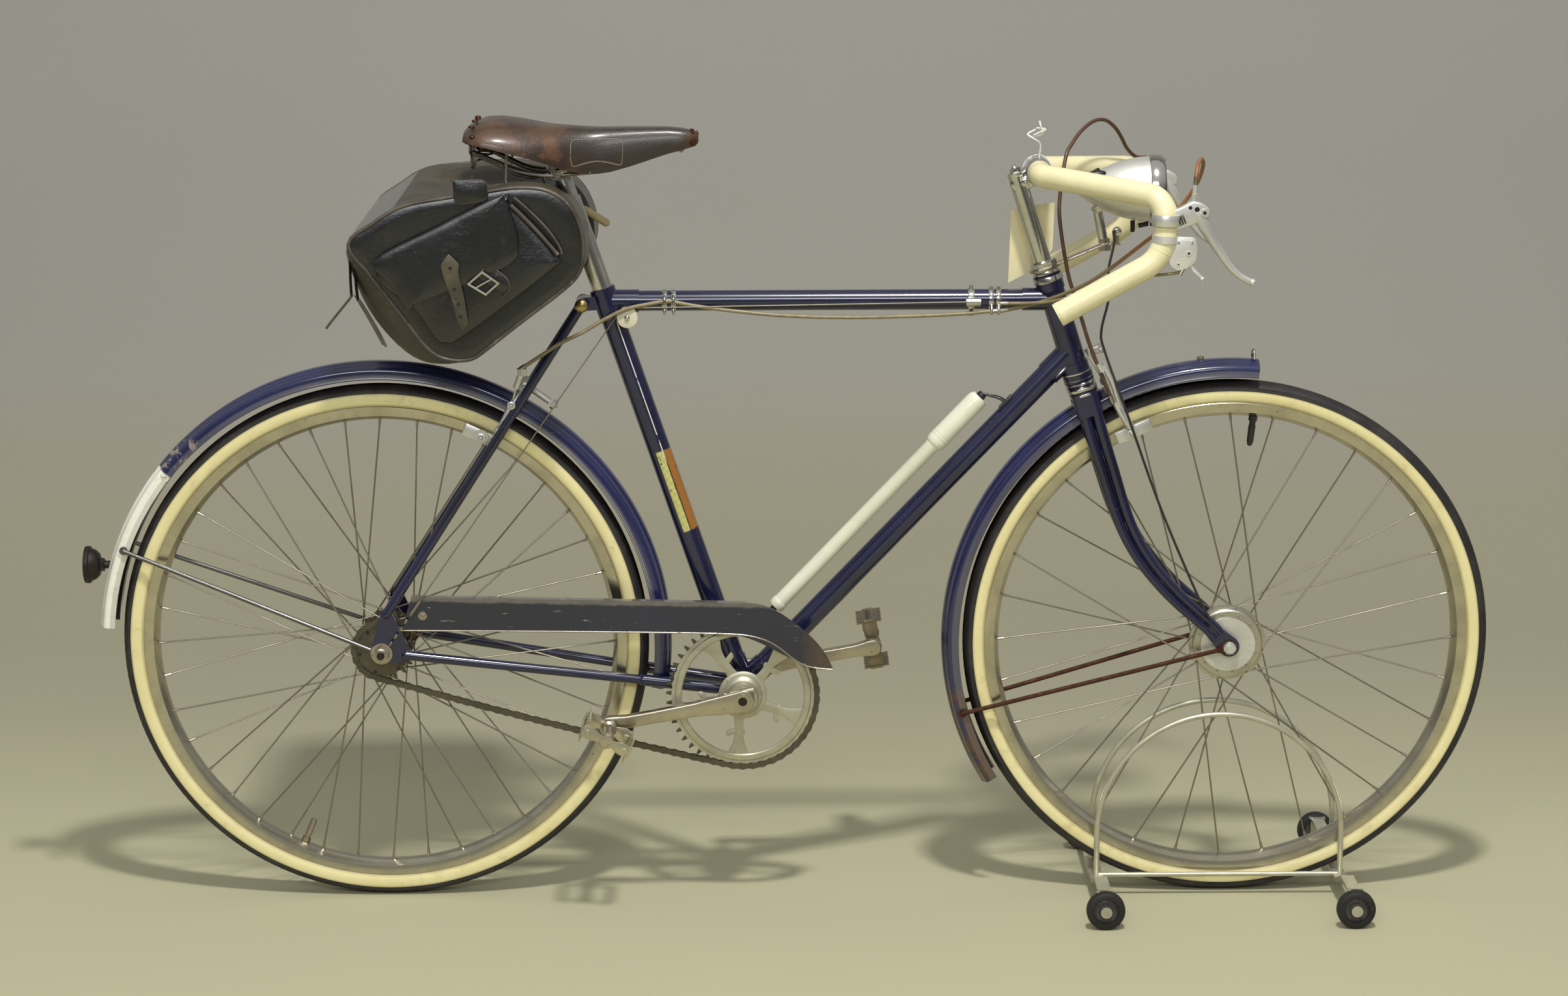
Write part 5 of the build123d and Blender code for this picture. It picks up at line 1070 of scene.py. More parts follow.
def saddle():
    bm = bmesh.new()
    rings = []
    for behind, half, top, edge in SADDLE_ROWS:
        ring = []
        nose_share = share_of((190 - behind) / 90)
        for k in range(33):
            t = -1 + k / 16
            lean = abs(t)
            spread = math.sin(lean * math.pi / 2)
            wide = half * spread ** (0.75 * nose_share + 0.95 * (1 - nose_share))
            drop = (1 - math.cos(lean * math.pi / 2)) ** (1.7 * nose_share + 1.15 * (1 - nose_share))
            if lean > 0.86 and nose_share > 0.4:
                wide *= 1 - (lean - 0.86) * 0.5
            z = top + (edge - top) * drop
            sway = 1.6 * math.exp(-(behind - 205) ** 2 / 1200) * (1 - lean) * 2
            ring.append(spot(saddle_nose, -behind, z - sway, wide * (1 if t > 0 else -1)))
        rings.append(ring)
    loft(bm, rings, closed=False)
    bmesh.ops.recalc_face_normals(bm, faces=bm.faces)
    if sum(face.normal.z for face in bm.faces) < 0:
        bmesh.ops.reverse_faces(bm, faces=bm.faces)
    bmesh.ops.solidify(bm, geom=bm.faces[:], thickness=0.0036)
    piece(bm, "saddle_moulded", "frame", saddle_hide(), ["saddle_leather"], 60)

    bm = bmesh.new()
    for side in (-1, 1):
        for behind, out, up in ((9, 9, -3.4), (7, 15.4, -14.5)):
            at = spot(saddle_nose, -behind, up, out * side)
            lean = Vector((0.35, 0.5 * side, 0.8)) if out < 10 else Vector((0.25, side, 0.1))
            rod(bm, at, at + lean.normalized() * 0.0022, 0.0046, 0.0030, 16)
        for out, up, behind in ((24, 14.5, 272), (48, 10, 274), (68, 0, 272)):
            at = spot(saddle_nose, -behind, up - 1, out * side)
            ball(bm, at, 0.0040, (1, 1, 0.5), rings=6)
    ball(bm, spot(saddle_nose, -3, -6), 0.0044, (0.6, 1, 1), rings=6)
    piece(bm, "saddle_rivets", "frame", rivet_copper)

    bm = bmesh.new()
    plate_line = [(-0.062, 0), (-0.045, 0.011), (-0.022, 0.017), (0, 0.018), (0.022, 0.017), (0.045, 0.011),
                  (0.062, 0), (0.060, -0.010), (0.040, -0.014), (0.036, -0.030), (0.018, -0.034),
                  (-0.018, -0.034), (-0.036, -0.030), (-0.040, -0.014), (-0.060, -0.010)]
    turned = axes(Y, Z, X)
    plate(bm, rounded(plate_line, 0.004, 3), 0.0022,
          Matrix.Translation(spot(saddle_nose, -277, -12)) @ turned, 0.0005)
    rods = 0.0034
    for side in (-1, 1):
        rail = [spot(saddle_nose, -16, -12, 5 * side), spot(saddle_nose, -30, -22, 7 * side),
                *spots(post_top, (80, -1, 22 * side), (0, 0, 22 * side), (-30, -13, 26 * side)),
                spot(saddle_nose, -250, -32, 42 * side), spot(saddle_nose, -274, -22, 46 * side)]
        hose(bm, rail, rods, fine=6, sides=3)
        hose(bm, [*spots(post_top, (40, -3, 30 * side), (6, -7, 31 * side), (-30, -8, 33 * side)),
                  spot(saddle_nose, -240, -40, 44 * side), spot(saddle_nose, -272, -24, 50 * side)], 0.0022,
             fine=6, sides=2)
        loop = spots(saddle_nose, (-232, -24, 50 * side), (-234, -60, 52 * side), (-206, -66, 54 * side),
                     (-196, -60, 54 * side), (-190, -84, 55 * side), (-222, -86, 55 * side),
                     (-222, -66, 55 * side))
        wire(bm, loop, 0.006, 0.0018)
        coil = [spot(saddle_nose, -262 - 7.5 * math.cos(k * math.pi / 4), -14 - k * 0.62,
                     (30 + 7.5 * math.sin(k * math.pi / 4)) * side) for k in range(33)]
        hose(bm, coil, 0.0015, fine=3, sides=2, order=3)
    for out in (-30, 30):
        lathe(bm, millimetres(((0, 5), (9, 5), (11.5, 4), (12, 2), (12, -4), (9, -5), (0, -5))),
              spot(post_top, 0, 0, out * 0.83), Y if out > 0 else -Y, 32)
    rod(bm, spot(post_top, 0, 0, -34), spot(post_top, 0, 0, 34), 0.0042, sides=20)
    for side in (-1, 1):
        hexagon(bm, spot(post_top, 0, 0, 29.5 * side), Y * side, 0.0085, 0.006, dome=0.003)
    rod(bm, spot(post_top, 0, 0, -17), spot(post_top, 0, 0, 17), 0.0145, sides=40)
    wire(bm, spots(saddle_nose, (-14, -15, -5), (-8, -21, 0), (-14, -15, 5)), 0.004, 0.003)
    hexagon(bm, spot(saddle_nose, -24, -21), Vector((1, 0, -0.5)), 0.006, 0.006)
    rod(bm, spot(saddle_nose, -42, -13), spot(saddle_nose, -18, -24), 0.0036, sides=16)
    piece(bm, "saddle_springs", "frame", dull_chrome, ["saddle_frame"])


saddle()


# ---- Saddle bag ---------------------------------------------------------------------------
def hide(name, tint, light, rough, worn, patches=0.0, gloss=0.35, dents=2.2):
    made = Finish(name, Coat_Roughness=0.24)
    cloud = made.noise(12, 5, 0.6)
    grain = made.noise(180, 5, 0.7)
    scuff = made.step(made.noise(60, 6, 0.75), 0.58, 0.72)
    tone = made.mix(made.step(cloud, 0.35, 0.7), tint, light)
    tone = made.mix(scuff * worn, tone, colour(128, 116, 92))
    if patches:
        bare = made.step(made.noise(17, 5, 0.7), 0.56, 0.66) * made.step(made.axis("x"), -0.46, -0.36)
        tone = made.mix(bare * patches, tone, colour(150, 134, 84))
    made.paint(Base_Color=tone, Roughness=rough + grain * 0.14 + scuff * worn * 0.3,
               Coat_Weight=gloss - scuff * worn * 0.3)
    made.bump(grain + made.noise(28, 3) * 2.2 + made.noise(10, 2) * dents + made.cells(300) * 0.3, 0.00045)
    return made.material


bag_black = hide("bag_black", colour(9, 10, 12), colour(20, 22, 24), 0.16, 0.08, 0, 0.9, 14)
bag_lid = hide("bag_lid", colour(42, 36, 26), colour(70, 61, 43), 0.38, 0.3, 0.6, 0.15)
bag_brown = hide("bag_brown", colour(44, 38, 31), colour(64, 56, 46), 0.45, 0.45)
strap_hide = hide("strap_hide", colour(58, 54, 42), colour(92, 86, 66), 0.36, 0.5)
piping_hide = hide("piping_hide", colour(46, 42, 38), colour(88, 80, 70), 0.38, 0.8)
wood = plain("dowel_wood", colour(196, 176, 128), 0.5, 0, 0.25, 50)

BAG_HALF = 162  # half the bag's width
bag_edge = [(-243.7, -72), (-213.5, -46), (-177.5, -25.5), (-121.4, -15), (-77.1, -8.5), (-38.8, -3.5),
            (-4, -7), (22, -24), (36, -52), (39, -80), (33, -108), (12, -129), (-24.1, -156.5), (-50, -176),
            (-78.4, -198.3), (-100, -212), (-129.2, -211), (-152, -196), (-181.2, -155.8), (-215.4, -110.8)]


def bag_ring(side, swell=1.0):
    """One ring of the bag's skin, in the plane a distance to the side."""
    ring = []
    deep = (side + BAG_HALF) / (2 * BAG_HALF)
    belly = 1 - min(1, abs(side) / BAG_HALF) ** 14
    corner, edge = Vector((-243.7, -72)), Vector((114.7, -139))
    for x, z in smooth_ring(bag_edge):
        x, z = -102 + (x + 102) * swell, -108 + (z + 108) * swell
        along = (Vector((x, z)) - corner).dot(edge) / edge.length_squared
        off = (x - corner.x) * -0.771 + (z - corner.y) * -0.636
        if 0 < along < 1.1 and off > -32:
            push = 36 * belly * math.sin(math.pi * min(1, along / 1.1)) ** 0.7 * min(1, (off + 32) / 24)
            x, z = x - push * 0.771, z - push * 0.636
        high = share_of((z + 170) / 110)
        droop = 20 * share_of((x + 70) / 110) - 8 * share_of((-70 - x) / 110)
        z -= droop * deep * high
        lowered = share_of((98 - abs(side)) / 32) * share_of((x + 175) / 30)
        z = min(z, z + (-25 - z) * lowered) if z > -25 else z
        room = max(0, 1 - max(0, abs(side) - 22) / 34)
        limit = 0.3366 * -z - 19.5
        if x > limit and room > 0:
            x = x + (limit - x) * room ** 0.6
        ring.append(spot(post_top, x, z, side))
    return ring


def leather(bm, points, place_side, thickness, dyed=0, radius=6):
    """A flat piece of leather on the bag's near end, in millimetres from the seat post's top."""
    plate(bm, rounded(flat(post_top, points), radius / 1000, 5), thickness / 1000,
          side_on((place_side + thickness) / 1000), 0.8 / 1000, 2, dyed)


def bag_shell():
    bm = bmesh.new()
    full = (-140, -124, -104, -84, -68, -58, -46, -34, -22, 0, 22, 34, 46, 58, 68, 84, 104, 130, 150)
    near = [(-160.5, 0.60), (-162.5, 0.86), (-162, 0.965), (-160.5, 0.99), (-157, 1.0), (-150, 1.004)]
    far = [(159, 0.99), (162, 0.95), (163, 0.6)]
    rings = [bag_ring(side, swell) for side, swell in near + [(side, 1.0) for side in full] + far]
    loft(bm, rings)
    for face in bm.faces:
        at = face.calc_center_median()
        relative = at - post_top
        near_end = at.y < -0.1595
        rear_top = relative.x < -0.185 and relative.z > -0.095
        lid = relative.z > -0.075 and -0.185 < relative.x < 0.010
        face.material_index = 0 if near_end else 1 if lid else 0 if rear_top else 2
    piece(bm, "saddle_bag_body", "frame", [bag_black, bag_lid, bag_brown], ["saddle_bag"], 55)

    bm = bmesh.new()
    for side, swell in ((-161.6, 0.985), (160.5, 0.985)):
        ring = bag_ring(side, swell)
        hose(bm, ring + ring[:1], 0.0023, order=2, fine=1, sides=3)
    piece(bm, "saddle_bag_piping", "frame", piping_hide)


def puffed(bm, outline, middle, layers, fullness):
    """Leather that stands out from the bag's near end; layers hold (share of the outline, millimetres out)."""
    ring, middle = smooth_ring(outline, 5), Vector(middle)
    rings = []
    for grow, out in layers:
        places = [middle + (point - middle) * grow for point in ring]
        rings.append([spot(post_top, at.x, at.y, -BAG_HALF + out * fullness(at)) for at in places])
    loft(bm, rings)


def bag_front():
    """The near end: pocket, flap, seams, straps, buckle and laces, and the dowel beyond."""
    bm = bmesh.new()
    pocket = [(-206, -96), (-62, -16.5), (-48, -25), (5.5, -84), (-3, -104), (-106, -181), (-129, -189),
              (-141, -183), (-164, -149)]
    layers = ((1.0, 0), (1.0, -4.5), (0.985, -7.5), (0.95, -9.8), (0.86, -11.2), (0.6, -12), (0.25, -12.2))
    puffed(bm, pocket, (-96, -100), layers, lambda at: 0.62 + 0.38 * share_of((-at.y - 40) / 130))
    flap = [(-210, -90), (-136, -50.5), (-62, -13.5), (-54, -17.4), (-43, -46), (-38.5, -66), (-41, -86),
            (-56, -99), (-66, -104), (-115, -123.5), (-163, -142.5), (-173, -147), (-191, -119)]
    layers = ((0.998, -6.5), (1.0, -10.6), (0.985, -12.6), (0.94, -13.8), (0.75, -14.6), (0.4, -15.2))
    puffed(bm, flap, (-118, -80), layers,
           lambda at: 0.58 + 0.42 * share_of((-at.y - 10 + (at.x + 118) * 0.5) / 130))
    seam = in_plane(post_top, -171.5, ((-47.3, -24.1), (-30, -40), (-10, -62), (7.4, -83.5)))
    hose(bm, seam, 0.0022, dyed=1, fine=5, sides=2)
    seam = in_plane(post_top, -165.5, ((-44, -16), (-10, -44), (10, -70), (12, -84)))
    hose(bm, seam, 0.0018, dyed=1, fine=5, sides=2)
    piece(bm, "saddle_bag_pocket", "frame", [bag_black, piping_hide], (), 50)

    bm = bmesh.new()
    strap = [(-121.4, -80.3), (-131, -94), (-129.3, -104), (-119.5, -134), (-112.5, -163), (-106, -172.7),
             (-99.8, -163), (-104, -132), (-110.2, -103), (-108.8, -93)]
    leather(bm, strap, -179.2, 1.8, radius=3)
    # Black discs stand for the strap's holes: painted shade instead of openings.
    for x, z in ((-119.6, -98), (-115.3, -123), (-111.2, -141), (-108.6, -156)):
        rod(bm, spot(post_top, x, z, -179.1), spot(post_top, x, z, -179.4), 0.0021, sides=14, dyed=1)
    leather(bm, [(-116, 5), (-77, 3), (-74.5, -17.5), (-80, -22), (-110, -25.5), (-114.5, -20)], -166.5, 2.4, 2,
            5)
    edge = in_plane(post_top, -164.5, ((-118, 6), (-116, 1), (-108, 3.5), (-84, 4.5), (-76, 2), (-75, -16),
                                       (-80, -21)))
    hose(bm, edge, 0.0013, dyed=3, fine=5, sides=2, order=3)
    leather(bm, [(-92, -86), (-74, -98), (-58, -108), (-50, -118), (-55, -129), (-70, -122), (-88, -110)],
            -174.5, 1.6, 2, 5)
    hose(bm, in_plane(post_top, -175, ((-66, -101), (-55, -108), (-49, -117), (-50, -127), (-60, -134))),
         0.0012, dyed=3, fine=5, sides=2)
    piece(bm, "saddle_bag_straps", "frame", [strap_hide, black_paint, bag_black, piping_hide])

    bm = bmesh.new()
    frame_points = [Vector(p) for p in ((-82.2, -102.7), (-98.7, -116.9), (-78.4, -129.5), (-63.4, -116.2))]
    centre = sum(frame_points, Vector((0, 0))) / 4
    for k in range(4):
        a, b = frame_points[k - 1], frame_points[k]
        rod(bm, spot(post_top, a.x, a.y, -178.5), spot(post_top, b.x, b.y, -178.5), 0.0017, sides=8)
        ball(bm, spot(post_top, a.x, a.y, -178.5), 0.0018, rings=4)
    rod(bm, spot(post_top, centre.x - 9, centre.y - 5, -178), spot(post_top, centre.x + 9, centre.y + 5, -178),
        0.0012, sides=8)
    piece(bm, "saddle_bag_buckle", "frame", bright_chrome)

    bm = bmesh.new()
    start, end = spot(post_top, 6, -46.5, 60), spot(post_top, 54, -75.5, 52)
    rod(bm, start, end, 0.0050, sides=24)
    ball(bm, end, 0.0050)
    piece(bm, "saddle_bag_dowel", "frame", wood)

    bm = bmesh.new()
    for points in (((-241, -84), (-243, -106), (-242, -128), (-240, -135)), ((-236, -90), (-236, -112),
            (-231, -134), (-229, -140))):
        line = in_plane(post_top, -150, points)
        hose(bm, line, 0.0044, dyed=0, squash=(X, 0.4, line[0]), fine=5, sides=2)
    for points in (((-239, -133), (-246, -143), (-262, -160), (-272, -174)), ((-232, -138), (-226, -148),
            (-212, -170), (-201, -196)), ((-236, -134), (-226, -152), (-219, -164), (-204, -194))):
        hose(bm, in_plane(post_top, -152, points), 0.0015, dyed=1, fine=5, sides=2)
    piece(bm, "saddle_bag_laces", "frame", [bag_black, strap_hide])


bag_shell()
bag_front()


# ---- Pump ---------------------------------------------------------------------------------
down_joint = on_steer(0.38357 + 0.027)
down_along = (down_joint - bracket).normalized()
down_normal = -down_along.cross(Y).normalized()
if down_normal.z < 0:
    down_normal = -down_normal


def pump():
    bm = bmesh.new()
    start = bracket + down_along * 0.088 + down_normal * 0.041
    collar(bm, start, down_along, [(0, 14), (6, 14), (9.2, 14.8), (10.2, 16.5), (10.2, 24), (9.6, 25),
                                   (9.4, 26), (9.4, 298), (9.9, 299), (9.9, 303), (0, 303)], 48)
    collar(bm, start, down_along, [(0, 302), (11.0, 302), (12.6, 304), (13.0, 308), (13.0, 376), (12.2, 381),
                                   (9.6, 385), (0, 385)], 48)
    for far in (308, 313, 318):
        collar(bm, start, down_along, [(12.4, far), (13.2, far + 1), (13.2, far + 2.4), (12.4, far + 3.4)], 48)
    collar(bm, start, down_along, [(0, 6), (3.4, 6), (4.4, 8), (4.4, 15), (0, 15)], 24, 1)
    collar(bm, start, down_along, [(0, 384), (5.6, 384), (6.2, 387), (5.0, 391), (0, 391)], 24, 1)
    piece(bm, "pump_barrel", "frame", [pump_plastic, black_paint], ["pump"])
    bm = bmesh.new()
    low = start - down_along * 0.004
    for foot_far, tip, lean in ((0.071, low, -1), (0.490, start + down_along * 0.389, 1)):
        foot = bracket + down_along * foot_far + down_normal * 0.0135
        for side in (-1, 1):
            line = [foot + Y * 0.007 * side, foot + down_normal * 0.010 + Y * 0.005 * side,
                    tip + down_along * 0.004 * lean - down_normal * 0.008, tip + down_along * 0.003 * lean,
                    tip - down_along * 0.004 * lean]
            hose(bm, line, 0.0017, fine=6, sides=3)
        block(bm, (0.022, 0.016, 0.003), facing(down_normal, foot, "Y") @ Matrix.Rotation(math.pi / 2, 4, "Z"),
              0.0008)
    piece(bm, "pump_pegs_wire", "frame", black_paint, ["pump_pegs"])


pump()


# ---- Chain and chainwheel -----------------------------------------------------------------
chain_side, ring_pitch, cog_pitch = -46.0, 0.0930396, 0.0365697


def belt_line(spacing):
    """Evenly spaced points round the two toothed wheels, with a little slack below."""
    run = bracket - rear_axle
    lean = (ring_pitch - cog_pitch) / run.length
    along = run.normalized()
    tilt = math.asin(lean)
    base = math.atan2(along.z, along.x)
    path = []
    for k in range(121):
        turn = base + math.pi / 2 + tilt - (math.pi + 2 * tilt) * k / 120
        path.append(around(bracket, math.degrees(turn), ring_pitch, chain_side / 1000))
    low_start = path[-1].copy()
    for k in range(61):
        turn = base - math.pi / 2 - tilt - (math.pi - 2 * tilt) * k / 60
        path.append(around(rear_axle, math.degrees(turn), cog_pitch, chain_side / 1000))
    low_end = path[121].copy()
    sag = [low_start.lerp(low_end, k / 12) - Z * 0.0035 * math.sin(math.pi * k / 12) for k in range(1, 12)]
    path = path[:121] + sag + path[121:]
    path.append(path[0].copy())
    lengths = [(b - a).length for a, b in zip(path, path[1:])]
    count = 2 * round(sum(lengths) / spacing / 2)
    step, pins, reach, gone = sum(lengths) / count, [], 0.0, 0.0
    for a, b, length in zip(path, path[1:], lengths):
        while reach < gone + length - 1e-9 and len(pins) < count:
            pins.append(a.lerp(b, (reach - gone) / length))
            reach += step
        gone += length
    return pins


def chain():
    bm = bmesh.new()
    pins = belt_line(0.0127)
    for k, (pin, far) in enumerate(zip(pins, pins[1:] + pins[:1])):
        along = (far - pin).normalized()
        half, gap = 0.0040, (far - pin).length
        waist = on_circle(half, (90, 126, 162, 198, 234, 270)) + [(gap / 2, -0.0029)]
        waist += on_circle(half, (270, 306, 342, 18, 54, 90), gap) + [(gap / 2, 0.0029)]
        for side in (-1, 1):
            near = (2.45 if k % 2 else 1.45) * side
            place = Matrix.Translation(pin + Y * near / 1000) @ axes(along, along.cross(Y), Y)
            plate(bm, waist, 0.0009 * side, place)
        rod(bm, pin - Y * 0.00365, pin + Y * 0.00365, 0.0016, sides=8)
        rod(bm, pin - Y * 0.0015, pin + Y * 0.0015, 0.0038, sides=10)
    piece(bm, "chain_links", "frame", chain_steel, ["chain"], 30, 0)


def toothed_outline(centre, teeth, pitch_radius, start):
    """A toothed disc's outline: rounded gaps between short teeth."""
    outline = []
    for k in range(teeth):
        for share, radius in ((-0.30, -0.0040), (-0.22, -0.0034), (-0.16, -0.0005), (-0.10, 0.0024),
                              (-0.03, 0.0036), (0.03, 0.0036), (0.10, 0.0024), (0.16, -0.0005), (0.22, -0.0034),
                              (0.30, -0.0040), (0.5, -0.0044)):
            turn = math.radians(start) + FULL * (k + 0.5 + share) / teeth
            outline.append((centre.x + (pitch_radius + radius) * math.cos(turn),
                            centre.z + (pitch_radius + radius) * math.sin(turn)))
    return outline


def chainwheel():
    bm = bmesh.new()
    outline = toothed_outline(bracket, 46, ring_pitch, 2.0)
    outer = [bm.verts.new((x, chain_side / 1000 - 0.0011, z)) for x, z in outline]
    inner_count = 110
    inner = [bm.verts.new(around(bracket, 2.0 + 360 * k / inner_count, 0.0815, chain_side / 1000 - 0.0011))
             for k in range(inner_count)]
    edges = [bm.edges.new(pair) for ring in (outer, inner) for pair in zip(ring, ring[1:] + ring[:1])]
    bmesh.ops.triangle_fill(bm, edges=edges, use_beauty=True, use_dissolve=False)
    grown = bmesh.ops.extrude_face_region(bm, geom=bm.faces[:])["geom"]
    bmesh.ops.translate(bm, verts=[v for v in grown if isinstance(v, bmesh.types.BMVert)], vec=(0, 0.0022, 0))
    dark_below = 0.0872
    for face in bm.faces:
        at = face.calc_center_median() - bracket
        face.material_index = 1 if math.hypot(at.x, at.z) > dark_below else 0
    near = chain_side - 1.2
    collar(bm, spot(bracket, 0, 0, near), -Y, [(76.5, -1.6), (76.5, 0.6), (78, 1.8), (81.5, 2.0), (84.5, 1.2),
                                               (85.6, 0), (85.6, -1.0)], 128)
    for k in range(5):
        turn = math.radians(72 * k + 40)
        out, across = ray(turn), Vector((-math.sin(turn), 0, math.cos(turn)))
        arm = [(22, -9), (34, -6), (52, -5.2), (64, -8), (78, -15), (80, -8), (80, 8), (78, 15), (64, 8),
               (52, 5.2), (34, 6), (22, 9)]
        spur = [(43, -2), (50, -16), (58, -17), (50, -2), (50, 8), (43, 8)]

        def leaning(shape):
            """Places (outward, across) millimetres on this arm, which leans back as it goes out."""
            places = [out * r + across * (s + 0.25 * (r - 22)) for r, s in shape]
            return [Vector((bracket.x + at.x / 1000, bracket.z + at.z / 1000)) for at in places]

        plate(bm, rounded(leaning(arm), 0.004, 3), 0.0030, side_on((chain_side + 1.4) / 1000), 0.0007)
        plate(bm, rounded(leaning(spur), 0.003, 3), 0.0026, side_on((chain_side + 1.2) / 1000), 0.0006)
    collar(bm, spot(bracket, 0, 0, chain_side), -Y, [(0, -2), (30, -2), (30.5, -1), (30.5, 1.4), (29, 2.4),
                                                     (25, 2.8), (23.5, 5), (20, 7), (18.5, 12), (18, 19.5),
                                                     (0, 20)], 72)
    for k in range(3):
        at = around(bracket, 120 * k + 15, 0.0245, chain_side / 1000 - 0.0026)
        rod(bm, at, at - Y * 0.0012, 0.0032, 0.0028, 14)
    collar(bm, spot(bracket, 0, 0, -37.5), -Y, [(0, -1), (14, -1), (19.5, 0), (20.5, 2.4), (18, 3.6), (8, 4),
                                                (0, 4)], 48)
    rod(bm, spot(bracket, 0, 0, -66), spot(bracket, 0, 0, 66), 0.0078, sides=24)
    piece(bm, "chainwheel_cut", "crank", [ring_alloy, chain_steel], ["chainwheel"], 30)


ring_alloy = metal("ring_alloy", colour(196, 192, 170), 0.36, 0.12, 200, metallic=0.75)


def sprocket():
    bm = bmesh.new()
    outline = toothed_outline(rear_axle, 18, cog_pitch, 4.0)
    plate(bm, outline, 0.0022, side_on((chain_side + 1.1) / 1000))
    collar(bm, spot(rear_axle, 0, 0, chain_side), -Y, [(6.5, -15), (17, -15), (19, -13), (19, -1), (24, 0),
                                                       (24, 1.6), (19, 2.4), (14, 4), (6.5, 4)], 56)
    # Black discs stand for the sprocket's six holes: painted shade instead of openings.
    for k in range(6):
        at = around(rear_axle, 60 * k + 9, 0.0295, chain_side / 1000 - 0.0010)
        rod(bm, at, at - Y * 0.0004, 0.0026, 0.0026, 14, 1)
    piece(bm, "sprocket_cut", "sprocket", [chain_steel, black_paint], ["sprocket"], 30)


chain()
chainwheel()
sprocket()


# ---- Cranks and pedals --------------------------------------------------------------------
crank_along = ray(math.radians(190.3))
crank_steel = metal("crank_steel", colour(196, 188, 168), 0.24, 0.22, 220)
cage_steel = metal("cage_steel", colour(206, 200, 178), 0.24, 0.22, 160)
# The far pedal takes a darker, duller, rustier copy of the cage steel: painted shade for the pedal behind the
# bike.
shaded_far_cage_steel = metal("shaded_far_cage_steel", colour(150, 140, 116), 0.36, 0.35, 160)


def crank(name, side, along):
    bm = bmesh.new()
    across = along.cross(Y)
    halves = [(0, 15), (10, 14.2), (20, 13.4), (32, 12.4), (44, 10.6), (58, 9.2), (80, 8.6), (120, 8.0),
              (148, 8.2), (158, 9.6), (164, 10.4)]
    low = [(a, -h * (1.0 if a > 40 else 0.92)) for a, h in halves]
    eye, boss = on_circle(11, range(-90, 91, 18), 170), on_circle(15, range(108, 253, 18))
    outline = millimetres(low + eye + halves[::-1] + boss)
    inner = side * 0.066
    place = Matrix.Translation(bracket + Y * inner) @ axes(along, across, Y)
    plate(bm, outline, side * 0.0118, place, 0.0024, 3)
    face = bracket + Y * side * 0.0778
    rod(bm, face - Y * side * 0.001, face + Y * side * 0.0005, 0.0098, 0.0092, 32)
    rod(bm, face, face + Y * side * 0.0012, 0.0060, 0.0052, 24, 1)
    pin = bracket - across * 0.0112 + Y * side * 0.072
    rod(bm, pin - along * 0.016, pin + along * 0.014, 0.0042, 0.0036, 20)
    rod(bm, pin + along * 0.013, pin + along * 0.021, 0.0030, 0.0030, 16)
    hexagon(bm, pin + along * 0.013, along, 0.0056, 0.0045)
    piece(bm, name + "_forged", "crank", [crank_steel, dark_steel], [name])


def pedal(name, side, centre, body):
    bm = bmesh.new()
    lean = math.radians(-27.7 if side < 0 else -80.0)
    fore = ray(lean)
    up = Vector((-math.sin(lean), 0, math.cos(lean)))
    inner, outer = side * 0.0845, side * 0.1475
    middle_side = (inner + outer) / 2
    for way in (-1, 1):
        width, points = 0.063, 11
        top = []
        for k in range(points):
            a = -width / 2 + width * k / (points - 1)
            tooth = 0.0162 if k % 2 == 0 else 0.0130
            top += [(a - 0.0012, tooth), (a + 0.0012, tooth)]
        low = [(a, -b) for a, b in reversed(top)]
        place = Matrix.Translation(centre + Y * middle_side + fore * way * 0.0293) @ axes(Y, up, fore * way)
        plate(bm, top + low, 0.0014, place)
        # Black discs on each cage plate stand for its holes: painted shade instead of openings.
        for k in range(4):
            at = centre + Y * (middle_side + (-0.021 + 0.014 * k)) + fore * way * 0.0307
            rod(bm, at, at + fore * way * 0.0003, 0.0042, 0.0042, 14, 1)
    for far, half in ((inner + side * 0.0015, 0.009), (outer - side * 0.0012, 0.0075)):
        waisted = [(-0.033, half), (-0.020, half * 1.1), (-0.008, half * 0.6), (0.008, half * 0.6),
                   (0.020, half * 1.1), (0.033, half)]
        outline = rounded([(a, -b) for a, b in waisted] + waisted[::-1], 0.003, 3)
        place = Matrix.Translation(centre + Y * far) @ axes(fore, -up, Y)
        plate(bm, outline, 0.0016 * side, place, 0.0004)
        for way in (-1, 1):
            at = centre + Y * (far + side * 0.001) + fore * way * 0.026
            hexagon(bm, at, Y * side, 0.0038, 0.003)
    lathe(bm, millimetres(((0, 0), (9.6, 0), (10.4, 1), (10.4, 9), (7.6, 12), (7.2, 46), (9.4, 50), (9.8, 61),
                           (8.2, 63.5), (3, 64.5), (0, 64.5))), centre + Y * inner, Y * side, 32, dyed=0)
    rod(bm, centre + Y * side * 0.0775, centre + Y * inner, 0.0052, sides=18)
    rod(bm, centre + Y * side * 0.0780, centre + Y * side * 0.0815, 0.0078, sides=6)
    piece(bm, name + "_cage", body, [cage_steel if side < 0 else shaded_far_cage_steel, black_paint],
          [name], 30)


crank("crank_right", -1, crank_along)
crank("crank_left", 1, -crank_along)
pedal("pedal_right", -1, bracket + crank_along * 0.170, "pedal_right")
pedal("pedal_left", 1, bracket - crank_along * 0.170, "pedal_left")


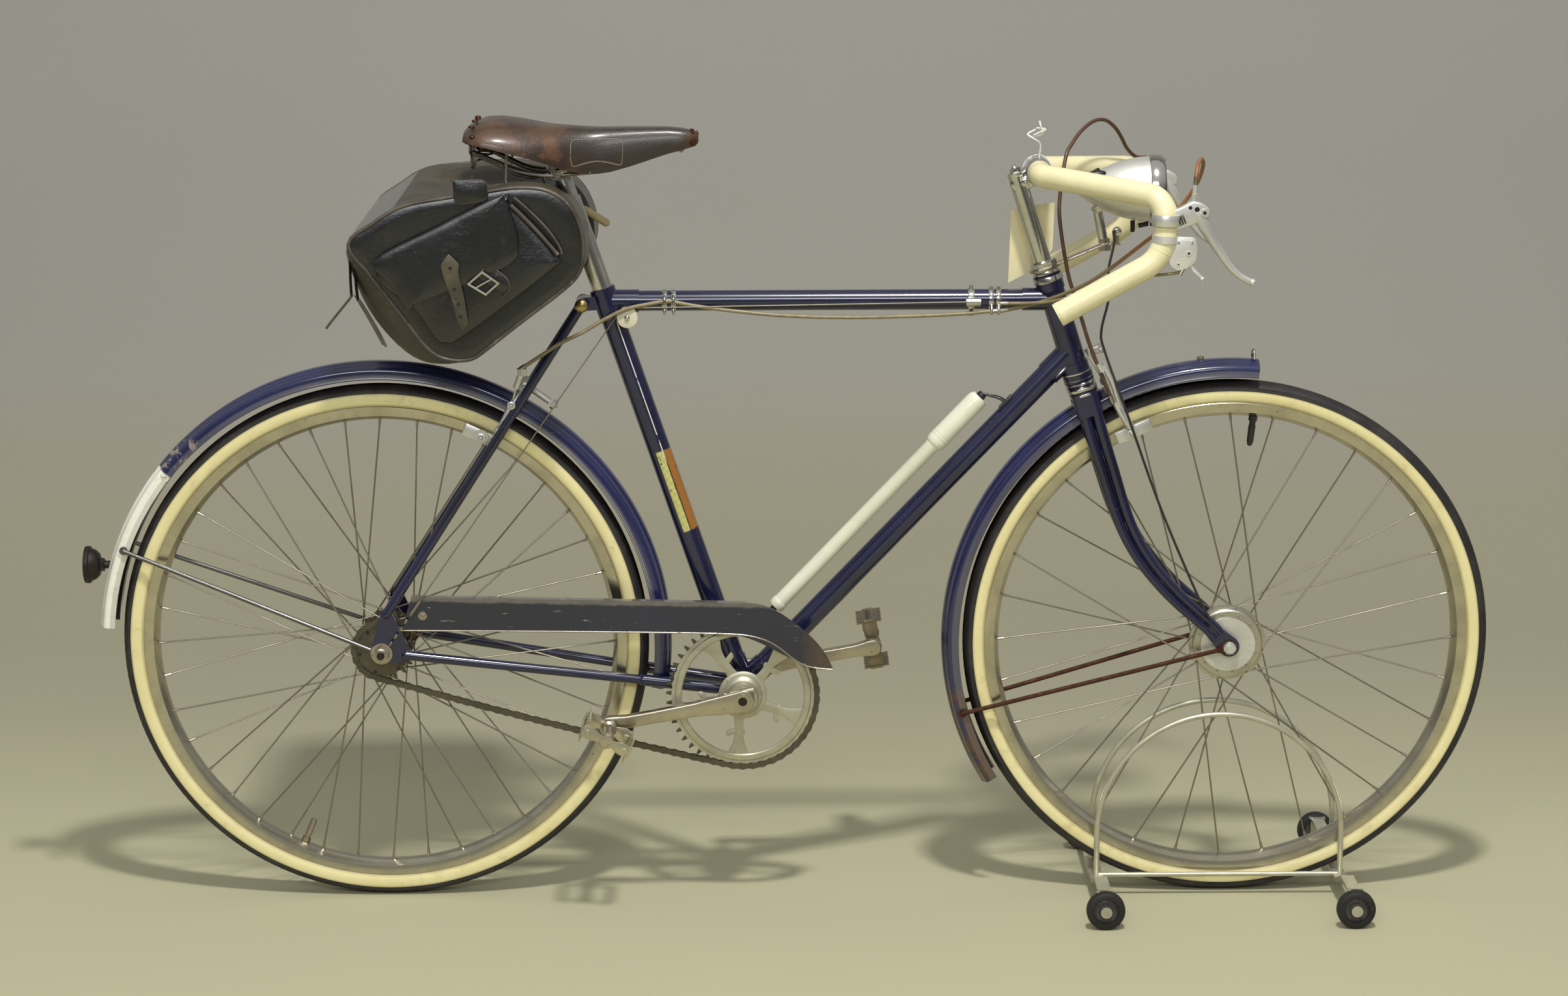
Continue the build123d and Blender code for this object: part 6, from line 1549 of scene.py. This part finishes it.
# ---- Chain guard --------------------------------------------------------------------------
def chain_guard_finish():
    made, tone, chips, cloud, scuffs = enamel("chain_guard_enamel", colour(20, 22, 42), 0.15)
    top = bracket.z + 0.122
    ahead = made.axis("x") - (bracket.x + 0.030)
    drop = made.math("MAXIMUM", ahead, 0.0)
    behind = made.math("MAXIMUM", (bracket.x + 0.006) - made.axis("x"), 0.0)
    rim = made.axis("z") - top + drop * drop * 8.6 + drop * 0.12 - behind * 0.024
    # Grey-brown along the top bead: worn paint, and partly a painted highlight on the rolled edge.
    worn_and_highlit_top = made.step(rim + made.noise(60, 5, 0.7) * 0.006 - 0.003, -0.0075, -0.0040) * 0.8
    tip = made.step(ahead + made.noise(50, 5, 0.7) * 0.02, 0.046, 0.078) * 0.75
    tone = made.mix(worn_and_highlit_top, tone, made.mix(made.noise(90, 4), colour(84, 78, 72), colour(130, 124, 116)))
    tone = made.mix(tip, tone, made.mix(made.noise(90, 4), colour(52, 38, 30), colour(92, 74, 58)))
    scratches = made.step(made.noise(200, 6, 0.7, made.stretched(0.15, 1, 1)), 0.63, 0.70)
    scratches = scratches * made.band(rim, -0.045, -0.002, 0.004)
    tone = made.mix(scratches * 0.7, tone, colour(186, 178, 158))
    return finish_enamel(made, tone, chips, cloud, scuffs)


def chain_guard():
    made = chain_guard_finish()
    NODES["chain_guard"].data.materials.clear()
    NODES["chain_guard"].data.materials.append(made)
    bm = bmesh.new()
    bead, face = -55.6, -59.6
    line = [spot(rear_axle, 38, 68.5, bead)] + in_plane(bracket, bead, (
        (-120, 112.8), (-60, 118.2), (-10, 118.8), (30, 112.5), (60, 95.5), (84, 71)))
    line += [spot(bracket, 102, 47, -56.5), spot(bracket, 111, 37, -58)]
    hose(bm, line, 0.0044, fine=8, sides=4, swell=[1, 1, 1, 1, 1, 1, 0.9, 0.6, 0.3])
    low = [spot(rear_axle, 25, 29, face)] + in_plane(bracket, face, (
        (-36, 84.5), (20, 82), (50, 62), (62, 50), (84, 36.5), (112, 36)))
    hose(bm, low, 0.0011, dyed=1, fine=8, sides=2)
    at = spot(rear_axle, 52, 48, -59.8)
    rod(bm, at, at - Y * 0.002, 0.006, 0.0055, 20, 1)
    hexagon(bm, at - Y * 0.002, -Y, 0.0042, 0.003, dyed=1)
    piece(bm, "chain_guard_beads", "frame", [made, dull_chrome], (), 50)


chain_guard()


# ---- Brakes -------------------------------------------------------------------------------
def holder(bm, axle, turn, bolt_back):
    """Rubber blocks in their bright holders, hugging the rim at an angle about the axle."""
    mid = around(axle, turn, 0.2965)
    out, along = ray(math.radians(turn)), ray(math.radians(turn - 90))
    turned = axes(along, out, along.cross(out))
    for side in (-1, 1):
        block(bm, (0.046, 0.0105, 0.0070), Matrix.Translation(mid + Y * side * 0.0215) @ turned, 0.0012, dyed=1)
        block(bm, (0.047, 0.0150, 0.0030), Matrix.Translation(mid + Y * side * 0.0264) @ turned, 0.0010)
        for way in (-1, 1):
            grip = mid + Y * side * 0.0238 + out * way * 0.0068
            block(bm, (0.047, 0.0018, 0.0076), Matrix.Translation(grip) @ turned, 0.0006)
        at = mid + Y * side * 0.0278 + along * bolt_back
        collar(bm, at, Y * side, [(0, 0), (8.6, 0), (9.2, 0.8), (8.8, 2.0), (0, 2.6)], 32)
        hexagon(bm, at + Y * side * 0.0022, Y * side, 0.0062, 0.0048, dome=0.0032)


def front_brake():
    bm = bmesh.new()
    holder(bm, front_axle, 114.2, -0.004)
    hanger = spot(front_axle, -169, 371, -10)
    block(bm, (0.012, 0.022, 0.010), facing(steer_up, hanger), 0.002)
    for far in (-17, 17):
        collar(bm, hanger + Y * far / 2000, steer_forward, [(0, 4), (4.6, 4), (4.6, 8), (3.6, 9), (0, 9)], 24)
    for foot in ((-184, 352, -12), (-163, 354, -24), (-178, 352, 6)):
        wire(bm, [hanger, spot(front_axle, *foot)], [], 0.0012)
    for side in (-1, 1):
        arm = [spot(front_axle, x, z, y * side) for x, z, y in ((-176, 364, 20), (-158, 337, 28),
                                                                (-148, 315, 31), (-139, 294, 31),
                                                                (-126, 276, 30))]
        hose(bm, arm, 0.0042, fine=6, sides=4, swell=[0.8, 1.0, 1.1, 1.1, 1.3])
        rod(bm, spot(front_axle, -178, 366, 24 * side), spot(front_axle, -170, 354, 24 * side), 0.0034,
            sides=16)
        pivot = spot(front_axle, -152, 325, 29 * side)
        collar(bm, pivot, Y * side, [(0, 0), (7.6, 0), (7.6, 3), (5.6, 5), (0, 5.4)], 28)
    bolt = on_steer(0.364, 0.028)
    collar(bm, bolt, steer_forward, [(0, 0), (8.5, 0), (8.5, 1.6), (4.6, 1.8), (4.6, 8), (3.4, 9.5), (0, 10)],
           28)
    hexagon(bm, bolt + steer_forward * 0.0018, steer_forward, 0.0066, 0.0046)
    wire(bm, [spot(front_axle, *at) for at in ((-161, 355, -38), (-150, 334, -36), (-143, 312, -34),
                                               (-137, 296, -30))], [0.03, 0.03], 0.0034)
    rod(bm, spot(front_axle, -168, 358, -38), spot(front_axle, -163, 348, -38), 0.0046, sides=6)
    piece(bm, "front_brake_forged", "root", [alloy, block_rubber], ["front_brake"])


def rear_brake():
    bm = bmesh.new()
    holder(bm, rear_axle, 64.6, 0.0)
    for side in (-1, 1):
        arm = [spot(rear_axle, x, z, y * side) for x, z, y in ((182, 328, 10), (172, 318, 26), (162, 300, 31),
                                                               (150, 278, 31), (139, 256, 30))]
        hose(bm, arm, 0.0040, fine=6, sides=4, swell=[1.3, 1.2, 1.0, 1.0, 1.2])
        tip = spot(rear_axle, 150, 276, 31 * side)
        collar(bm, tip, Y * side, [(0, 0), (6.4, 0), (6.4, 3), (4.4, 5), (0, 5.4)], 28)
    pivot = spot(rear_axle, 181, 328.6)
    rod(bm, pivot - Y * 0.018, pivot + Y * 0.018, 0.0060, sides=24)
    for side in (-1, 1):
        hexagon(bm, pivot + Y * 0.017 * side, Y * side, 0.0072, 0.0050, dome=0.003)
    bolt = spot(rear_axle, 211, 307)
    along = (pivot - bolt).normalized()
    rod(bm, bolt, pivot, 0.0042, sides=16)
    hexagon(bm, bolt - along * 0.004, -along, 0.0070, 0.0052, dome=0.003)
    stub = spot(rear_axle, 180, 351, -38)
    rod(bm, stub, spot(rear_axle, 172, 330, -34), 0.0044, 0.0040, 20)
    rod(bm, stub - Z * 0.004, stub + Z * 0.004, 0.0064, sides=6)
    rod(bm, spot(rear_axle, 172, 330, -34), spot(rear_axle, 166, 309, -31), 0.0013, sides=10)
    hexagon(bm, spot(rear_axle, 166, 309, -34), -Y, 0.0056, 0.0046, dome=0.003)
    piece(bm, "rear_brake_forged", "frame", [alloy, block_rubber], ["rear_brake"])


front_brake()
rear_brake()


# ---- Cables, clips and the hub gear's wire ------------------------------------------------
def strung(points, fine=7):
    """More points along an open smooth line through the ones given."""
    points = [Vector(point) for point in points]
    points = [points[0] * 2 - points[1]] + points + [points[-1] * 2 - points[-2]]
    near = zip(points, points[1:], points[2:], points[3:])
    made = [curve_point(a, b, c, d, step / fine) for a, b, c, d in near for step in range(fine)]
    return made + [points[-2]]


def cable(name, body, points, radius, finish, stands_for=(), crossing=None):
    """A sheathed cable along a smooth line. Bright ferrules close its ends."""
    line = strung(points)
    bm = bmesh.new()
    hose(bm, line, radius, order=2, fine=1, sides=4)
    for end, inner in ((line[0], line[2]), (line[-1], line[-3])):
        along = (inner - end).normalized()
        rod(bm, end - along * 0.0005, end + along * 0.010, radius * 1.22, sides=20, dyed=1)
    made = piece(bm, name, None if crossing else body, [finish, dull_chrome], stands_for)
    if crossing:
        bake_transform(made)


lever_loop = spot(hook_top, 34, 40.5)
front_anchor = on_steer(0.364, 0.027)
front_anchor = front_anchor + (front_axle - front_anchor).normalized() * 0.025 - Y * 0.038
seat_pin = spot(seat_joint, -30, -3)
rear_anchor = spot(rear_axle, 175.7, 353, -38)


def cables():
    c = clamp_centre
    course = [*spots(lever_loop, (0, -9, 162), (-4, -6, 159), (-12, -4, 152), (-25, -2, 142)),
              *spots(c, (134, 2, 132), (121, 14, 119), (112, 30, 105), (102, 44, 91), (89, 54, 77),
                     (73, 55, 58), (56, 45, 40), (43, 31, 22), (34, 15, 8), (26, -31, -12), (26, -62, -19),
                     (35, -119, -26), (44, -150, -29), (55, -185, -32), (66, -218, -35)), front_anchor]
    cable("front_brake_cable_sheath", "root", course, 0.0024, brown_sheath, ["front_brake_cable"])
    clip = spot(seat_joint, 486, -12, -16)
    course = [*spots(lever_loop, (0, 0, -162), (1, 11, -161), (4, 23, -152), (9, 28, -141), (13, 21, -129),
                     (11, 6, -120), (4, -11, -114), (-11, -33, -110), (-35, -62, -102), (-60, -85, -92),
                     (-93, -114, -75), (-122, -136, -55), (-155, -154, -35), (-188, -166, -22)), clip]
    cable("rear_brake_cable_loop", "root", course, 0.0024, orange_sheath, ["rear_brake_cable_front"],
          crossing=("root", "frame", spot(lever_loop, -11, -33, -110), clip))
    course = [clip, *spots(seat_joint, (468, -13, -16.4), (440, -15.5, -16), (385, -18, -15.6),
                           (300, -19.5, -15.2), (220, -17, -15.1), (150, -10, -15.1), (102, -3, -15.3),
                           (77, 1.5, -15.4), (51, -1.5, -19.1), (24, -7, -23.1), (-2, -19, -27.1),
                           (-29, -34, -33.1), (-57, -47, -37.1), (-74, -58, -38)), rear_anchor]
    cable("rear_brake_cable_sheath", "frame", course, 0.0024, tan_sheath, ["rear_brake_cable"])
    trigger_end = spot(hook_top, 22, -57.5, -166)
    course = [trigger_end, *spots(hook_top, (18, -62.5, -166), (1, -66.5, -159), (-23, -71.5, -139),
                                  (-54, -82.5, -109), (-88, -101.5, -71), (-120, -116, -42), (-150, -121, -27)),
              spot(seat_joint, 486, -2, -20)]
    cable("gear_cable_loop", "root", course, 0.0019, tan_sheath, ["gear_cable_front"],
          crossing=("root", "frame", spot(hook_top, -23, -71.5, -139), spot(seat_joint, 486, -2, -20)))
    bm = bmesh.new()
    band = [(12.7, -3), (13.5, -3), (13.9, -2.4), (13.9, 2.4), (13.5, 3), (12.7, 3)]
    for x in (475.5, 484.5):
        collar(bm, spot(seat_joint, x, 0), X, band, 48)
        wire(bm, spots(seat_joint, (x, -5, -14), (x, -12, -19.5), (x, -16, -15)), 0.004, 0.0018)
        hexagon(bm, spot(seat_joint, x, 12.5), Z, 0.0030, 0.0030)
    rod(bm, spot(seat_joint, 462, -0.6, -17.6), spot(seat_joint, 444, -0.6, -17.4), 0.0052, sides=24)
    for x in (446, 450, 454, 458):
        collar(bm, spot(seat_joint, x, -0.6, -17.5), X, [(4.8, -0.8), (5.7, -0.8), (5.7, 0.8), (4.8, 0.8)], 24)
    collar(bm, spot(seat_joint, 451, 0), X, [(12.7, -4), (13.4, -4), (13.7, -3), (13.7, 3), (13.4, 4),
                                             (12.7, 4)], 48)
    rod(bm, spot(seat_joint, 451, 12, 0), spot(seat_joint, 451, 17.5, 0), 0.0024, sides=14)
    rod(bm, spot(seat_joint, 451, -12, -5), spot(seat_joint, 451, -20, -5), 0.0028, sides=14)
    for x in (72, 83):
        collar(bm, spot(seat_joint, x, 0), X, band, 48)
        wire(bm, spots(seat_joint, (x, 8, -12.5), (x, 5, -18.5), (x, -3, -18.5)), 0.004, 0.0018)
        wire(bm, spots(seat_joint, (x, -9, -11), (x, -16, -13), (x, -14, -5)), 0.003, 0.0016)
    wheel = spot(seat_joint, 26, -18, -17)
    block(bm, (0.013, 0.004, 0.020), facing(Z, wheel + Z * 0.008 + Y * 0.006), 0.001)
    rod(bm, wheel - Y * 0.004, wheel + Y * 0.008, 0.0032, sides=16)
    ball(bm, wheel - Y * 0.0045, 0.0034, (1, 0.6, 1))
    piece(bm, "cable_clips", "frame", bright_chrome)
    bm = bmesh.new()
    collar(bm, wheel, Y, [(2.5, -3.2), (11.6, -3.4), (12.8, -3.0), (11.4, -0.8), (11.4, 0.8), (12.8, 3.0),
                          (11.6, 3.4), (2.5, 3.2)], 48)
    piece(bm, "gear_pulley", "frame", horn)
    bm = bmesh.new()
    along = spot(rear_axle, 10, 16, -66) - wheel
    along.y = 0
    along.normalize()
    leave = wheel + Vector((along.z, 0, -along.x)) * 0.0118
    reach = spot(rear_axle, 9, 10, -70)
    steps = [spot(seat_joint, 445, -0.6, -17.5), wheel + Vector((0.001, 0, 0.0118))]
    steps += [wheel + ray(turn) * 0.0118 for turn in (1.9, 2.25)] + [leave]
    hose(bm, steps + [leave.lerp(reach, 0.9)], 0.0008, order=2, fine=1, sides=2)
    end = leave.lerp(reach, 0.9)
    rod(bm, leave.lerp(reach, 0.86), end, 0.0024, sides=12)
    for k in range(5):
        at = end.lerp(reach, k / 4.5)
        block(bm, (0.0030, 0.0026, 0.0062), facing(reach - end, at) @ Matrix.Rotation(k * math.pi / 2, 4, "Z"),
              0.0008)
    piece(bm, "gear_wire", "frame", spoke_steel)
    bm = bmesh.new()
    line = [spot(front_axle, *at) for at in ((-150, 519, -12), (-149, 503, -14), (-155.5, 471, -16),
                                             (-153, 454, -18), (-156, 430, -20), (-164.5, 397, -30))]
    down = [spot(front_axle, *at) for at in ((-160, 372, -33), (-130, 290, -44), (-90, 180, -50),
                                             (-45, 75, -56), (-24, 34, -52))]
    hose(bm, strung(line + down), 0.0016, order=2, fine=1, sides=3)
    piece(bm, "lamp_wire", "root", black_sheath)


def loop_finish():
    """Orange-brown by the lever, dulled to olive further back."""
    made = Finish("loop_sheath")
    share = made.step(made.axis("x"), 0.44, 0.36)
    cloud = made.noise(90, 5, 0.6)
    tone = made.mix(share, colour(152, 102, 60), colour(128, 116, 82))
    made.paint(Base_Color=made.mix(cloud * 0.4, tone, colour(88, 70, 48)), Roughness=0.36 + cloud * 0.1)
    return made.material


orange_sheath = loop_finish()
horn = plain("horn", colour(222, 216, 190), 0.32, 0.3, 0.15, 120)
cables()


# ---- Seat pin and rear axle nuts ----------------------------------------------------------
def fittings():
    bm = bmesh.new()
    for side in (-1, 1):
        collar(bm, seat_pin + Y * 0.020 * side, Y * side, [(0, 0), (8.6, 0), (8.6, 2), (7.6, 4.4), (5, 6.2),
                                                           (0, 7.0)], 36)
    piece(bm, "seat_pin_bolt", "frame", brass)
    bm = bmesh.new()
    for side in (-1, 1):
        face = spot(rear_axle, 0, 0, 62 * side)
        collar(bm, face, Y * side, [(0, 0), (13.5, 0), (13.5, 1.6), (0, 1.8)], 40)
        hexagon(bm, face + Y * 0.0016 * side, Y * side, 0.0098, 0.0085)
        rod(bm, face, face + Y * 0.0135 * side, 0.0047, sides=20)
    piece(bm, "rear_axle_nuts", "frame", dull_chrome)


fittings()


# ---- Blank card, tie, reflector, castors and small fittings -------------------------------
def paper():
    """A blank card and its folded wing behind the stem, and the clear tie twisted round the bar clamp."""
    bm = bmesh.new()
    c = clamp_centre
    card = [(-31.2, -50.7), (-7, -46.5), (-7, -128), (-34, -142)]
    plate(bm, flat(c, card), 0.0009, side_on(0.0245))
    wing = [(-6, -46), (23, -42.5), (21, -100), (14, -112), (-6, -122)]
    plate(bm, flat(c, wing), 0.0009, side_on(0.0275))
    piece(bm, "blank_cards", "root", blank_card)
    bm = bmesh.new()
    line = [spot(c, x, z, y) for x, z, y in ((1.2, 15, 6), (2.3, 32.4, 2), (-6, 40, -3), (-13.6, 45.1, 0),
                                             (-4, 50, 6), (-1.5, 52.5, 2), (8.2, 51.2, -4), (0, 47, -1),
                                             (-6.2, 43, 3), (4.6, 45.1, 0), (2, 56, -2), (1, 61, 1))]
    hose(bm, strung(line, 5), 0.0012, order=2, fine=1, sides=2)
    turns = [FULL * k / 24 for k in range(25)]
    ring = [spot(c, 17.6 * math.cos(t), 17.6 * math.sin(t), 19 + 2 * math.sin(2 * t)) for t in turns]
    hose(bm, ring, 0.0010, order=2, fine=1, sides=2)
    piece(bm, "bag_tie", "root", tie_plastic)


tie_plastic = plain("tie_plastic", colour(232, 232, 226), 0.18, 0.4, 0.05)


def reflector():
    low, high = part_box("reflector")
    centre = Vector((low.x, 0, (low.z + high.z) / 2))
    bm = bmesh.new()
    collar(bm, centre, X, [(0, 1.0), (19.5, 1.0), (21.6, 0.4), (23.2, 0.2), (23.5, 2), (23.5, 5.5), (22.6, 6.4),
                           (21, 7), (18.4, 13), (14, 17.5), (8, 18.5), (0, 18.6)], 64)
    collar(bm, centre, X, [(0, -0.2), (10, 0.0), (19.6, 0.9), (19.6, 1.4), (0, 1.4)], 64, 1)
    for r in (5, 9, 13, 17):
        collar(bm, centre, X, [(r - 1.2, -0.1 + r * 0.04), (r, -0.5 + r * 0.04), (r + 1.2, -0.1 + r * 0.04),
                               (r, 1.0)], 64, 1)
    rod(bm, centre + X * 0.017, Vector((high.x - 0.001, 0, centre.z)), 0.0050, sides=20)
    hexagon(bm, centre + X * 0.0185, X, 0.0085, 0.0050)
    piece(bm, "reflector_cup", "frame", [dark_steel, lens_red], ["reflector"])


CASTORS = ("castor_back_left", "castor_back_right", "castor_front_left", "castor_front_right")


def castor(name):
    low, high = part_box(name)
    centre = (low + high) / 2
    side = 1 if centre.y > 0 else -1
    half, radius = (high.y - low.y) / 2, (high.z - low.z) / 2
    out = Y * side
    bm = bmesh.new()
    r, h = radius * 1000, half * 1000
    collar(bm, centre, out, [(r * 0.62, -h), (r * 0.88, -h), (r * 0.97, -h * 0.8), (r, -h * 0.45),
                             (r, h * 0.45), (r * 0.97, h * 0.8), (r * 0.88, h), (r * 0.66, h),
                             (r * 0.62, h * 0.8)], 64)
    collar(bm, centre, out, [(4.3, -h * 0.9), (r * 0.62, -h * 0.9), (r * 0.62, h * 0.72), (r * 0.56, h * 0.80),
                             (r * 0.52, h * 0.55), (r * 0.36, h * 0.50), (r * 0.32, h * 0.9), (4.3, h * 0.9)],
           56, 1)
    piece(bm, name + "_wheel", name, [castor_rubber, castor_disc], [name])


def stand_caps():
    bm = bmesh.new()
    for name in CASTORS:
        low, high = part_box(name)
        centre = (low + high) / 2
        side = 1 if centre.y > 0 else -1
        face = Vector((centre.x, side * max(abs(low.y), abs(high.y)), centre.z)) + Y * side * 0.001
        collar(bm, face, Y * side, [(0, 0), (6.8, 0), (6.8, 0.6), (5.6, 2.0), (0, 2.6)], 32)
        inner = Vector((centre.x, side * (min(abs(low.y), abs(high.y)) - 0.004), centre.z))
        top = Vector((inner.x, inner.y + side * 0.0035, 0.0440))
        block(bm, (0.021, 0.016, 0.0015), Matrix.Translation(top), 0.0005)
    piece(bm, "castor_axle_caps", "root", bright_chrome)


castor_disc = plain("castor_disc", colour(74, 72, 68), 0.42, 0.1, 0.25, 90)
paper()
reflector()
for castor_name in CASTORS:
    castor(castor_name)
stand_caps()


def front_fittings():
    bm = bmesh.new()
    for side, far in ((-1, -0.0475), (1, 0.0475)):
        face = Vector((front_axle.x, far, front_axle.z))
        collar(bm, face, Y * side, [(0, 0), (11, 0), (11, 1.4), (0, 1.6)], 36)
        hexagon(bm, face + Y * side * 0.0014, Y * side, 0.0088, 0.0072)
        rod(bm, face, face + Y * side * 0.0125, 0.0044, sides=20)
    piece(bm, "front_axle_nuts", "root", dull_chrome)
    bm = bmesh.new()
    at = around(front_axle, 96, FRONT_GUARD_RADIUS + 0.0005)
    hexagon(bm, at, (at - front_axle).normalized(), 0.0045, 0.003)
    tip = around(front_axle, 85.5, 0.3585)
    wire(bm, [tip + Y * 0.010, tip + Z * 0.010 + Y * 0.006, tip + Z * 0.010 - Y * 0.006, tip - Y * 0.010],
         [0.004, 0.004], 0.0016)
    piece(bm, "guard_tip_bracket", "root", dull_chrome)


front_fittings()


# ---- Floor, lights and camera -------------------------------------------------------------
def see_through_from_behind(material):
    """The backdrop hides nothing from a camera that stands behind it."""
    nodes, links = material.node_tree.nodes, material.node_tree.links
    output = next(node for node in nodes if node.type == "OUTPUT_MATERIAL")
    painted = output.inputs["Surface"].links[0].from_socket
    geometry, path, both, clear, blend = (nodes.new("ShaderNode" + kind) for kind in
                                          ("NewGeometry", "LightPath", "Math", "BsdfTransparent", "MixShader"))
    both.operation = "MULTIPLY"
    links.new(geometry.outputs["Backfacing"], both.inputs[0])
    links.new(path.outputs["Is Camera Ray"], both.inputs[1])
    links.new(both.outputs[0], blend.inputs[0])
    links.new(painted, blend.inputs[1])
    links.new(clear.outputs[0], blend.inputs[2])
    links.new(blend.outputs[0], output.inputs["Surface"])


def cove():
    """A floor that curves up into the backdrop."""
    bm = bmesh.new()
    bend, reach = 1.3, 1.9
    turns = [k * math.pi / 32 for k in range(1, 17)]
    run = [(-7.0, 0.0), (bend, 0.0)]
    run += [(bend + reach * math.sin(t), reach - reach * math.cos(t)) for t in turns]
    run += [(bend + reach, 7.0)]
    line = [bm.verts.new((-5, y, z)) for y, z in run]
    edges = [bm.edges.new(pair) for pair in zip(line, line[1:])]
    moved = bmesh.ops.extrude_edge_only(bm, edges=edges)["geom"]
    bmesh.ops.translate(bm, verts=[v for v in moved if isinstance(v, bmesh.types.BMVert)], vec=(10, 0, 0))
    if sum(face.normal.z for face in bm.faces) < 0:
        bmesh.ops.reverse_faces(bm, faces=bm.faces)
    mesh = bpy.data.meshes.new("backdrop")
    bm.to_mesh(mesh)
    mesh.shade_smooth()
    sheet = bpy.data.objects.new("backdrop", mesh)
    bpy.context.scene.collection.objects.link(sheet)
    made = Finish("backdrop_paint")
    # Painted light and shade on the backdrop: the floor is painted darker towards the wall, and the wall
    # lighter towards the top.
    floor_dimmed_to_back = made.mix(made.step(made.axis("y"), 0.0, 1.1), colour(184, 180, 148), colour(166, 161, 137))
    wall_lifted_to_top = made.mix(made.step(made.axis("z"), 0.3, 1.9), colour(164, 161, 153), colour(177, 178, 177))
    tone = made.mix(made.step(made.axis("z"), 0.0, 0.35), floor_dimmed_to_back, wall_lifted_to_top)
    made.paint(Base_Color=made.mix(made.noise(3, 3) * 0.12, tone, colour(150, 146, 128)))
    made.paint(Roughness=0.9)
    see_through_from_behind(made.material)
    mesh.materials.append(made.material)


def lamp(name, place, aim, size, power, tint=(1, 1, 1)):
    light = bpy.data.lights.new(name, "AREA")
    light.shape, light.size, light.size_y = "RECTANGLE", size[0], size[1]
    light.energy, light.color = power, tint
    holder = bpy.data.objects.new(name, light)
    holder.location = place
    holder.rotation_euler = (Vector(aim) - Vector(place)).to_track_quat("-Z", "Y").to_euler()
    bpy.context.scene.collection.objects.link(holder)


def studio():
    cove()
    lamp("key_light", (0.37, -1.83, 4.3), (0, 0, 0.3), (0.34, 0.34), 128, (1, 0.985, 0.95))
    lamp("front_box", (-0.6, -5.6, 3.4), (0, 0, 0.5), (3.4, 0.9), 105, (0.97, 0.99, 1))
    air = bpy.data.worlds.new("studio_air")
    air.use_nodes = True
    nodes, links = air.node_tree.nodes, air.node_tree.links
    shine = nodes["Background"]
    place, split, ramp = (nodes.new("ShaderNode" + kind) for kind in ("TexCoord", "SeparateXYZ", "ValToRGB"))
    links.new(place.outputs["Generated"], split.inputs[0])
    links.new(split.outputs[2], ramp.inputs[0])
    links.new(ramp.outputs[0], shine.inputs[0])
    stops = ramp.color_ramp.elements
    stops.new(0.3)
    for stop, (height, grey) in zip(stops, ((0.04, 0.10), (0.30, 0.36), (0.85, 0.60))):
        stop.position, stop.color = height, (grey, grey, grey * 0.98, 1)
    shine.inputs[1].default_value = 0.9
    bpy.context.scene.world = air
    bpy.context.scene.view_settings.view_transform = "Standard"


def camera():
    """Faces the chain side from above the saddle, tilted down."""
    yaw, pitch, roll = 0.0044145, 0.213892, -0.0038393
    forward = Vector((math.sin(yaw) * math.cos(pitch), math.cos(yaw) * math.cos(pitch), -math.sin(pitch)))
    right = Vector((math.cos(yaw), -math.sin(yaw), 0))
    up = right.cross(forward)
    right, up = (math.cos(roll) * right + math.sin(roll) * up, math.cos(roll) * up - math.sin(roll) * right)
    lens = bpy.data.cameras.new("camera")
    lens.lens, lens.sensor_width = 78.07, 36.0
    holder = bpy.data.objects.new("camera", lens)
    turn = axes(right, up, -forward)
    holder.matrix_world = Matrix.Translation((-0.0229, -4.1632, 1.4177)) @ turn
    bpy.context.scene.collection.objects.link(holder)
    bpy.context.scene.camera = holder


studio()
camera()
